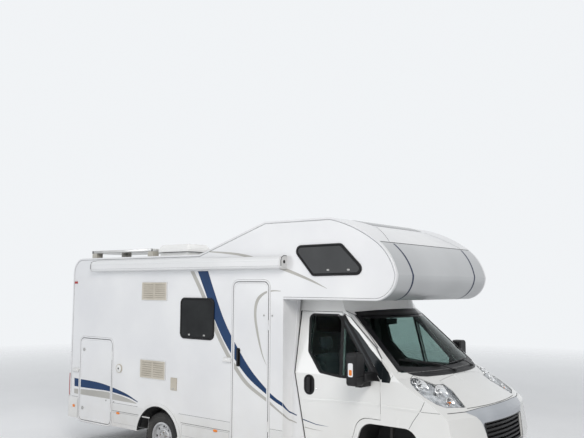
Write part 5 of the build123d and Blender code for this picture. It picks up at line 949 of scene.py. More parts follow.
def outline_share(target_x, target_z):
    """How far along the body outline its nearest point to a place lies."""
    place = Vector((target_x, target_z))
    best = min(range(len(FINE_LINE)), key=lambda i: (FINE_LINE[i] - place).length_squared)
    return best / (len(FINE_LINE) - 1)


SEAM_AT = outline_share(*SEAM_PLACE)
CHIN_AT = outline_share(*CHIN_PLACE)
CREST_AT = outline_share(rel(-0.300), 3.110)
for side, side_name in SIDES:
    alcove_band(f"navy_stripe_{side_name}",
                lambda share: side * (0.858 - 0.075 * math.sin(min(1.0, share * 1.15) * math.pi / 2)),
                lambda share: 0.017, SEAM_AT + 0.002, CHIN_AT, "stripe_navy")
    alcove_band(f"thin_line_{side_name}", lambda share: side * (0.60 + 0.30 * share), lambda share: 0.004,
                CREST_AT, SEAM_AT - 0.002, "seam_dark")
alcove_band("alcove_seam", lambda share: 0.0, lambda share: 1.118, SEAM_AT - 0.0012, SEAM_AT + 0.0012,
            "seam_dark", across=20)
alcove_band("roof_strip_dark", lambda share: 0.0, lambda share: 0.74 - 0.13 * share,
            outline_share(rel(-0.760), ALCOVE_TOP), outline_share(rel(-0.330), 3.125), "dark_window",
            lift=0.0015, across=12)


# Windows: black rubber surrounds, seals and catches

def window_dress(name, outline, side, catch_x, catch_z):
    """The surround that holds a hung window, with its seal and two catches."""
    joined(f"{name}_frame", [
        side_frame(f"{name}_surround", offset_outline(outline, -0.022), 0.0235, 0.0, 0.015, side,
                   "window_frame", bevel=0.005),
        side_frame(f"{name}_seal", offset_outline(outline, -0.029), 0.007, 0.004, 0.0128, side, "rubber",
                   bevel=0.002)])
    for number, shift in enumerate((-0.14, 0.14)):
        x0 = catch_x + shift - 0.018
        x1 = catch_x + shift + 0.018
        tag = [(x0, catch_z), (x1, catch_z), (x1, catch_z + 0.022), (x0, catch_z + 0.022)]
        side_plate(f"{name}_catch_{number}", fillet_outline(tag, 0.006), 0.0135, side, "grey_plastic",
                   stand_in=0.009)


LAP = 0.015
RIGHT_PANES = ((-3.012, -2.411),)
LEFT_PANES = ((-5.050, -4.450), (-3.250, -2.750), (-2.450, -1.550))
ALCOVE_PANE = ((-0.805, 2.533), (-0.075, 2.545), (-0.415, 2.872), (-1.105, 2.865))
for side, side_name, panes in ((-1, "right", RIGHT_PANES), (1, "left", LEFT_PANES)):
    for number, (x0, x1) in enumerate(panes):
        outline = rounded_outline(rel(x0) - LAP, rel(x1) + LAP, 1.717 - LAP, 2.226 + LAP, 0.075)
        window_dress(f"window_{side_name}_{number}", outline, side, rel((x0 + x1) / 2), 1.745)
    corners = [(rel(x), z) for x, z in ALCOVE_PANE]
    outline = offset_outline(fillet_outline(corners, 0.055, 8), LAP)
    window_dress(f"alcove_window_{side_name}", outline, side, rel(-0.45), 2.575)

# Rear window surround
rear_line = rounded_outline(-0.465, 0.465, 1.735, 2.215, 0.03)
rear_profile = ((0.0, 0.011), (0.0, 0.016), (0.022, 0.016), (0.026, 0.0), (0.026, -0.001))
mesh_piece("rear_window_frame",
           [(REAR_X - out, y, z) for grow, out in rear_profile for y, z in offset_outline(rear_line, grow)],
           turned_over(grid_faces(len(rear_profile), len(rear_line), closed_columns=True), True),
           "window_frame")

# Doors of the living body: surrounds on the wall, seals, handles, locks and catches
ENTRANCE_LEAF = rounded_outline(rel(-2.060), rel(-1.480), 0.450, 2.450, 0.075)
LOCKER_LEAF = rounded_outline(rel(-5.240), rel(-4.475), 0.385, 1.600, 0.075)
OUT_RIGHT = (0, -1, 0)
KEYHOLE = ((0.0001, 0.0), (0.007, 0.0), (0.009, -0.0015), (0.009, -0.004))


def on_right(name, profile, x, stand, z, finish, body="body", steps=20):
    """A turned fitting that stands on the right wall."""
    return turned(name, profile, (rel(x), -WALL_Y - stand, z), OUT_RIGHT, finish, body, steps=steps)


def door_pocket(name, x0, x1, z0, z1, body):
    """A recessed black pull handle in its bezel."""
    bezel = offset_outline(rounded_outline(x0, x1, z0, z1, min(x1 - x0, z1 - z0) * 0.3), -0.008)
    grip = rounded_outline((x0 + x1) / 2 - 0.013, (x0 + x1) / 2 + 0.013, z0 + 0.02, z1 - 0.02, 0.012)
    joined(f"{name}_handle", [
        side_frame(f"{name}_bezel", bezel, 0.008, 0.0005, 0.009, -1, "black_plastic", body),
        side_plate(f"{name}_cup", bezel, 0.0015, -1, "black_gloss", body, edge=0.001),
        side_plate(f"{name}_grip", grip, 0.026, -1, "black_plastic", body, edge=0.007, stand_in=0.001)], body)


def lock_box(name, x0, x1, z):
    """A white security lock box with its keyhole."""
    case = rounded_outline(rel(x0), rel(x1), z - 0.028, z + 0.028, 0.012)
    side_plate(f"{name}_case", case, 0.034, -1, "roof_fitting_white", edge=0.008)
    on_right(f"{name}_key", KEYHOLE, (x0 + x1) / 2, 0.0365, z, "chrome")


for name, leaf, body in (("entrance", ENTRANCE_LEAF, "entrance_door"),
                         ("locker", LOCKER_LEAF, "locker_door")):
    side_frame(f"{name}_surround", offset_outline(leaf, 0.007), 0.022, -0.001, 0.005, -1, "body_white")
    side_frame(f"{name}_surround_seam", offset_outline(leaf, 0.0295), 0.0025, -0.0005, 0.0012, -1,
               "seam_grey", bevel=0.0005)
    side_frame(f"{name}_leaf_edge", offset_outline(leaf, -0.024), 0.0225, -0.001, 0.004, -1, "body_white",
               body)
    side_frame(f"{name}_leaf_seal", offset_outline(leaf, -0.0015), 0.003, -0.012, 0.002, -1, "rubber", body,
               bevel=0.001)
door_pocket("entrance", rel(-1.998), rel(-1.938), 1.405, 1.630, "entrance_door")
lock_box("entrance_lock", -2.214, -2.075, 1.476)
lock_box("locker_lock", -5.400, -5.258, 1.112)
LATCH = ((0.0001, 0.0), (0.019, 0.0), (0.023, -0.002), (0.023, -0.011))
for number, height in enumerate((0.560, 1.430)):
    on_right(f"locker_latch_{number}", LATCH, -5.150, 0.0115, height, "grey_plastic", "locker_door", steps=28)

# Door holders: a knob on the wall and a catch on the leaf
KNOB = ((0.0001, 0.0), (0.009, 0.0), (0.0115, -0.002), (0.0115, -0.005), (0.008, -0.009))
for name, leaf_x, wall_x, z, body in (("entrance", -1.550, -1.418, 2.046, "entrance_door"),
                                      ("locker", -4.587, -4.405, 0.723, "locker_door")):
    on_right(f"{name}_catch", KNOB, leaf_x, 0.0085, z, "grey_plastic", body)
    on_right(f"{name}_stay", KNOB, wall_x, 0.0085, z, "grey_plastic")

# Vents: a slim bezel, louvres, and a darker plate behind them as painted shade for the gap
for number, foot in enumerate((1.120, 2.197)):
    outline = rounded_outline(rel(-3.833), rel(-3.313), foot, foot + 0.250, 0.012)
    side_frame(f"vent_bezel_{number}", offset_outline(outline, -0.004), 0.010, 0.0, 0.012, -1,
               "roof_fitting_white")
    # Painted shade: a plate in a darker beige behind the louvres stands in for the shade in the vent's gap.
    shade_plate = rounded_outline(rel(-3.820), rel(-3.326), foot + 0.012, foot + 0.238, 0.006)
    side_plate(f"vent_painted_shade_{number}", shade_plate, 0.0022, -1, "vent_shade", edge=0.0005)
    bars = []
    for row in range(17):
        height = foot + 0.019 + 0.01325 * row
        bars.append(edge_strip(f"vent_bar_{number}_{row}", [(rel(-3.822), height), (rel(-3.324), height)],
                               -1, 0.0, 0.006, 0.002, 0.0084, "vent_beige"))
    joined(f"vent_bars_{number}", bars)

# Filler cap ring, keyed centre and power inlet flap
CAP_RING = ((0.0001, 0.006), (0.028, 0.006), (0.034, 0.002), (0.050, 0.002), (0.056, -0.001),
            (0.0615, -0.0155))
CAP_KEY = ((0.0001, 0.0095), (0.010, 0.0095), (0.014, 0.008), (0.0145, 0.004))
joined("filler_cap", [
    on_right("filler_cap_ring", CAP_RING, -4.297, 0.0162, 1.207, "roof_fitting_white", steps=40),
    on_right("filler_cap_key", CAP_KEY, -4.297, 0.0162, 1.207, "black_plastic", steps=24)])
FLAP_X = rel(-3.137)
flap = rounded_outline(FLAP_X - 0.055, FLAP_X + 0.055, 1.085 - 0.078, 1.085 + 0.078, 0.014)
side_plate("inlet_flap", flap, 0.0145, -1, "vent_beige", edge=0.004, stand_in=0.007)
lip = rounded_outline(FLAP_X - 0.020, FLAP_X + 0.020, 1.085 - 0.066, 1.085 - 0.054, 0.005)
side_plate("inlet_flap_lip", lip, 0.019, -1, "grey_plastic", edge=0.002, stand_in=0.013)
for name, x, z, width, height in (("cassette", rel(-4.250), 0.980, 0.380, 0.380),
                                  ("gas", rel(-2.300), 1.000, 0.460, 0.520)):
    foot = z - height / 2
    outline = rounded_outline(x - width / 2 + 0.025, x + width / 2 - 0.025, foot + 0.025,
                              z + height / 2 - 0.025, 0.03)
    side_plate(f"{name}_flap_face", outline, 0.0115, 1, "body_white", edge=0.003, stand_in=0.007)
    lock = rounded_outline(x - 0.02, x + 0.02, foot + 0.05, foot + 0.09, 0.01)
    side_plate(f"{name}_flap_lock", lock, 0.016, 1, "grey_plastic", edge=0.003, stand_in=0.0105)

# Skirt grooves, ribs, panels and side markers
for side, side_name, stretches in ((-1, "right", ((-4.43, -3.61), (-2.99, -2.10), (-1.44, -1.252))),
                                   (1, "left", ((-5.27, -3.93), (-2.97, -1.252)))):
    for number, (behind, ahead) in enumerate(stretches):
        x0 = rel(behind)
        x1 = rel(ahead)
        end = f"{number}_{side_name}"
        edge_strip(f"skirt_groove_{end}", [(x0, 0.600), (x1, 0.600)], side, 0.0, 0.005, -0.0005, 0.0012,
                   "seam_dark")
        edge_strip(f"skirt_rib_{end}", [(x0, 0.592), (x1, 0.592)], side, 0.0, 0.012, -0.0005, 0.004,
                   "skirt_white")
        side_frame(f"skirt_panel_{end}", rounded_outline(x0 + 0.020, x1 - 0.020, 0.435, 0.575, 0.012), 0.003,
                   -0.0005, 0.0010, side, "seam_grey", bevel=0.0004)
    for number, x in enumerate((-2.346, -4.300)):
        marker = rounded_outline(rel(x) - 0.035, rel(x) + 0.035, 0.558, 0.590, 0.0155)
        side_plate(f"side_marker_{number}_{side_name}", marker, 0.011, side, "lamp_orange", edge=0.003,
                   stand_in=0.001)

# Awning: end caps with hubs and rims, a front lip and the seams of its lead rail
AWNING_REAR = rel(-4.912)
AWNING_FRONT = rel(-1.201)
HUB = ((0.0001, 0.0), (0.016, 0.0), (0.020, -0.004), (0.020, -0.010))
CAP_RIM = ((0.113, 2.640), (0.113, 2.705), (0.100, 2.742), (0.062, 2.7625), (0.010, 2.7625))


def awning_profile(grow):
    """The cassette's end outline: (out from the wall, height) points, grown a little."""
    top = 2.760 + grow
    foot = 2.608 - grow
    out = 0.112 + grow
    line = [(0.0, foot)]
    for radius, z, start, steps in ((0.025, foot + 0.025, -90, 5), (0.055, top - 0.055, 0, 8)):
        for step in range(steps + 1):
            angle = math.radians(start + 90 * step / steps)
            line.append((out - radius + radius * math.cos(angle), z + radius * math.sin(angle)))
    line.append((0.0, top))
    return line


for name, away, x_in, x_out in (("rear", -1, AWNING_REAR + 0.030, AWNING_REAR),
                                ("front", 1, AWNING_FRONT - 0.030, AWNING_FRONT + 0.004)):
    rows = ((x_in, -0.0005), (x_in, 0.0015), (x_out, 0.0015), (x_out + away * 0.001, -0.004))
    verts = [(x, -WALL_Y - out, z) for x, grow in rows for out, z in awning_profile(grow)]
    count = len(awning_profile(0.0))
    faces = grid_faces(len(rows), count)
    faces.append(tuple(count * 3 + i for i in range(count)))
    cleaned(mesh_piece(f"awning_cap_{name}", verts, faces, "awning_cap"), 30.0)
    turned(f"awning_hub_{name}", HUB, (x_out + away * 0.006, -WALL_Y - 0.056, 2.690), (away, 0, 0),
           "black_plastic", steps=24)
    tube(f"awning_rim_{name}", [(x_out - away * 0.002, -WALL_Y - out, z) for out, z in CAP_RIM], 0.0045,
         "rubber", sides=8)
for name, z0, z1, stand, finish in (("seam", 2.6375, 2.6405, 0.1123, "seam_dark"),
                                    ("lip", 2.6420, 2.6500, 0.1128, "awning_white"),
                                    ("top_seam", 2.7000, 2.7020, 0.1122, "seam_grey")):
    section = ((0.002, z0), (0.0, z0 + 0.0006), (0.0, z1 - 0.0006), (0.002, z1))
    verts = [(x, -WALL_Y - stand + sink, z) for x in (AWNING_REAR + 0.032, AWNING_FRONT - 0.032)
             for sink, z in section]
    mesh_piece(f"awning_{name}", verts, grid_faces(2, 4), finish)


# Tyres: a tread of three ribs between blocked shoulders, and ringed sidewalls

TREAD_PITCHES = 46
PITCH_STEPS = (0.0, 0.14, 0.22, 0.90)
GROOVE = 0.0075
# Across the tyre from its middle: distance out, radius, and which cross grooves reach it
TREAD_HALF = (
    (0.005, 0.3347, None),
    (0.007, 0.3347 - GROOVE, None),
    (0.015, 0.3347 - GROOVE, None),
    (0.017, 0.3346, 0.50),
    (0.043, 0.3338, 0.68),
    (0.045, 0.3338 - GROOVE, None),
    (0.054, 0.3332 - GROOVE, None),
    (0.056, 0.3330, 0.00),
    (0.083, 0.3290, -0.16),
    (0.0885, 0.3225, -0.18),
    (0.0925, 0.3130, -0.18),
    (0.0945, 0.3085, None),
    (0.0990, 0.3000, None),
    (0.1045, 0.2830, None),
    (0.1060, 0.2822, None),
    (0.1066, 0.2780, None),
    (0.1052, 0.2770, None),
    (0.1068, 0.2600, None),
    (0.1030, 0.2390, None),
    (0.0985, 0.2250, None),
    (0.0970, 0.2235, None),
    (0.0965, 0.2160, None),
    (0.0900, 0.2100, None),
    (0.0820, 0.2040, None),
    (0.0795, 0.1990, None),
)


MIRROR_SHIFT = 0.37
BLOCK_CUT = 0.006


def tyre_form(name, x, y, body, node_name):
    """A tyre with its tread cut in, which takes the plain solid's place."""
    columns = [(-out, radius, shift) for out, radius, shift in reversed(TREAD_HALF)] + list(TREAD_HALF)
    rings = TREAD_PITCHES * len(PITCH_STEPS)
    verts = []
    for ring in range(rings):
        pitch, step = divmod(ring, len(PITCH_STEPS))
        for out, radius, shift in columns:
            slide = 0.0
            r = radius
            if shift is not None:
                slide = shift + (MIRROR_SHIFT if out < 0 else 0.0)
                r -= BLOCK_CUT if step < 2 else 0.0
            angle = 2 * math.pi * (pitch + PITCH_STEPS[step] + slide) / TREAD_PITCHES
            verts.append((x + r * math.cos(angle), y + out, AXLE_Z + r * math.sin(angle)))
    obj = mesh_piece(name, verts, grid_faces(rings, len(columns), closed_rows=True), "tyre_rubber", body)
    cleaned(obj, 28.0)
    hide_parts(node_name)


def hexagon(name, centre, side, radius, depth, finish, body):
    """A wheel bolt's six-sided head with a soft top edge."""
    rows = ((radius, 0.0), (radius, depth * 0.8), (radius * 0.82, depth), (0.0001, depth))
    verts = []
    for r, along in rows:
        for k in range(6):
            angle = math.pi * k / 3
            verts.append((centre[0] + r * math.cos(angle), centre[1] + side * along,
                          centre[2] + r * math.sin(angle)))
    return cleaned(mesh_piece(name, verts, grid_faces(len(rows), 6, closed_columns=True), finish, body), 25.0)


# The wheel's face, as (radius, stand) pairs: dish, ridge round the holes and cap, and a bolt's seat
FACE = 0.054
DISH = ((0.1935, 0.0895), (0.1935, 0.0862), (0.1900, 0.0800), (0.1760, 0.0610), (0.1700, 0.0560),
        (0.1662, FACE))
RIDGE = ((0.1160, FACE), (0.1120, FACE + 0.010), (0.1000, FACE + 0.0150), (0.0860, FACE + 0.0125),
         (0.0790, FACE + 0.0040), (0.0770, FACE))
WHEEL_CAP = ((0.0001, FACE + 0.0272), (0.0200, FACE + 0.0268), (0.0300, FACE + 0.0262),
             (0.0345, FACE + 0.0235), (0.0385, FACE + 0.0180), (0.0390, FACE + 0.0030),
             (0.0440, FACE + 0.0010), (0.0445, FACE))
WASHER = ((0.0165, 0.0), (0.0165, 0.0022), (0.0120, 0.0040), (0.0001, 0.0040))
BOLT_CIRCLE = 0.060
VALVE_ANGLE = 1.1


def rim_dress(name, x, half_track, side, body):
    """The face of a pressed steel wheel: dish, ridge round the holes, bolts, cap and valve."""
    y = side * half_track
    axis = (0, side, 0)
    pieces = [turned(f"{name}_{part}", profile, (x, y, AXLE_Z), axis, finish, body, steps=steps)
              for part, profile, finish, steps in (("dish", DISH, "wheel_silver", 72),
                                                   ("ridge", RIDGE, "wheel_silver", 64),
                                                   ("cap", WHEEL_CAP, "grey_plastic", 48))]
    for k in range(5):
        angle = math.radians(90 + 72 * k)
        cx = x + BOLT_CIRCLE * math.cos(angle)
        cz = AXLE_Z + BOLT_CIRCLE * math.sin(angle)
        pieces.append(turned(f"{name}_seat_{k}", WASHER, (cx, y + side * FACE, cz), axis, "chrome", body,
                             steps=20))
        pieces.append(hexagon(f"{name}_bolt_{k}", (cx, y + side * (FACE + 0.003), cz), side, 0.0105, 0.013,
                              "exhaust_steel", body))
    stem = [(x + reach * math.cos(VALVE_ANGLE), y + side * out, AXLE_Z + reach * math.sin(VALVE_ANGLE))
            for reach, out in ((0.168, 0.056), (0.160, 0.078), (0.156, 0.092))]
    pieces.append(tube(f"{name}_valve", stem, 0.0042, "rubber", body, sides=8))
    joined(f"{name}_face", pieces, body)


WHEEL_ROWS = (
    ("front_left", FRONT_AXLE_X, 1, 0.905),
    ("front_right", FRONT_AXLE_X, -1, 0.905),
    ("rear_left", REAR_AXLE_X, 1, 0.975),
    ("rear_right", REAR_AXLE_X, -1, 0.975),
)
for wheel_name, wheel_x, side, half_track in WHEEL_ROWS:
    tyre_form(f"tyre_tread_{wheel_name}", wheel_x, side * half_track, f"wheel_{wheel_name}",
              f"tyre_{wheel_name}")
    rim_dress(f"wheel_{wheel_name}", wheel_x, half_track, side, f"wheel_{wheel_name}")


# Wheel arches: dark liners and rolled lips

def arch_line(grow, steps=8):
    """The front arch opening in side view, from its rear foot over the top to its front foot."""
    rear = rel(-0.395) - grow
    front = rel(0.470) + grow
    top = 0.912 + grow
    radius = 0.170 + grow
    shoulder = Vector((rear + 0.170, top))
    leg = Vector((rear, 0.420))
    corner_line = [leg]
    turn = (leg - shoulder).normalized()
    half = math.acos(turn.dot(Vector((1, 0)))) / 2
    reach = radius / math.tan(half)
    start = shoulder + turn * reach
    end = shoulder + Vector((reach, 0))
    centre = Vector((end.x, top - radius))
    a0 = math.atan2(start.y - centre.y, start.x - centre.x)
    if a0 < 0:
        a0 += 2 * math.pi
    for step in range(steps + 1):
        angle = a0 + (math.pi / 2 - a0) * step / steps
        corner_line.append(centre + Vector((math.cos(angle), math.sin(angle))) * radius)
    centre = Vector((front - radius, top - radius))
    for step in range(steps + 1):
        angle = math.pi / 2 * (1 - step / steps)
        corner_line.append(centre + Vector((math.cos(angle), math.sin(angle))) * radius)
    corner_line.append(Vector((front, 0.445)))
    return corner_line


def liner(name, line, y_in, y_out, side, finish):
    """A thin liner that follows an arch from its inner wall to its mouth, closed by that wall."""
    verts = [(point.x, side * y, point.y) for point in line for y in (y_in, (y_in + y_out) / 2, y_out)]
    faces = grid_faces(len(line), 3)
    middle = len(verts)
    verts.append(((line[0].x + line[-1].x) / 2, side * y_in, (line[0].y + line[-1].y) / 2))
    for i in range(len(line) - 1):
        faces.append((i * 3, middle, (i + 1) * 3))
    return mesh_piece(name, verts, faces, finish)


def arch_lip(name, line, y0, y1, side, width, finish):
    """A rolled lip along an arch, from its inner face to the panel's outer face."""
    points = split_corners([tuple(p) for p in line], 0.02)
    verts = []
    for i, point in enumerate(points):
        along = heading(points, i)
        outward = Vector((-along.y, along.x))
        for shift, y in ((0.0, y0), (0.0, y1 - 0.002), (width * 0.3, y1), (width, y1 - 0.0005)):
            place = point + outward * shift
            verts.append((place.x, side * y, place.y))
    return mesh_piece(name, verts, turned_over(grid_faces(len(points), 4), side > 0), finish, smooth=True)


REAR_ARCH = 0.408
REAR_ARCH_LINE = [Vector((REAR_AXLE_X - REAR_ARCH * math.cos(turn), AXLE_Z + REAR_ARCH * math.sin(turn)))
                  for turn in (math.radians(degrees) for degrees in range(8, 175, 6))]
for side, side_name in SIDES:
    liner(f"front_liner_{side_name}", arch_line(-0.003), 0.5745, 1.004, side, "tank_black")
    liner(f"rear_liner_{side_name}", REAR_ARCH_LINE, 0.857, 1.128, side, "tank_black")


# Trim laid over the cab's curved panels

QUARTER_X = 0.785
QUARTER_Y = 0.62


def lay_start(view, a, b, side):
    """Where a ray towards the vehicle starts, and its direction, for a place in one view."""
    if view == "side":
        return (rel(a), side * RAY_SIDE, b), (0, -side, 0)
    if view == "front":
        return (RAY_END, a, b), (-1, 0, 0)
    if view == "rear":
        return (-RAY_END, a, b), (1, 0, 0)
    if view == "quarter":
        along = Vector((QUARTER_X, side * -QUARTER_Y, 0))
        aim = Vector((-QUARTER_Y, side * -QUARTER_X, 0))
        start = along * (a + FRONT_AXLE_X * QUARTER_X) - aim * RAY_QUARTER
        return (start.x, start.y, b), aim
    return (rel(a), b, RAY_ABOVE), (0, 0, -1)


def patch(name, outline, view, node_names, lift, finish, body="body", cell=0.03, side=1):
    """A film with any outline, given in a side, front, rear or top view, laid over the solids."""
    work = bmesh.new()
    work.faces.new([work.verts.new((a, b, 0)) for a, b in outline]).normal_update()
    for axis in (0, 1):
        low = min(point[axis] for point in outline)
        high = max(point[axis] for point in outline)
        across = Vector((1 - axis, axis, 0))
        place = (math.floor(low / cell) + 1) * cell
        while place < high:
            bmesh.ops.bisect_plane(work, geom=list(work.verts) + list(work.edges) + list(work.faces),
                                   dist=1e-6, plane_co=across * place, plane_no=across)
            place += cell
    lost = []
    for vert in work.verts:
        start, aim = lay_start(view, vert.co.x, vert.co.y, side)
        hit = drop(node_names, start, aim, lift)
        if hit is None:
            lost.append(vert)
        else:
            vert.co = hit
    bmesh.ops.delete(work, geom=lost, context="VERTS")
    start, aim = lay_start(view, 0, 0, side)
    for face in list(work.faces):
        face.normal_update()
        if face.normal.dot(Vector(aim)) > 0:
            face.normal_flip()
        face.smooth = True
    mesh = bpy.data.meshes.new(name)
    work.to_mesh(mesh)
    work.free()
    return placed(name, mesh, finish, body)


def laid_row(places, view, node_names, side):
    """Where rays in one view meet the solids, each lifted by its own amount."""
    row = []
    for place, lift in places:
        start, aim = lay_start(view, place.x, place.y, side)
        row.append(drop(node_names, start, aim, lift))
    return row


def ribbon(name, line_a, line_b, view, node_names, lift, finish, body="body", side=1, steps=60, across=6):
    """A film between two lines, given in one view, laid over the solids."""
    rows = [laid_row([(a + (b - a) * (k / across), lift) for k in range(across + 1)], view, node_names, side)
            for a, b in zip(evenly(line_a, steps), evenly(line_b, steps))]
    return laid_faces(name, rows, lay_start(view, 0, 0, side)[1], finish, body, False)


def evenly(line, steps):
    """Points spread evenly along a line given in one view."""
    points = [Vector(point) for point in line]
    lengths = [0.0]
    for a, b in zip(points, points[1:]):
        lengths.append(lengths[-1] + (b - a).length)
    result = []
    part = 0
    for i in range(steps + 1):
        reach = lengths[-1] * i / steps
        while part < len(points) - 2 and lengths[part + 1] < reach:
            part += 1
        share = (reach - lengths[part]) / max(lengths[part + 1] - lengths[part], 1e-9)
        result.append(points[part] + (points[part + 1] - points[part]) * share)
    return result


WIDEST = 0.12


def laid_faces(name, rows, aim, finish, body, closed):
    """A smooth mesh through rows of points, leaving out what missed the solids or spans a step."""
    verts, faces = net(rows, lambda corners: max((p - corners[0]).length for p in corners) <= WIDEST, closed)
    aim = Vector(aim)
    outward = []
    for face in faces:
        a, b, c, d = (verts[i] for i in face)
        outward.append(face if (c - a).cross(d - b).dot(aim) < 0 else tuple(reversed(face)))
    return mesh_piece(name, verts, outward, finish, body, smooth=True)


def draped(name, guide, profile, view, node_names, finish, body="body", side=1, closed=False, spacing=0.015):
    """A strip with a raised profile that follows a line, given in one view, over the solids."""
    points = split_corners(list(guide) + ([guide[0]] if closed else []), spacing)
    if closed:
        points.pop()
    total = len(points)
    rows = []
    for i, point in enumerate(points):
        along = (points[(i + 1) % total] - points[i - 1]).normalized() if closed else heading(points, i)
        across = Vector((-along.y, along.x))
        rows.append(laid_row([(point + across * shift, lift) for shift, lift in profile], view, node_names,
                             side))
    return laid_faces(name, rows, lay_start(view, 0, 0, side)[1], finish, body, closed)


def line_profile(width, height=0.0012):
    """A thin line's cross section."""
    return ((-width / 2, 0.0004), (-width / 4, height), (width / 4, height), (width / 2, 0.0004))


DOOR_GLASS_LINE = ((-1.058, 2.060), (-1.000, 1.640), (-0.800, 1.420), (-0.520, 1.390), (-0.062, 1.390),
                   (-0.6475, 2.060))
SEAL = ((-0.0190, 0.0004), (-0.0170, 0.0040), (-0.0060, 0.0050), (-0.0005, 0.0030), (0.0100, 0.0012))
EDGE_SEAL = ((-0.024, 0.0030), (-0.021, 0.0042), (0.006, 0.0042), (0.010, 0.0020))
FAIRING_LINES = (
    ("blue", ((-1.693, 1.032), (-1.655, 0.975), (-1.617, 0.933), (-1.575, 0.912), (-1.528, 0.896)),
     ((-1.693, 0.990), (-1.655, 0.950), (-1.617, 0.915), (-1.575, 0.897), (-1.528, 0.883))),
    ("grey", ((-1.693, 0.915), (-1.655, 0.872), (-1.617, 0.840), (-1.575, 0.823), (-1.528, 0.808)),
     ((-1.693, 0.887), (-1.655, 0.851), (-1.617, 0.823), (-1.575, 0.809), (-1.528, 0.797))),
)
FRAME_REAR = ((-0.100, 1.374), (-0.058, 1.394), (-0.6475, 2.064))
FRAME_FRONT = ((0.0065, 1.374), (0.0065, 1.386), (-0.5815, 2.064))
PILLAR_REAR = ((0.0135, 1.368), (0.0135, 1.388), (-0.2585, 1.699), (-0.5595, 2.046))
PILLAR_FRONT = ((0.132, 1.368), (0.143, 1.413), (0.106, 1.475), (0.005, 1.576), (-0.164, 1.713),
                (-0.343, 1.881), (-0.480, 1.984), (-0.5590, 2.046))
SHUT_LINE = ((-0.612, 2.104), (-0.479, 2.044), (-0.290, 1.882), (-0.110, 1.727), (-0.001, 1.612),
             (0.024, 1.493), (0.032, 1.385), (0.032, 1.372))
PILLAR_LINE = ((-0.560, 2.118), (-0.476, 2.075), (-0.260, 1.881), (-0.090, 1.716))
WING_LINE = ((0.148, 1.425), (0.164, 1.450), (0.180, 1.475), (0.190, 1.496))
CREASE_DOOR = ((-1.030, 1.089), (-0.574, 1.117), (-0.130, 1.129), (-0.006, 1.126))
CREASE_WING = ((0.018, 1.125), (0.173, 1.121), (0.340, 1.119), (0.488, 1.119))
CREASE = ((-0.030, 0.0004), (-0.012, 0.0045), (0.000, 0.0058), (0.006, 0.0040), (0.010, 0.0004))
BUMPER_LINE = ((0.549, 1.223), (0.501, 1.121), (0.406, 0.993), (0.357, 0.912))
# Painted shadow under the bonnet's lip, along the side.
SIDE_LIP_SHADOW = ((0.505, 1.102), (0.600, 1.105), (0.720, 1.108))

DOOR_LINES = (
    ("blue", ((-1.158, 0.893), (-1.049, 0.858), (-0.848, 0.819), (-0.677, 0.812))),
    ("grey", ((-1.158, 0.803), (-1.048, 0.773), (-0.900, 0.760), (-0.750, 0.752))),
)
DOOR_LINE_WIDTHS = (0.013, 0.012, 0.008, 0.001)
DIVIDER_LINE = ((-0.5900, 2.057), (-0.5110, 1.398))
DIVIDER = ((-0.0230, 0.0008), (-0.0210, 0.0060), (0.0210, 0.0060), (0.0230, 0.0008))
EDGE_LINE = ((-0.030, 1.429), (-0.583, 2.066))
HANDLE_RIM = ((-0.007, 0.0004), (-0.004, 0.0050), (0.003, 0.0050), (0.007, 0.0006))
DOOR_LOCK = ((0.0001, 0.0), (0.011, 0.0), (0.013, -0.001), (0.013, -0.004))
SKIN = ("cab_shell", "front_wings", "front_bumper", "cab_fairings")

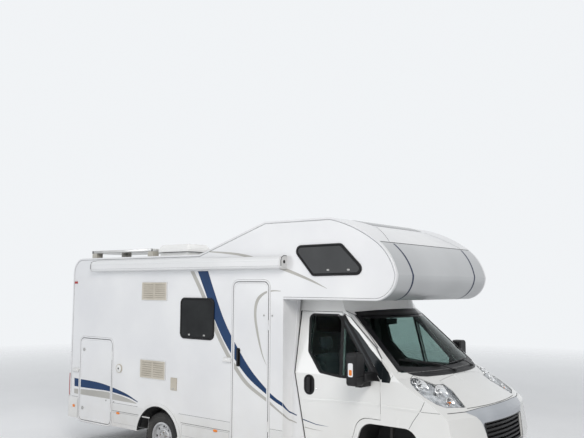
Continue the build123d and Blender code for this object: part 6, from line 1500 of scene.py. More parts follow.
for side, side_name in SIDES:
    door = f"cab_door_{side_name}"
    both = (door, f"cab_door_glass_{side_name}")
    draped(f"door_glass_seal_{side_name}", fillet_outline(DOOR_GLASS_LINE, 0.045, 6), SEAL, "side", both,
           "rubber", door, side=side, closed=True)
    ribbon(f"quarter_frame_{side_name}", FRAME_REAR, FRAME_FRONT, "side", both, 0.0012, "quarter_glass", door,
           side=side)
    ribbon(f"quarter_pillar_{side_name}", PILLAR_REAR, PILLAR_FRONT, "side", SKIN, 0.0012, "quarter_glass",
           side=side)
    for colour, upper in DOOR_LINES:
        lower = [(x, z - width) for (x, z), width in zip(upper, DOOR_LINE_WIDTHS)]
        ribbon(f"{colour}_line_door_{side_name}", upper, lower, "side", (door,), 0.0008, f"stripe_{colour}",
               door, side=side, steps=40, across=1)
    for colour, upper, lower in FAIRING_LINES:
        ribbon(f"{colour}_line_fairing_{side_name}", upper, lower, "quarter", ("cab_fairings",), 0.0008,
               f"stripe_{colour}", side=side, steps=60, across=2)
    for name, guide, profile, node_names, finish, body in (
            ("door_divider", DIVIDER_LINE, DIVIDER, both, "rubber", door),
            ("door_edge_seal", EDGE_LINE, EDGE_SEAL, (*both, "cab_shell"), "rubber", door),
            ("pillar_seam", SHUT_LINE, line_profile(0.006), SKIN, "seam_dark", "body"),
            ("pillar_line", PILLAR_LINE, line_profile(0.004), SKIN, "seam_dark", "body"),
            ("wing_seam", WING_LINE, line_profile(0.004), SKIN, "seam_dark", "body"),
            ("crease_door", CREASE_DOOR, CREASE, (door,), "cab_white", door),
            ("crease_wing", CREASE_WING, CREASE, SKIN, "cab_white", "body"),
            ("bumper_seam", BUMPER_LINE, line_profile(0.005), SKIN, "seam_dark", "body"),
            # the lip line: painted shadow under the bonnet's lip
            ("lip_line", SIDE_LIP_SHADOW, line_profile(0.004), SKIN, "seam_dark", "body")):
        draped(f"{name}_{side_name}", guide, profile, "side", node_names, finish, body, side=side)
    oval = rounded_outline(-1.024, -0.884, 1.150, 1.368, 0.066)
    draped(f"cab_handle_rim_{side_name}", oval, HANDLE_RIM, "side", (door,), "black_plastic", door, side=side,
           closed=True)
    patch(f"cab_handle_cup_{side_name}", oval, "side", (door,), 0.0009, "black_gloss", door, side=side)
    grip = [(rel(a), b) for a, b in rounded_outline(-0.978, -0.930, 1.172, 1.346, 0.022)]
    side_plate(f"cab_handle_grip_{side_name}", grip, 0.026, side, "black_plastic", door, edge=0.010,
               stand_in=0.002, face_y=CAB_Y)
    turned(f"cab_door_lock_{side_name}", DOOR_LOCK, (rel(-0.851), side * (CAB_Y + 0.0042), 1.215),
           (0, side, 0), "chrome", door, steps=24)

# Windscreen: black edge, scuttle and wipers
SCREEN_NODES = ("windscreen", "cab_shell", "cowl_panel")
SCREEN_EDGE = ((0.846, 1.500), (0.8965, 1.500), (0.768, 2.060), (0.716, 2.060))
TOP_EDGE = ((-0.772, 2.030), (0.772, 2.030), (0.762, 2.106), (0.500, 2.122), (0.215, 2.131), (0.0, 2.133),
            (-0.215, 2.131), (-0.500, 2.122), (-0.762, 2.106))
SCREEN_STRIP = ((-0.022, 0.0085), (-0.004, 0.0085), (0.007, 0.0030), (0.020, 0.0012))
SCUTTLE_FOOT = ((0.300, 1.4165), (0.623, 1.4185), (0.720, 1.427), (0.787, 1.441), (0.836, 1.468),
                (0.880, 1.510))
SCUTTLE_TOP = ((0.880, 1.536), (0.60, 1.512))
SCUTTLE_RIB = ((-0.003, 0.001), (-0.001, 0.005), (0.001, 0.005), (0.003, 0.001))


def mirrored(points):
    """The same points on the other side, in the opposite order."""
    return [(-y, z) for y, z in reversed(points)]


for side, side_name in SIDES:
    patch(f"screen_edge_{side_name}", [(side * y, z) for y, z in SCREEN_EDGE], "front", SCREEN_NODES, 0.0010,
          "black_gloss")
patch("screen_top_edge", TOP_EDGE, "front", SCREEN_NODES, 0.0010, "black_gloss")
draped("screen_top_strip", [(-0.762, 2.0775), (0.0, 2.0775), (0.762, 2.0775)], SCREEN_STRIP, "front",
       SCREEN_NODES, "black_gloss")
for side, side_name in SIDES:
    strip_line = [(side * 0.7665, 2.072), (side * 0.9060, 1.476)][::side]
    draped(f"screen_side_strip_{side_name}", strip_line, SCREEN_STRIP, "front", SCREEN_NODES, "black_gloss")
scuttle = [(-0.300, 1.4165), *SCUTTLE_FOOT, *SCUTTLE_TOP, (0.0, 1.502), *mirrored(SCUTTLE_TOP),
           *mirrored(SCUTTLE_FOOT[1:])]
patch("scuttle", scuttle, "front", SCREEN_NODES, 0.0016, "black_plastic", cell=0.02)
for number, (height, reach) in enumerate(((1.434, 0.62), (1.452, 0.66))):
    guide = [(reach * share, height + lift) for share, lift in
             ((-1, 0.012), (-0.5, 0.003), (0, 0), (0.5, 0.003), (1, 0.012))]
    draped(f"scuttle_rib_{number}", guide, SCUTTLE_RIB, "front", SCREEN_NODES, "black_plastic")


def wiper(name, tip, foot, pivot):
    """A wiper: its blade laid on the glass, its arm and its pivot cap."""
    places = [[a + (b - a) * (i / 24) for a, b in zip(tip, foot)] for i in range(25)]
    line = [drop(SCREEN_NODES, (RAY_END, y, z), (-1, 0, 0), 0.008) for y, z in places]
    line = [p for p in line if p is not None]
    off_glass = Vector((0.35, 0, 0.9)).normalized()
    bow = [p + off_glass * (0.006 + 0.010 * math.sin(math.pi * i / (len(line) - 1)))
           for i, p in enumerate(line)]
    middle = bow[int(len(bow) * 0.45)]
    base = drop(SCREEN_NODES, (RAY_END, *pivot), (-1, 0, 0), 0.018)
    elbow = (middle + base) / 2 + Vector((0.010, 0, 0.018))
    cap = [(0.0001, 0.012), (0.012, 0.011), (0.017, 0.006), (0.019, -0.010)]
    joined(name, [tube(f"{name}_rubber", line, 0.0045, "rubber", sides=6),
                  tube(f"{name}_bow", bow, 0.0040, "black_plastic", sides=8),
                  tube(f"{name}_arm", [base, elbow, middle], 0.0062, "black_plastic", sides=8),
                  turned(f"{name}_pivot", cap, base, (0.36, 0, 0.93), "black_plastic", steps=24)])


wiper("wiper_right", (-0.790, 1.590), (-0.270, 1.498), (-0.080, 1.440))
wiper("wiper_left", (-0.060, 1.512), (0.520, 1.520), (0.500, 1.446))

# Bumper: its silver centre, the grille's and the intake's frames, a painted shadow line under the bonnet's
# lip, and fog lamps
BUMPER = ("front_bumper",)
SILVER_TOP = ((-0.712, 1.101), (-0.618, 1.050), (-0.560, 1.004), (-0.530, 0.9675), (0.530, 0.9675),
              (0.560, 1.004), (0.618, 1.050), (0.712, 1.101), (0.453, 1.113), (0.0, 1.1165), (-0.453, 1.113))
SILVER_FOOT = ((-0.447, 0.6975), (-0.447, 0.570), (0.447, 0.570), (0.447, 0.6975))
SILVER_SIDE = ((0.530, 0.9675), (0.5065, 0.9675), (0.4415, 0.6995), (0.4470, 0.570), (0.4700, 0.570),
               (0.4740, 0.720), (0.4920, 0.858))
for name, outline in (("top", SILVER_TOP), ("foot", SILVER_FOOT),
                      ("right", [(-y, z) for y, z in SILVER_SIDE]), ("left", SILVER_SIDE)):
    patch(f"silver_centre_{name}", outline, "front", BUMPER, 0.0012, "bumper_silver", cell=0.025)
GRILLE_LINE = ((-0.440, 0.700), (0.440, 0.700), (0.505, 0.965), (-0.505, 0.965))
GRILLE_FRAME = ((-0.010, 0.0014), (-0.008, 0.0040), (-0.002, 0.0044), (-0.0005, 0.0020))
INTAKE_LINE = ((-0.420, 0.360), (0.420, 0.360), (0.420, 0.530), (-0.420, 0.530))
INTAKE_FRAME = ((-0.012, 0.0004), (-0.009, 0.0020), (-0.003, 0.0020), (-0.0005, 0.0008))
# Painted shadow under the bonnet's lip, across the nose.
FRONT_LIP_SHADOW = ((-0.950, 1.106), (-0.710, 1.1025), (-0.453, 1.1145), (0.0, 1.1185), (0.453, 1.1145),
            (0.710, 1.1025), (0.950, 1.106))
draped("grille_frame", fillet_outline(GRILLE_LINE, 0.012, 4), GRILLE_FRAME, "front", BUMPER, "black_gloss",
       closed=True)
draped("intake_frame", fillet_outline(INTAKE_LINE, 0.010, 4), INTAKE_FRAME, "front", BUMPER, "black_plastic",
       closed=True)
# Painted shadow: a dark line under the bonnet's lip.
draped("lip_line_front", FRONT_LIP_SHADOW, line_profile(0.006), "front", BUMPER, "seam_dark")
FOG_LENS = ((0.0001, 0.004), (0.040, 0.003), (0.052, 0.0), (0.056, -0.006))
FOG_RIM = ((0.056, -0.004), (0.058, 0.006), (0.068, 0.006), (0.072, -0.002), (0.073, -0.010))
for side, side_name in SIDES:
    fog_place = drop(BUMPER, (RAY_END, side * 0.640, 0.455), (-1, 0, 0), 0.004)
    fog_axis = Vector((0.94, side * 0.34, 0)).normalized()
    for name, profile, finish in (("fog_lamp", FOG_LENS, "lamp_white"),
                                  ("fog_lamp_rim", FOG_RIM, "black_plastic")):
        turned(f"{name}_{side_name}", profile, fog_place, fog_axis, finish, steps=36)

# Headlamps: a silvered pan with bowls and bulbs under a clear cover
LAMP_LINE = ((0.285, 0.790), (0.480, 0.655), (0.515, 0.530), (0.610, 0.525), (0.820, 0.640), (0.720, 0.885),
             (0.640, 0.945), (0.515, 0.975), (0.410, 0.960), (0.330, 0.925), (0.290, 0.860))
LAMP_BOWLS = (
    ("high", 0.575, 0.685, 0.086),
    ("low", 0.430, 0.835, 0.082),
    ("turn", 0.700, 0.730, 0.056),
    ("side", 0.350, 0.860, 0.034),
)
LAMP_NODES = ("headlamps",)
LAMP_NEIGHBOURS = ("headlamps", "front_wings", "front_bumper", "cowl_panel", "cab_shell")
DOWN = (0, 0, -1)


def lamp_point(ahead, y, lift):
    """A place on the headlamp's outer face, or below it."""
    return drop(LAMP_NODES, (rel(ahead), y, RAY_ABOVE), DOWN, lift)


for side, side_name in SIDES:
    line = fillet_outline([(ahead, side * out) for ahead, out in LAMP_LINE][::side], 0.018, 4)
    cover = patch(f"lamp_cover_{side_name}", offset_outline(line, -0.002), "top", LAMP_NODES, -0.0010,
                  "lamp_clear", cell=0.02)
    pieces = [patch(f"lamp_pan_{side_name}", offset_outline(line, -0.004), "top", LAMP_NODES, -0.030,
                    "lamp_pan", cell=0.018)]
    ring = [(lamp_point(a, b, -0.0015), lamp_point(a, b, -0.034)) for a, b in offset_outline(line, -0.003)]
    ring = [pair for pair in ring if None not in pair]
    pieces.append(mesh_piece(f"lamp_wall_{side_name}", [p for pair in ring for p in pair],
                             grid_faces(len(ring), 2, closed_rows=True), "lamp_pan", smooth=True))
    for name, ahead, out, radius in LAMP_BOWLS:
        seat = lamp_point(ahead, side * out, -0.012)
        if seat is None:
            continue
        axis = (0.88, side * 0.18, 0.44)
        bowl = [(0.0001, -0.026), (radius * 0.35, -0.023), (radius * 0.70, -0.013), (radius * 0.96, 0.0),
                (radius, 0.003), (radius * 1.06, 0.001), (radius * 1.08, -0.006)]
        bulb = [(0.0001, 0.004), (radius * 0.12, 0.002), (radius * 0.18, -0.006), (radius * 0.16, -0.024)]
        glow = "lamp_orange" if name == "turn" else "lamp_white"
        pieces.append(turned(f"lamp_bowl_{name}_{side_name}", bowl, seat, axis, "chrome", steps=36))
        pieces.append(turned(f"lamp_bulb_{name}_{side_name}", bulb, seat, axis, glow, steps=20))
    joined(f"lamp_inside_{side_name}", pieces)
    if side < 0:
        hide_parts("headlamps")
    draped(f"lamp_gap_{side_name}", offset_outline(line, 0.0005), line_profile(0.004, 0.0008), "top",
           LAMP_NEIGHBOURS, "seam_dark", closed=True)

# Mirrors: glass, split line, indicator lens and arm boots
MIRROR_X = -0.085
MIRROR_IN = 1.175
MIRROR_OUT = 1.360
MIRROR_BACK = rel(MIRROR_X - 0.120)
GLASS_ROWS = ((0.0, -0.0002), (-0.003, 0.0022), (-0.006, 0.0024))
for side, side_name in SIDES:
    name = f"mirror_{side_name}"
    body = f"cab_door_{side_name}"
    for part_name, z0, z1 in (("upper", 1.452, 1.668), ("lower", 1.362, 1.436)):
        outline = rounded_outline(MIRROR_IN + 0.022, MIRROR_OUT - 0.022, z0, z1, 0.022)
        verts = [(MIRROR_BACK - out, side * y, z) for grow, out in GLASS_ROWS
                 for y, z in offset_outline(outline, grow)]
        faces = grid_faces(len(GLASS_ROWS), len(outline), closed_columns=True)
        faces.append(tuple(2 * len(outline) + i for i in range(len(outline))))
        mesh_piece(f"{name}_glass_{part_name}", verts, turned_over(faces, side > 0), "mirror_glass", body)
    for part_name, x0, x1, z0, z1, radius, lift, finish in (
            ("indicator", -0.098, -0.036, 1.440, 1.585, 0.016, 0.0007, "lamp_white"),
            ("indicator_bulb", -0.086, -0.048, 1.455, 1.515, 0.012, 0.0012, "lamp_orange")):
        patch(f"{name}_{part_name}", rounded_outline(MIRROR_X + x0, MIRROR_X + x1, z0, z1, radius), "side",
              (name,), lift, finish, body, side=side, cell=0.012)
    ribbon(f"{name}_sail", ((-0.160, 1.376), (-0.160, 1.560), (-0.158, 1.570)),
           ((0.000, 1.376), (-0.006, 1.392), (-0.158, 1.572)), "side", (body, f"cab_door_glass_{side_name}"),
           0.0030, "black_plastic", body, side=side, steps=30)
    box_form(f"{name}_arm_cover", (rel(-0.168), side * 0.985, 1.372), (rel(-0.062), side * 1.200, 1.470),
             0.018, "black_plastic", body)
    draped(f"{name}_split", [(side * (MIRROR_IN + 0.006), 1.440), (side * (MIRROR_OUT - 0.004), 1.440)],
           line_profile(0.005, 0.0006), "front", (name,), "black_gloss", body)


# Inside the cab: padded seats, dashboard, wheel, pillars and mirror

SEAT_Y = 0.440
SWELL_CAP = 0.024
SWELL_SHARE = 0.8
SWELL_PRESSURE = 4.0
SWELL_STEPS = 20
HELD_BAND = 0.010
PAD_VOXEL = 0.009
BACK_LEAN = 0.1525


def slab_union(name, slabs, lean=0.0, foot_z=0.0):
    """One form out of overlapping soft blocks, leaned back with height if wanted."""
    work = bmesh.new()
    for low, high, edge in slabs:
        soft_block(work, low, high, edge, 4)
    for vert in work.verts:
        vert.co.x -= (vert.co.z - foot_z) * lean
    mesh = bpy.data.meshes.new(name)
    work.to_mesh(mesh)
    work.free()
    obj = bpy.data.objects.new(name, mesh)
    bpy.context.collection.objects.link(obj)
    return obj


def baked(obj):
    """Keep what the object's modifiers make of it."""
    made = bpy.data.meshes.new_from_object(obj.evaluated_get(bpy.context.evaluated_depsgraph_get()))
    obj.modifiers.clear()
    obj.data = made


def settled(obj, voxel):
    """The form with an even skin, after a voxel remesh and a light smoothing."""
    skin = obj.modifiers.new("skin", "REMESH")
    skin.mode = "VOXEL"
    skin.voxel_size = voxel
    soften = obj.modifiers.new("soften", "SMOOTH")
    soften.factor = 0.5
    soften.iterations = 4
    baked(obj)


SEAT_FORMS = (
    ("cushion", 0.0, 0.0, 0.870,
     (((1.200, -0.225, 0.875), (1.715, 0.225, 0.972), 0.030),
      ((1.200, -0.232, 0.880), (1.705, -0.160, 0.992), 0.030),
      ((1.200, 0.160, 0.880), (1.705, 0.232, 0.992), 0.030),
      ((1.620, -0.220, 0.872), (1.720, 0.220, 0.985), 0.040))),
    ("back", BACK_LEAN, 1.010, 0.0,
     (((1.196, -0.225, 0.990), (1.278, 0.225, 1.580), 0.032),
      ((1.198, -0.232, 1.030), (1.300, -0.150, 1.480), 0.034),
      ((1.198, 0.150, 1.030), (1.300, 0.232, 1.480), 0.034),
      ((1.196, -0.200, 1.400), (1.286, 0.200, 1.582), 0.038))),
    ("headrest", BACK_LEAN, 1.010, 0.0,
     (((1.206, -0.118, 1.628), (1.270, 0.118, 1.772), 0.030),
      ((1.206, -0.085, 1.622), (1.276, 0.085, 1.774), 0.030))),
)
SEAT_LIMITS = {
    "cushion": ((1.177, 1.735), (-0.249, 0.249), (0.861, 1.009)),
    "back": ((1.087, 1.400), (-0.249, 0.249), (0.961, 1.599)),
    "headrest": ((1.080, 1.300), (-0.130, 0.130), (1.601, 1.789)),
}
seat_pads = []
for name, lean, foot_z, pin_z, slabs in SEAT_FORMS:
    pad = slab_union(f"seat_{name}_right", slabs, lean, foot_z)
    settled(pad, PAD_VOXEL)
    seat_pads.append((name, pad, pin_z))
starts = []
for name, pad, pin_z in seat_pads:
    starts.append([vert.co.copy() for vert in pad.data.vertices])
    held = pad.vertex_groups.new(name="held")
    if pin_z > 0:
        fixed = [vert.index for vert in pad.data.vertices if vert.co.z < pin_z + HELD_BAND]
    else:
        upright = [vert.co.x + vert.co.z * BACK_LEAN for vert in pad.data.vertices]
        fixed = [i for i, x in enumerate(upright) if x < min(upright) + HELD_BAND]
    held.add(fixed, 1.0, "REPLACE")
    cloth = pad.modifiers.new("swell", "CLOTH")
    cloth.settings.use_pressure = True
    cloth.settings.uniform_pressure_force = SWELL_PRESSURE
    cloth.settings.effector_weights.gravity = 0.0
    cloth.settings.quality = 4
    cloth.settings.vertex_group_mass = "held"
for step in range(1, SWELL_STEPS + 1):
    bpy.context.scene.frame_set(step)
graph = bpy.context.evaluated_depsgraph_get()
for (name, pad, pin_z), start in zip(seat_pads, starts):
    swollen = [vert.co.copy() for vert in pad.evaluated_get(graph).data.vertices]
    pad.modifiers.clear()
    pad.vertex_groups.clear()
    for vert, a, b in zip(pad.data.vertices, start, swollen):
        move = b - a
        if move.length > SWELL_CAP:
            move *= SWELL_CAP / move.length
        vert.co = a + move * SWELL_SHARE
bpy.context.scene.frame_set(1)
for name, pad, pin_z in seat_pads:
    for vert in pad.data.vertices:
        for axis, (low, high) in enumerate(SEAT_LIMITS[name]):
            vert.co[axis] = min(max(vert.co[axis], low), high)
    for polygon in pad.data.polygons:
        polygon.use_smooth = True
    pad.data.materials.clear()
    pad.data.materials.append(MAT["seat_fabric"])
PAD_TREES = {}
for name, pad, pin_z in seat_pads:
    PAD_TREES[name] = BVHTree.FromPolygons([v.co for v in pad.data.vertices],
                                           [tuple(p.vertices) for p in pad.data.polygons])


def row_of(low, high, fixed, count, swapped=False):
    """Places along a straight line at a fixed place of the other axis."""
    steps = [low + (high - low) * i / count for i in range(count + 1)]
    return [(fixed, step) if swapped else (step, fixed) for step in steps]


SEWN_LINES = (
    ("cushion", row_of(1.240, 1.680, -0.148, 20)),
    ("cushion", row_of(1.240, 1.680, 0.148, 20)),
    ("cushion", row_of(-0.146, 0.146, 1.380, 20, True)),
    ("cushion", row_of(-0.146, 0.146, 1.520, 20, True)),
    ("back", row_of(1.040, 1.565, -0.142, 30, True)),
    ("back", row_of(1.040, 1.565, 0.142, 30, True)),
    ("back", row_of(-0.140, 0.140, 1.180, 20)),
    ("back", row_of(-0.140, 0.140, 1.330, 20)),
    ("back", row_of(-0.190, 0.190, 1.470, 20)),
    ("headrest", row_of(-0.112, 0.112, 1.665, 20)),
)
seams = []
for number, (name, places) in enumerate(SEWN_LINES):
    from_above = name == "cushion"
    aim = Vector(DOWN) if from_above else Vector((-1, 0, 0))
    line = []
    for a, b in places:
        start = Vector((a, b, 2.0)) if from_above else Vector((2.2, a, b))
        place = PAD_TREES[name].ray_cast(start, aim)[0]
        if place is not None:
            line.append(place - aim * 0.0004)
    if len(line) > 2:
        seams.append(tube(f"seat_seam_{number}", line, 0.0022, "rubber", sides=6))
seam_right = joined("seat_seams_right", seams)
seam_left = bpy.data.objects.new("seat_seams_left", seam_right.data.copy())
bpy.context.collection.objects.link(seam_left)
for seam, shift in ((seam_right, -SEAT_Y), (seam_left, SEAT_Y)):
    for vert in seam.data.vertices:
        vert.co.y += shift
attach(seam_left, "body")
for name, pad, pin_z in seat_pads:
    finer = pad.modifiers.new("finer", "SUBSURF")
    finer.levels = 1
    finer.render_levels = 1
    baked(pad)
    twin = bpy.data.objects.new(f"seat_{name}_left", pad.data.copy())
    bpy.context.collection.objects.link(twin)
    for piece, shift in ((pad, -SEAT_Y), (twin, SEAT_Y)):
        for vert in piece.data.vertices:
            vert.co.y += shift
        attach(piece, "body")
    if name == "cushion":
        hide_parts("cab_seats")
for side, side_name in SIDES:
    middle = side * SEAT_Y
    pieces = [
        box_form(f"seat_base_{side_name}", (1.270, middle - 0.195, 0.6405), (1.640, middle + 0.195, 0.862),
                 0.020, "dash_grey"),
        box_form(f"seat_shield_{side_name}", (1.240, middle - side * 0.262 - 0.012, 0.800),
                 (1.660, middle - side * 0.262 + 0.012, 0.930), 0.010, "dash_grey"),
    ]
    for out in (-0.060, 0.060):
        pieces.append(tube(f"headrest_post_{out}_{side_name}",
                           [(1.136, middle + out, 1.560), (1.122, middle + out, 1.650)],
                           0.0065, "chrome", sides=12))
    joined(f"seat_frame_{side_name}", pieces)

# Dashboard
for name, low, high, edge, finish in (
        ("cluster_hood", (2.020, 0.245, 1.300), (2.230, 0.635, 1.392), 0.030, "dash_grey"),
        ("centre_stack", (1.960, -0.150, 1.010), (2.075, 0.150, 1.335), 0.022, "dash_grey"),
        ("glovebox", (1.990, -0.800, 1.060), (2.060, -0.250, 1.225), 0.020, "dash_grey"),
        ("glovebox_catch", (1.984, -0.560, 1.190), (1.998, -0.490, 1.205), 0.004, "black_plastic")):
    box_form(name, low, high, edge, finish)
VENT_RING = ((0.0001, 0.002), (0.030, 0.002), (0.034, 0.008), (0.043, 0.008), (0.046, 0.0), (0.047, -0.010))
pieces = []
for number, y in enumerate((-0.840, -0.120, 0.120, 0.840)):
    centre = Vector((1.958 if abs(y) < 0.5 else 2.000, y, 1.285))
    pieces.append(turned(f"dash_vent_{number}", VENT_RING, centre, (-1, 0, 0.1), "black_plastic", steps=28))
    for bar in (-0.016, 0.0, 0.016):
        ends = [centre + Vector((-0.005, out, bar)) for out in (-0.028, 0.028)]
        pieces.append(tube(f"dash_vent_bar_{number}_{bar}", ends, 0.002, "grey_plastic", sides=6))
joined("dash_vents", pieces)
box_form("radio_face", (1.950, -0.095, 1.165), (1.972, 0.095, 1.235), 0.006, "black_gloss")
HEATER_KNOB = ((0.0001, 0.018), (0.014, 0.017), (0.018, 0.010), (0.020, -0.004))
joined("heater_knobs", [
    turned(f"heater_knob_{number}", HEATER_KNOB, (1.960, y, 1.110), (-1, 0, 0), "black_plastic", steps=24)
    for number, y in enumerate((-0.065, 0.0, 0.065))])
LEVER_KNOB = ((0.0001, 0.042), (0.018, 0.038), (0.027, 0.020), (0.024, 0.0), (0.012, -0.016))
GAITER = ((0.010, 0.058), (0.020, 0.040), (0.026, 0.036), (0.034, 0.018), (0.044, 0.014), (0.052, -0.006))
joined("gear_lever", [
    tube("gear_lever_stem", [(1.965, 0.060, 1.040), (1.900, 0.062, 1.105), (1.868, 0.063, 1.160)], 0.008,
         "chrome", sides=12),
    turned("gear_lever_knob", LEVER_KNOB, (1.864, 0.063, 1.166), (-0.5, 0, 0.86), "black_plastic", steps=28),
    turned("gear_lever_gaiter", GAITER, (1.968, 0.060, 1.040), (-0.7, 0, 0.7), "rubber", steps=24)])
draped("dash_top_seam", [(-0.255, -0.780), (-0.255, 0.200), (0.020, 0.200), (0.020, -0.780)],
       line_profile(0.005, 0.001), "top", ("dashboard",), "rubber", closed=True)

# Steering wheel: airbag pad, spokes and stalks
WHEEL_LEAN = math.radians(62)
ACROSS = Vector((0, 1, 0))
AIRBAG = ((0.0001, 0.030), (0.050, 0.026), (0.074, 0.014), (0.084, -0.004), (0.084, -0.040))
SPOKE = ((0.060, 0.010), (0.110, 0.012), (0.160, 0.006), (0.192, 0.0))
wheel_centre = Vector((1.796, 0.440, 1.240))
wheel_axis = Vector((-math.sin(WHEEL_LEAN), 0, math.cos(WHEEL_LEAN)))
wheel_up = Vector((math.cos(WHEEL_LEAN), 0, math.sin(WHEEL_LEAN)))
pieces = [turned("airbag_pad", AIRBAG, wheel_centre, wheel_axis, "dash_grey", steps=36)]
for angle in (0, 180, 270):
    turn = math.radians(angle)
    out = ACROSS * math.cos(turn) + wheel_up * math.sin(turn)
    line = [wheel_centre + out * reach - wheel_axis * sink for reach, sink in SPOKE]
    pieces.append(tube(f"wheel_spoke_{angle}", line, 0.022, "dash_grey", sides=16, flat=0.45))
joined("steering_pad", pieces)
for side, side_name in SIDES:
    foot = wheel_centre - wheel_axis * 0.060 + ACROSS * side * 0.040
    end = foot + Vector((0.005, side * 0.150, 0.030))
    tube(f"stalk_{side_name}", [foot, (foot + end) / 2 + Vector((0, 0, 0.004)), end], 0.008, "black_plastic",
         sides=10)

# Pillar linings, sun visors and the inside mirror
POST_LINE = ((0.900, 0.700), (0.905, 1.300), (0.860, 1.450), (0.730, 2.060))
for side, side_name in SIDES:
    tube(f"cab_post_lining_{side_name}", [(1.130, side * y, z) for y, z in POST_LINE], 0.045, "cabin_dark",
         sides=16)
    box_form(f"sun_visor_{side_name}", (1.700, side * 0.220, 2.060), (1.735, side * 0.620, 2.215), 0.012,
             "cabin_dark")
joined("inside_mirror", [
    box_form("inside_mirror_case", (1.800, -0.130, 1.935), (1.828, 0.130, 2.008), 0.012, "black_plastic"),
    box_form("inside_mirror_glass", (1.7975, -0.120, 1.943), (1.8015, 0.120, 2.000), 0.0015, "mirror_glass",
             segments=1),
    tube("inside_mirror_stem", [(1.815, 0.0, 1.990), (1.806, 0.0, 2.040), (1.800, 0.0, 2.075)], 0.010,
         "black_plastic", sides=12)])


# Tail lamps: four lenses each, with rims
LENS_ROWS = (
    ("top", 0.966, 1.034, "lamp_red"),
    ("turn", 0.890, 0.958, "lamp_orange"),
    ("back", 0.814, 0.882, "lamp_white"),
    ("foot", 0.728, 0.806, "lamp_red"),
)
LENS_RIM = ((-0.0035, 0.0006), (-0.0020, 0.0040), (0.0020, 0.0040), (0.0035, 0.0006))
TAIL_LAMPS = ("tail_lamps",)
for side, side_name in SIDES:
    for name, z0, z1, finish in LENS_ROWS:
        outline = [(side * y, z) for y, z in rounded_outline(1.016, 1.128, z0, z1, 0.010)]
        patch(f"tail_lens_{name}_{side_name}", outline, "rear", TAIL_LAMPS, 0.0024, finish, cell=0.02)
        draped(f"tail_lens_rim_{name}_{side_name}", outline, LENS_RIM, "rear", TAIL_LAMPS, "chrome",
               closed=True)

# Rear: high brake lamp, clearance lamps, reflectors, blank plate and its lamps
REAR_NODES = ("rear_wall", "roof_panel", "side_wall_left", "side_wall_right", "rear_bumper", "tail_lamps")


def rear_box(name, y, z, half_width, half_height, depth, edge, finish):
    """A moulded box that stands on the rear face."""
    face_x = drop(REAR_NODES, (-RAY_END, y, z), (1, 0, 0), 0.0).x
    return box_form(name, (face_x - depth, y - half_width, z - half_height),
                    (face_x + 0.004, y + half_width, z + half_height), edge, finish)


rear_box("brake_lamp_high", 0.0, 2.500, 0.170, 0.016, 0.016, 0.006, "lamp_red")
for side, side_name in SIDES:
    rear_box(f"clearance_lamp_{side_name}", side * 1.020, 2.500, 0.045, 0.014, 0.016, 0.006, "lamp_red")
    rear_box(f"rear_reflector_{side_name}", side * 0.960, 0.770, 0.035, 0.020, 0.008, 0.003, "lamp_red")
    joined(f"plate_lamps_{side_name}", [
        rear_box(f"plate_lamp_{side_name}", side * 0.180, 0.985, 0.034, 0.010, 0.022, 0.005, "black_plastic"),
        rear_box(f"plate_lens_{side_name}", side * 0.180, 0.976, 0.026, 0.004, 0.018, 0.001, "lamp_white")])
joined("plate", [rear_box("plate_holder", 0.0, 0.900, 0.268, 0.062, 0.006, 0.002, "black_plastic"),
                 rear_box("plate_blank", 0.0, 0.900, 0.260, 0.055, 0.009, 0.0015, "skirt_white")])
REAR_WALL = ("rear_wall",)
for side, side_name in SIDES:
    draped(f"rear_corner_seam_{side_name}", [(side * 1.108, z) for z in (0.720, 1.600, 2.560)],
           line_profile(0.006), "rear", REAR_WALL, "seam_grey")
draped("rear_top_seam", [(y, 2.560) for y in (-1.080, 0.0, 1.080)], line_profile(0.006), "rear", REAR_WALL,
       "seam_grey")
draped("rear_bumper_groove", [(y, 0.640) for y in (-1.000, 0.0, 1.000)], line_profile(0.006, 0.0006), "rear",
       ("rear_bumper",), "seam_grey")
for side, side_name in SIDES:
    marker = rounded_outline(rel(-5.452), rel(-5.376), 2.424, 2.460, 0.010)
    side_plate(f"corner_marker_{side_name}", marker, 0.010, side, "lamp_red", edge=0.004)

# Roof: solar panel frame and cell lines, rooflight ribs and rim
SOLAR_REAR, SOLAR_FRONT = -2.884, -1.469
SOLAR_RIGHT, SOLAR_LEFT = -1.060, -0.390
SOLAR_TOP = 2.926


def solar_bar(name, x0, x1, y0, y1, foot, top, edge):
    """A thin bar on the solar panel."""
    return box_form(name, (x0, y0, SOLAR_TOP - foot), (x1, y1, SOLAR_TOP + top), edge, "solar_frame",
                    segments=1)


pieces = [solar_bar(f"solar_frame_{name}", x0, x1, y0, y1, 0.037, 0.0025, 0.002) for name, x0, x1, y0, y1 in (
    ("rear", SOLAR_REAR - 0.003, SOLAR_REAR + 0.030, SOLAR_RIGHT - 0.003, SOLAR_LEFT + 0.003),
    ("front", SOLAR_FRONT - 0.030, SOLAR_FRONT + 0.003, SOLAR_RIGHT - 0.003, SOLAR_LEFT + 0.003),
    ("right", SOLAR_REAR, SOLAR_FRONT, SOLAR_RIGHT - 0.003, SOLAR_RIGHT + 0.030),
    ("left", SOLAR_REAR, SOLAR_FRONT, SOLAR_LEFT - 0.030, SOLAR_LEFT + 0.003))]
for number in range(1, 9):
    x = SOLAR_REAR + (SOLAR_FRONT - SOLAR_REAR) * number / 9
    pieces.append(solar_bar(f"solar_line_{number}", x - 0.0012, x + 0.0012, SOLAR_RIGHT + 0.028,
                            SOLAR_LEFT - 0.028, 0.001, 0.0006, 0.0002))
for number in range(1, 4):
    y = SOLAR_RIGHT + (SOLAR_LEFT - SOLAR_RIGHT) * number / 4
    pieces.append(solar_bar(f"solar_row_{number}", SOLAR_REAR + 0.028, SOLAR_FRONT - 0.028, y - 0.0012,
                            y + 0.0012, 0.001, 0.0006, 0.0002))
joined("solar_frame", pieces)
LID = ("rooflight_lid",)
ROOF_PANEL = ("roof_panel",)
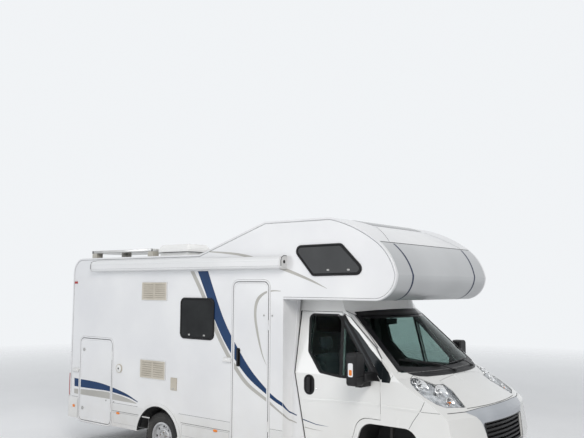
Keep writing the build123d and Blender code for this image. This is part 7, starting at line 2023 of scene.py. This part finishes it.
DOME_RIB = ((-0.016, 0.0004), (-0.010, 0.0040), (0.010, 0.0040), (0.016, 0.0004))
DOME_RIM = ((-0.010, 0.0004), (-0.006, 0.0030), (0.006, 0.0030), (0.010, 0.0004))
ROOF_SEAM = ((-0.015, 0.0004), (-0.012, 0.0014), (0.012, 0.0014), (0.015, 0.0004))
ROOF_RAIL = ((-0.020, 0.0006), (-0.016, 0.0050), (0.016, 0.0050), (0.020, 0.0006))
for number, y in enumerate((-0.900, -0.780, -0.660)):
    draped(f"dome_rib_{number}", [(-3.640 + 0.02 * i, y) for i in range(26)], DOME_RIB, "top", LID,
           "dome_white", "rooflight_lid")
draped("dome_rim", rounded_outline(-3.680, -3.080, -1.000, -0.560, 0.060), DOME_RIM, "top", LID, "dome_white",
       "rooflight_lid", closed=True)
for number, x in enumerate((-2.180, -0.200, 0.640)):
    draped(f"roof_seam_{number}", [(x - FRONT_AXLE_X, y) for y in (-1.080, 0.0, 1.080)], ROOF_SEAM, "top",
           ROOF_PANEL, "seam_grey")
for side, side_name in SIDES:
    draped(f"roof_rail_{side_name}", [(x, side * 1.092) for x in (-5.350, -3.000, -1.600)], ROOF_RAIL, "top",
           ROOF_PANEL, "skirt_white", spacing=0.06)
ROOF_VENT = ((0.0001, 0.055), (0.040, 0.052), (0.062, 0.040), (0.066, 0.028), (0.050, 0.026), (0.050, 0.0))
AERIAL = ((0.0001, 0.045), (0.060, 0.044), (0.098, 0.036), (0.112, 0.018), (0.116, 0.0))
for name, profile, x, y, steps in (("roof_vent", ROOF_VENT, -2.500, 0.500, 36),
                                   ("aerial_dome", AERIAL, 0.400, 0.650, 40)):
    place = drop(ROOF_PANEL, (x, y, RAY_ABOVE), DOWN, 0.0)
    turned(name, profile, place, (0, 0, 1), "roof_fitting_white", steps=steps)

# Rear arch lips, the awning's back seam and the rear pods' markers
for side, side_name in SIDES:
    arch_lip(f"rear_arch_lip_{side_name}", REAR_ARCH_LINE, 1.110, 1.1635, side, 0.016, "rubber")
draped("awning_back_seam", [(x, -1.158) for x in (-4.905, -3.000, -1.210)], line_profile(0.014, 0.0015),
       "top", ("awning_cassette",), "seam_dark", spacing=0.1)
for side, side_name in SIDES:
    patch(f"pod_marker_{side_name}", rounded_outline(-5.405, -5.345, 0.548, 0.588, 0.014), "side",
          ("rear_bumper", "side_skirts", f"side_wall_{side_name}"), 0.0030, "lamp_orange", side=side,
          cell=0.015)
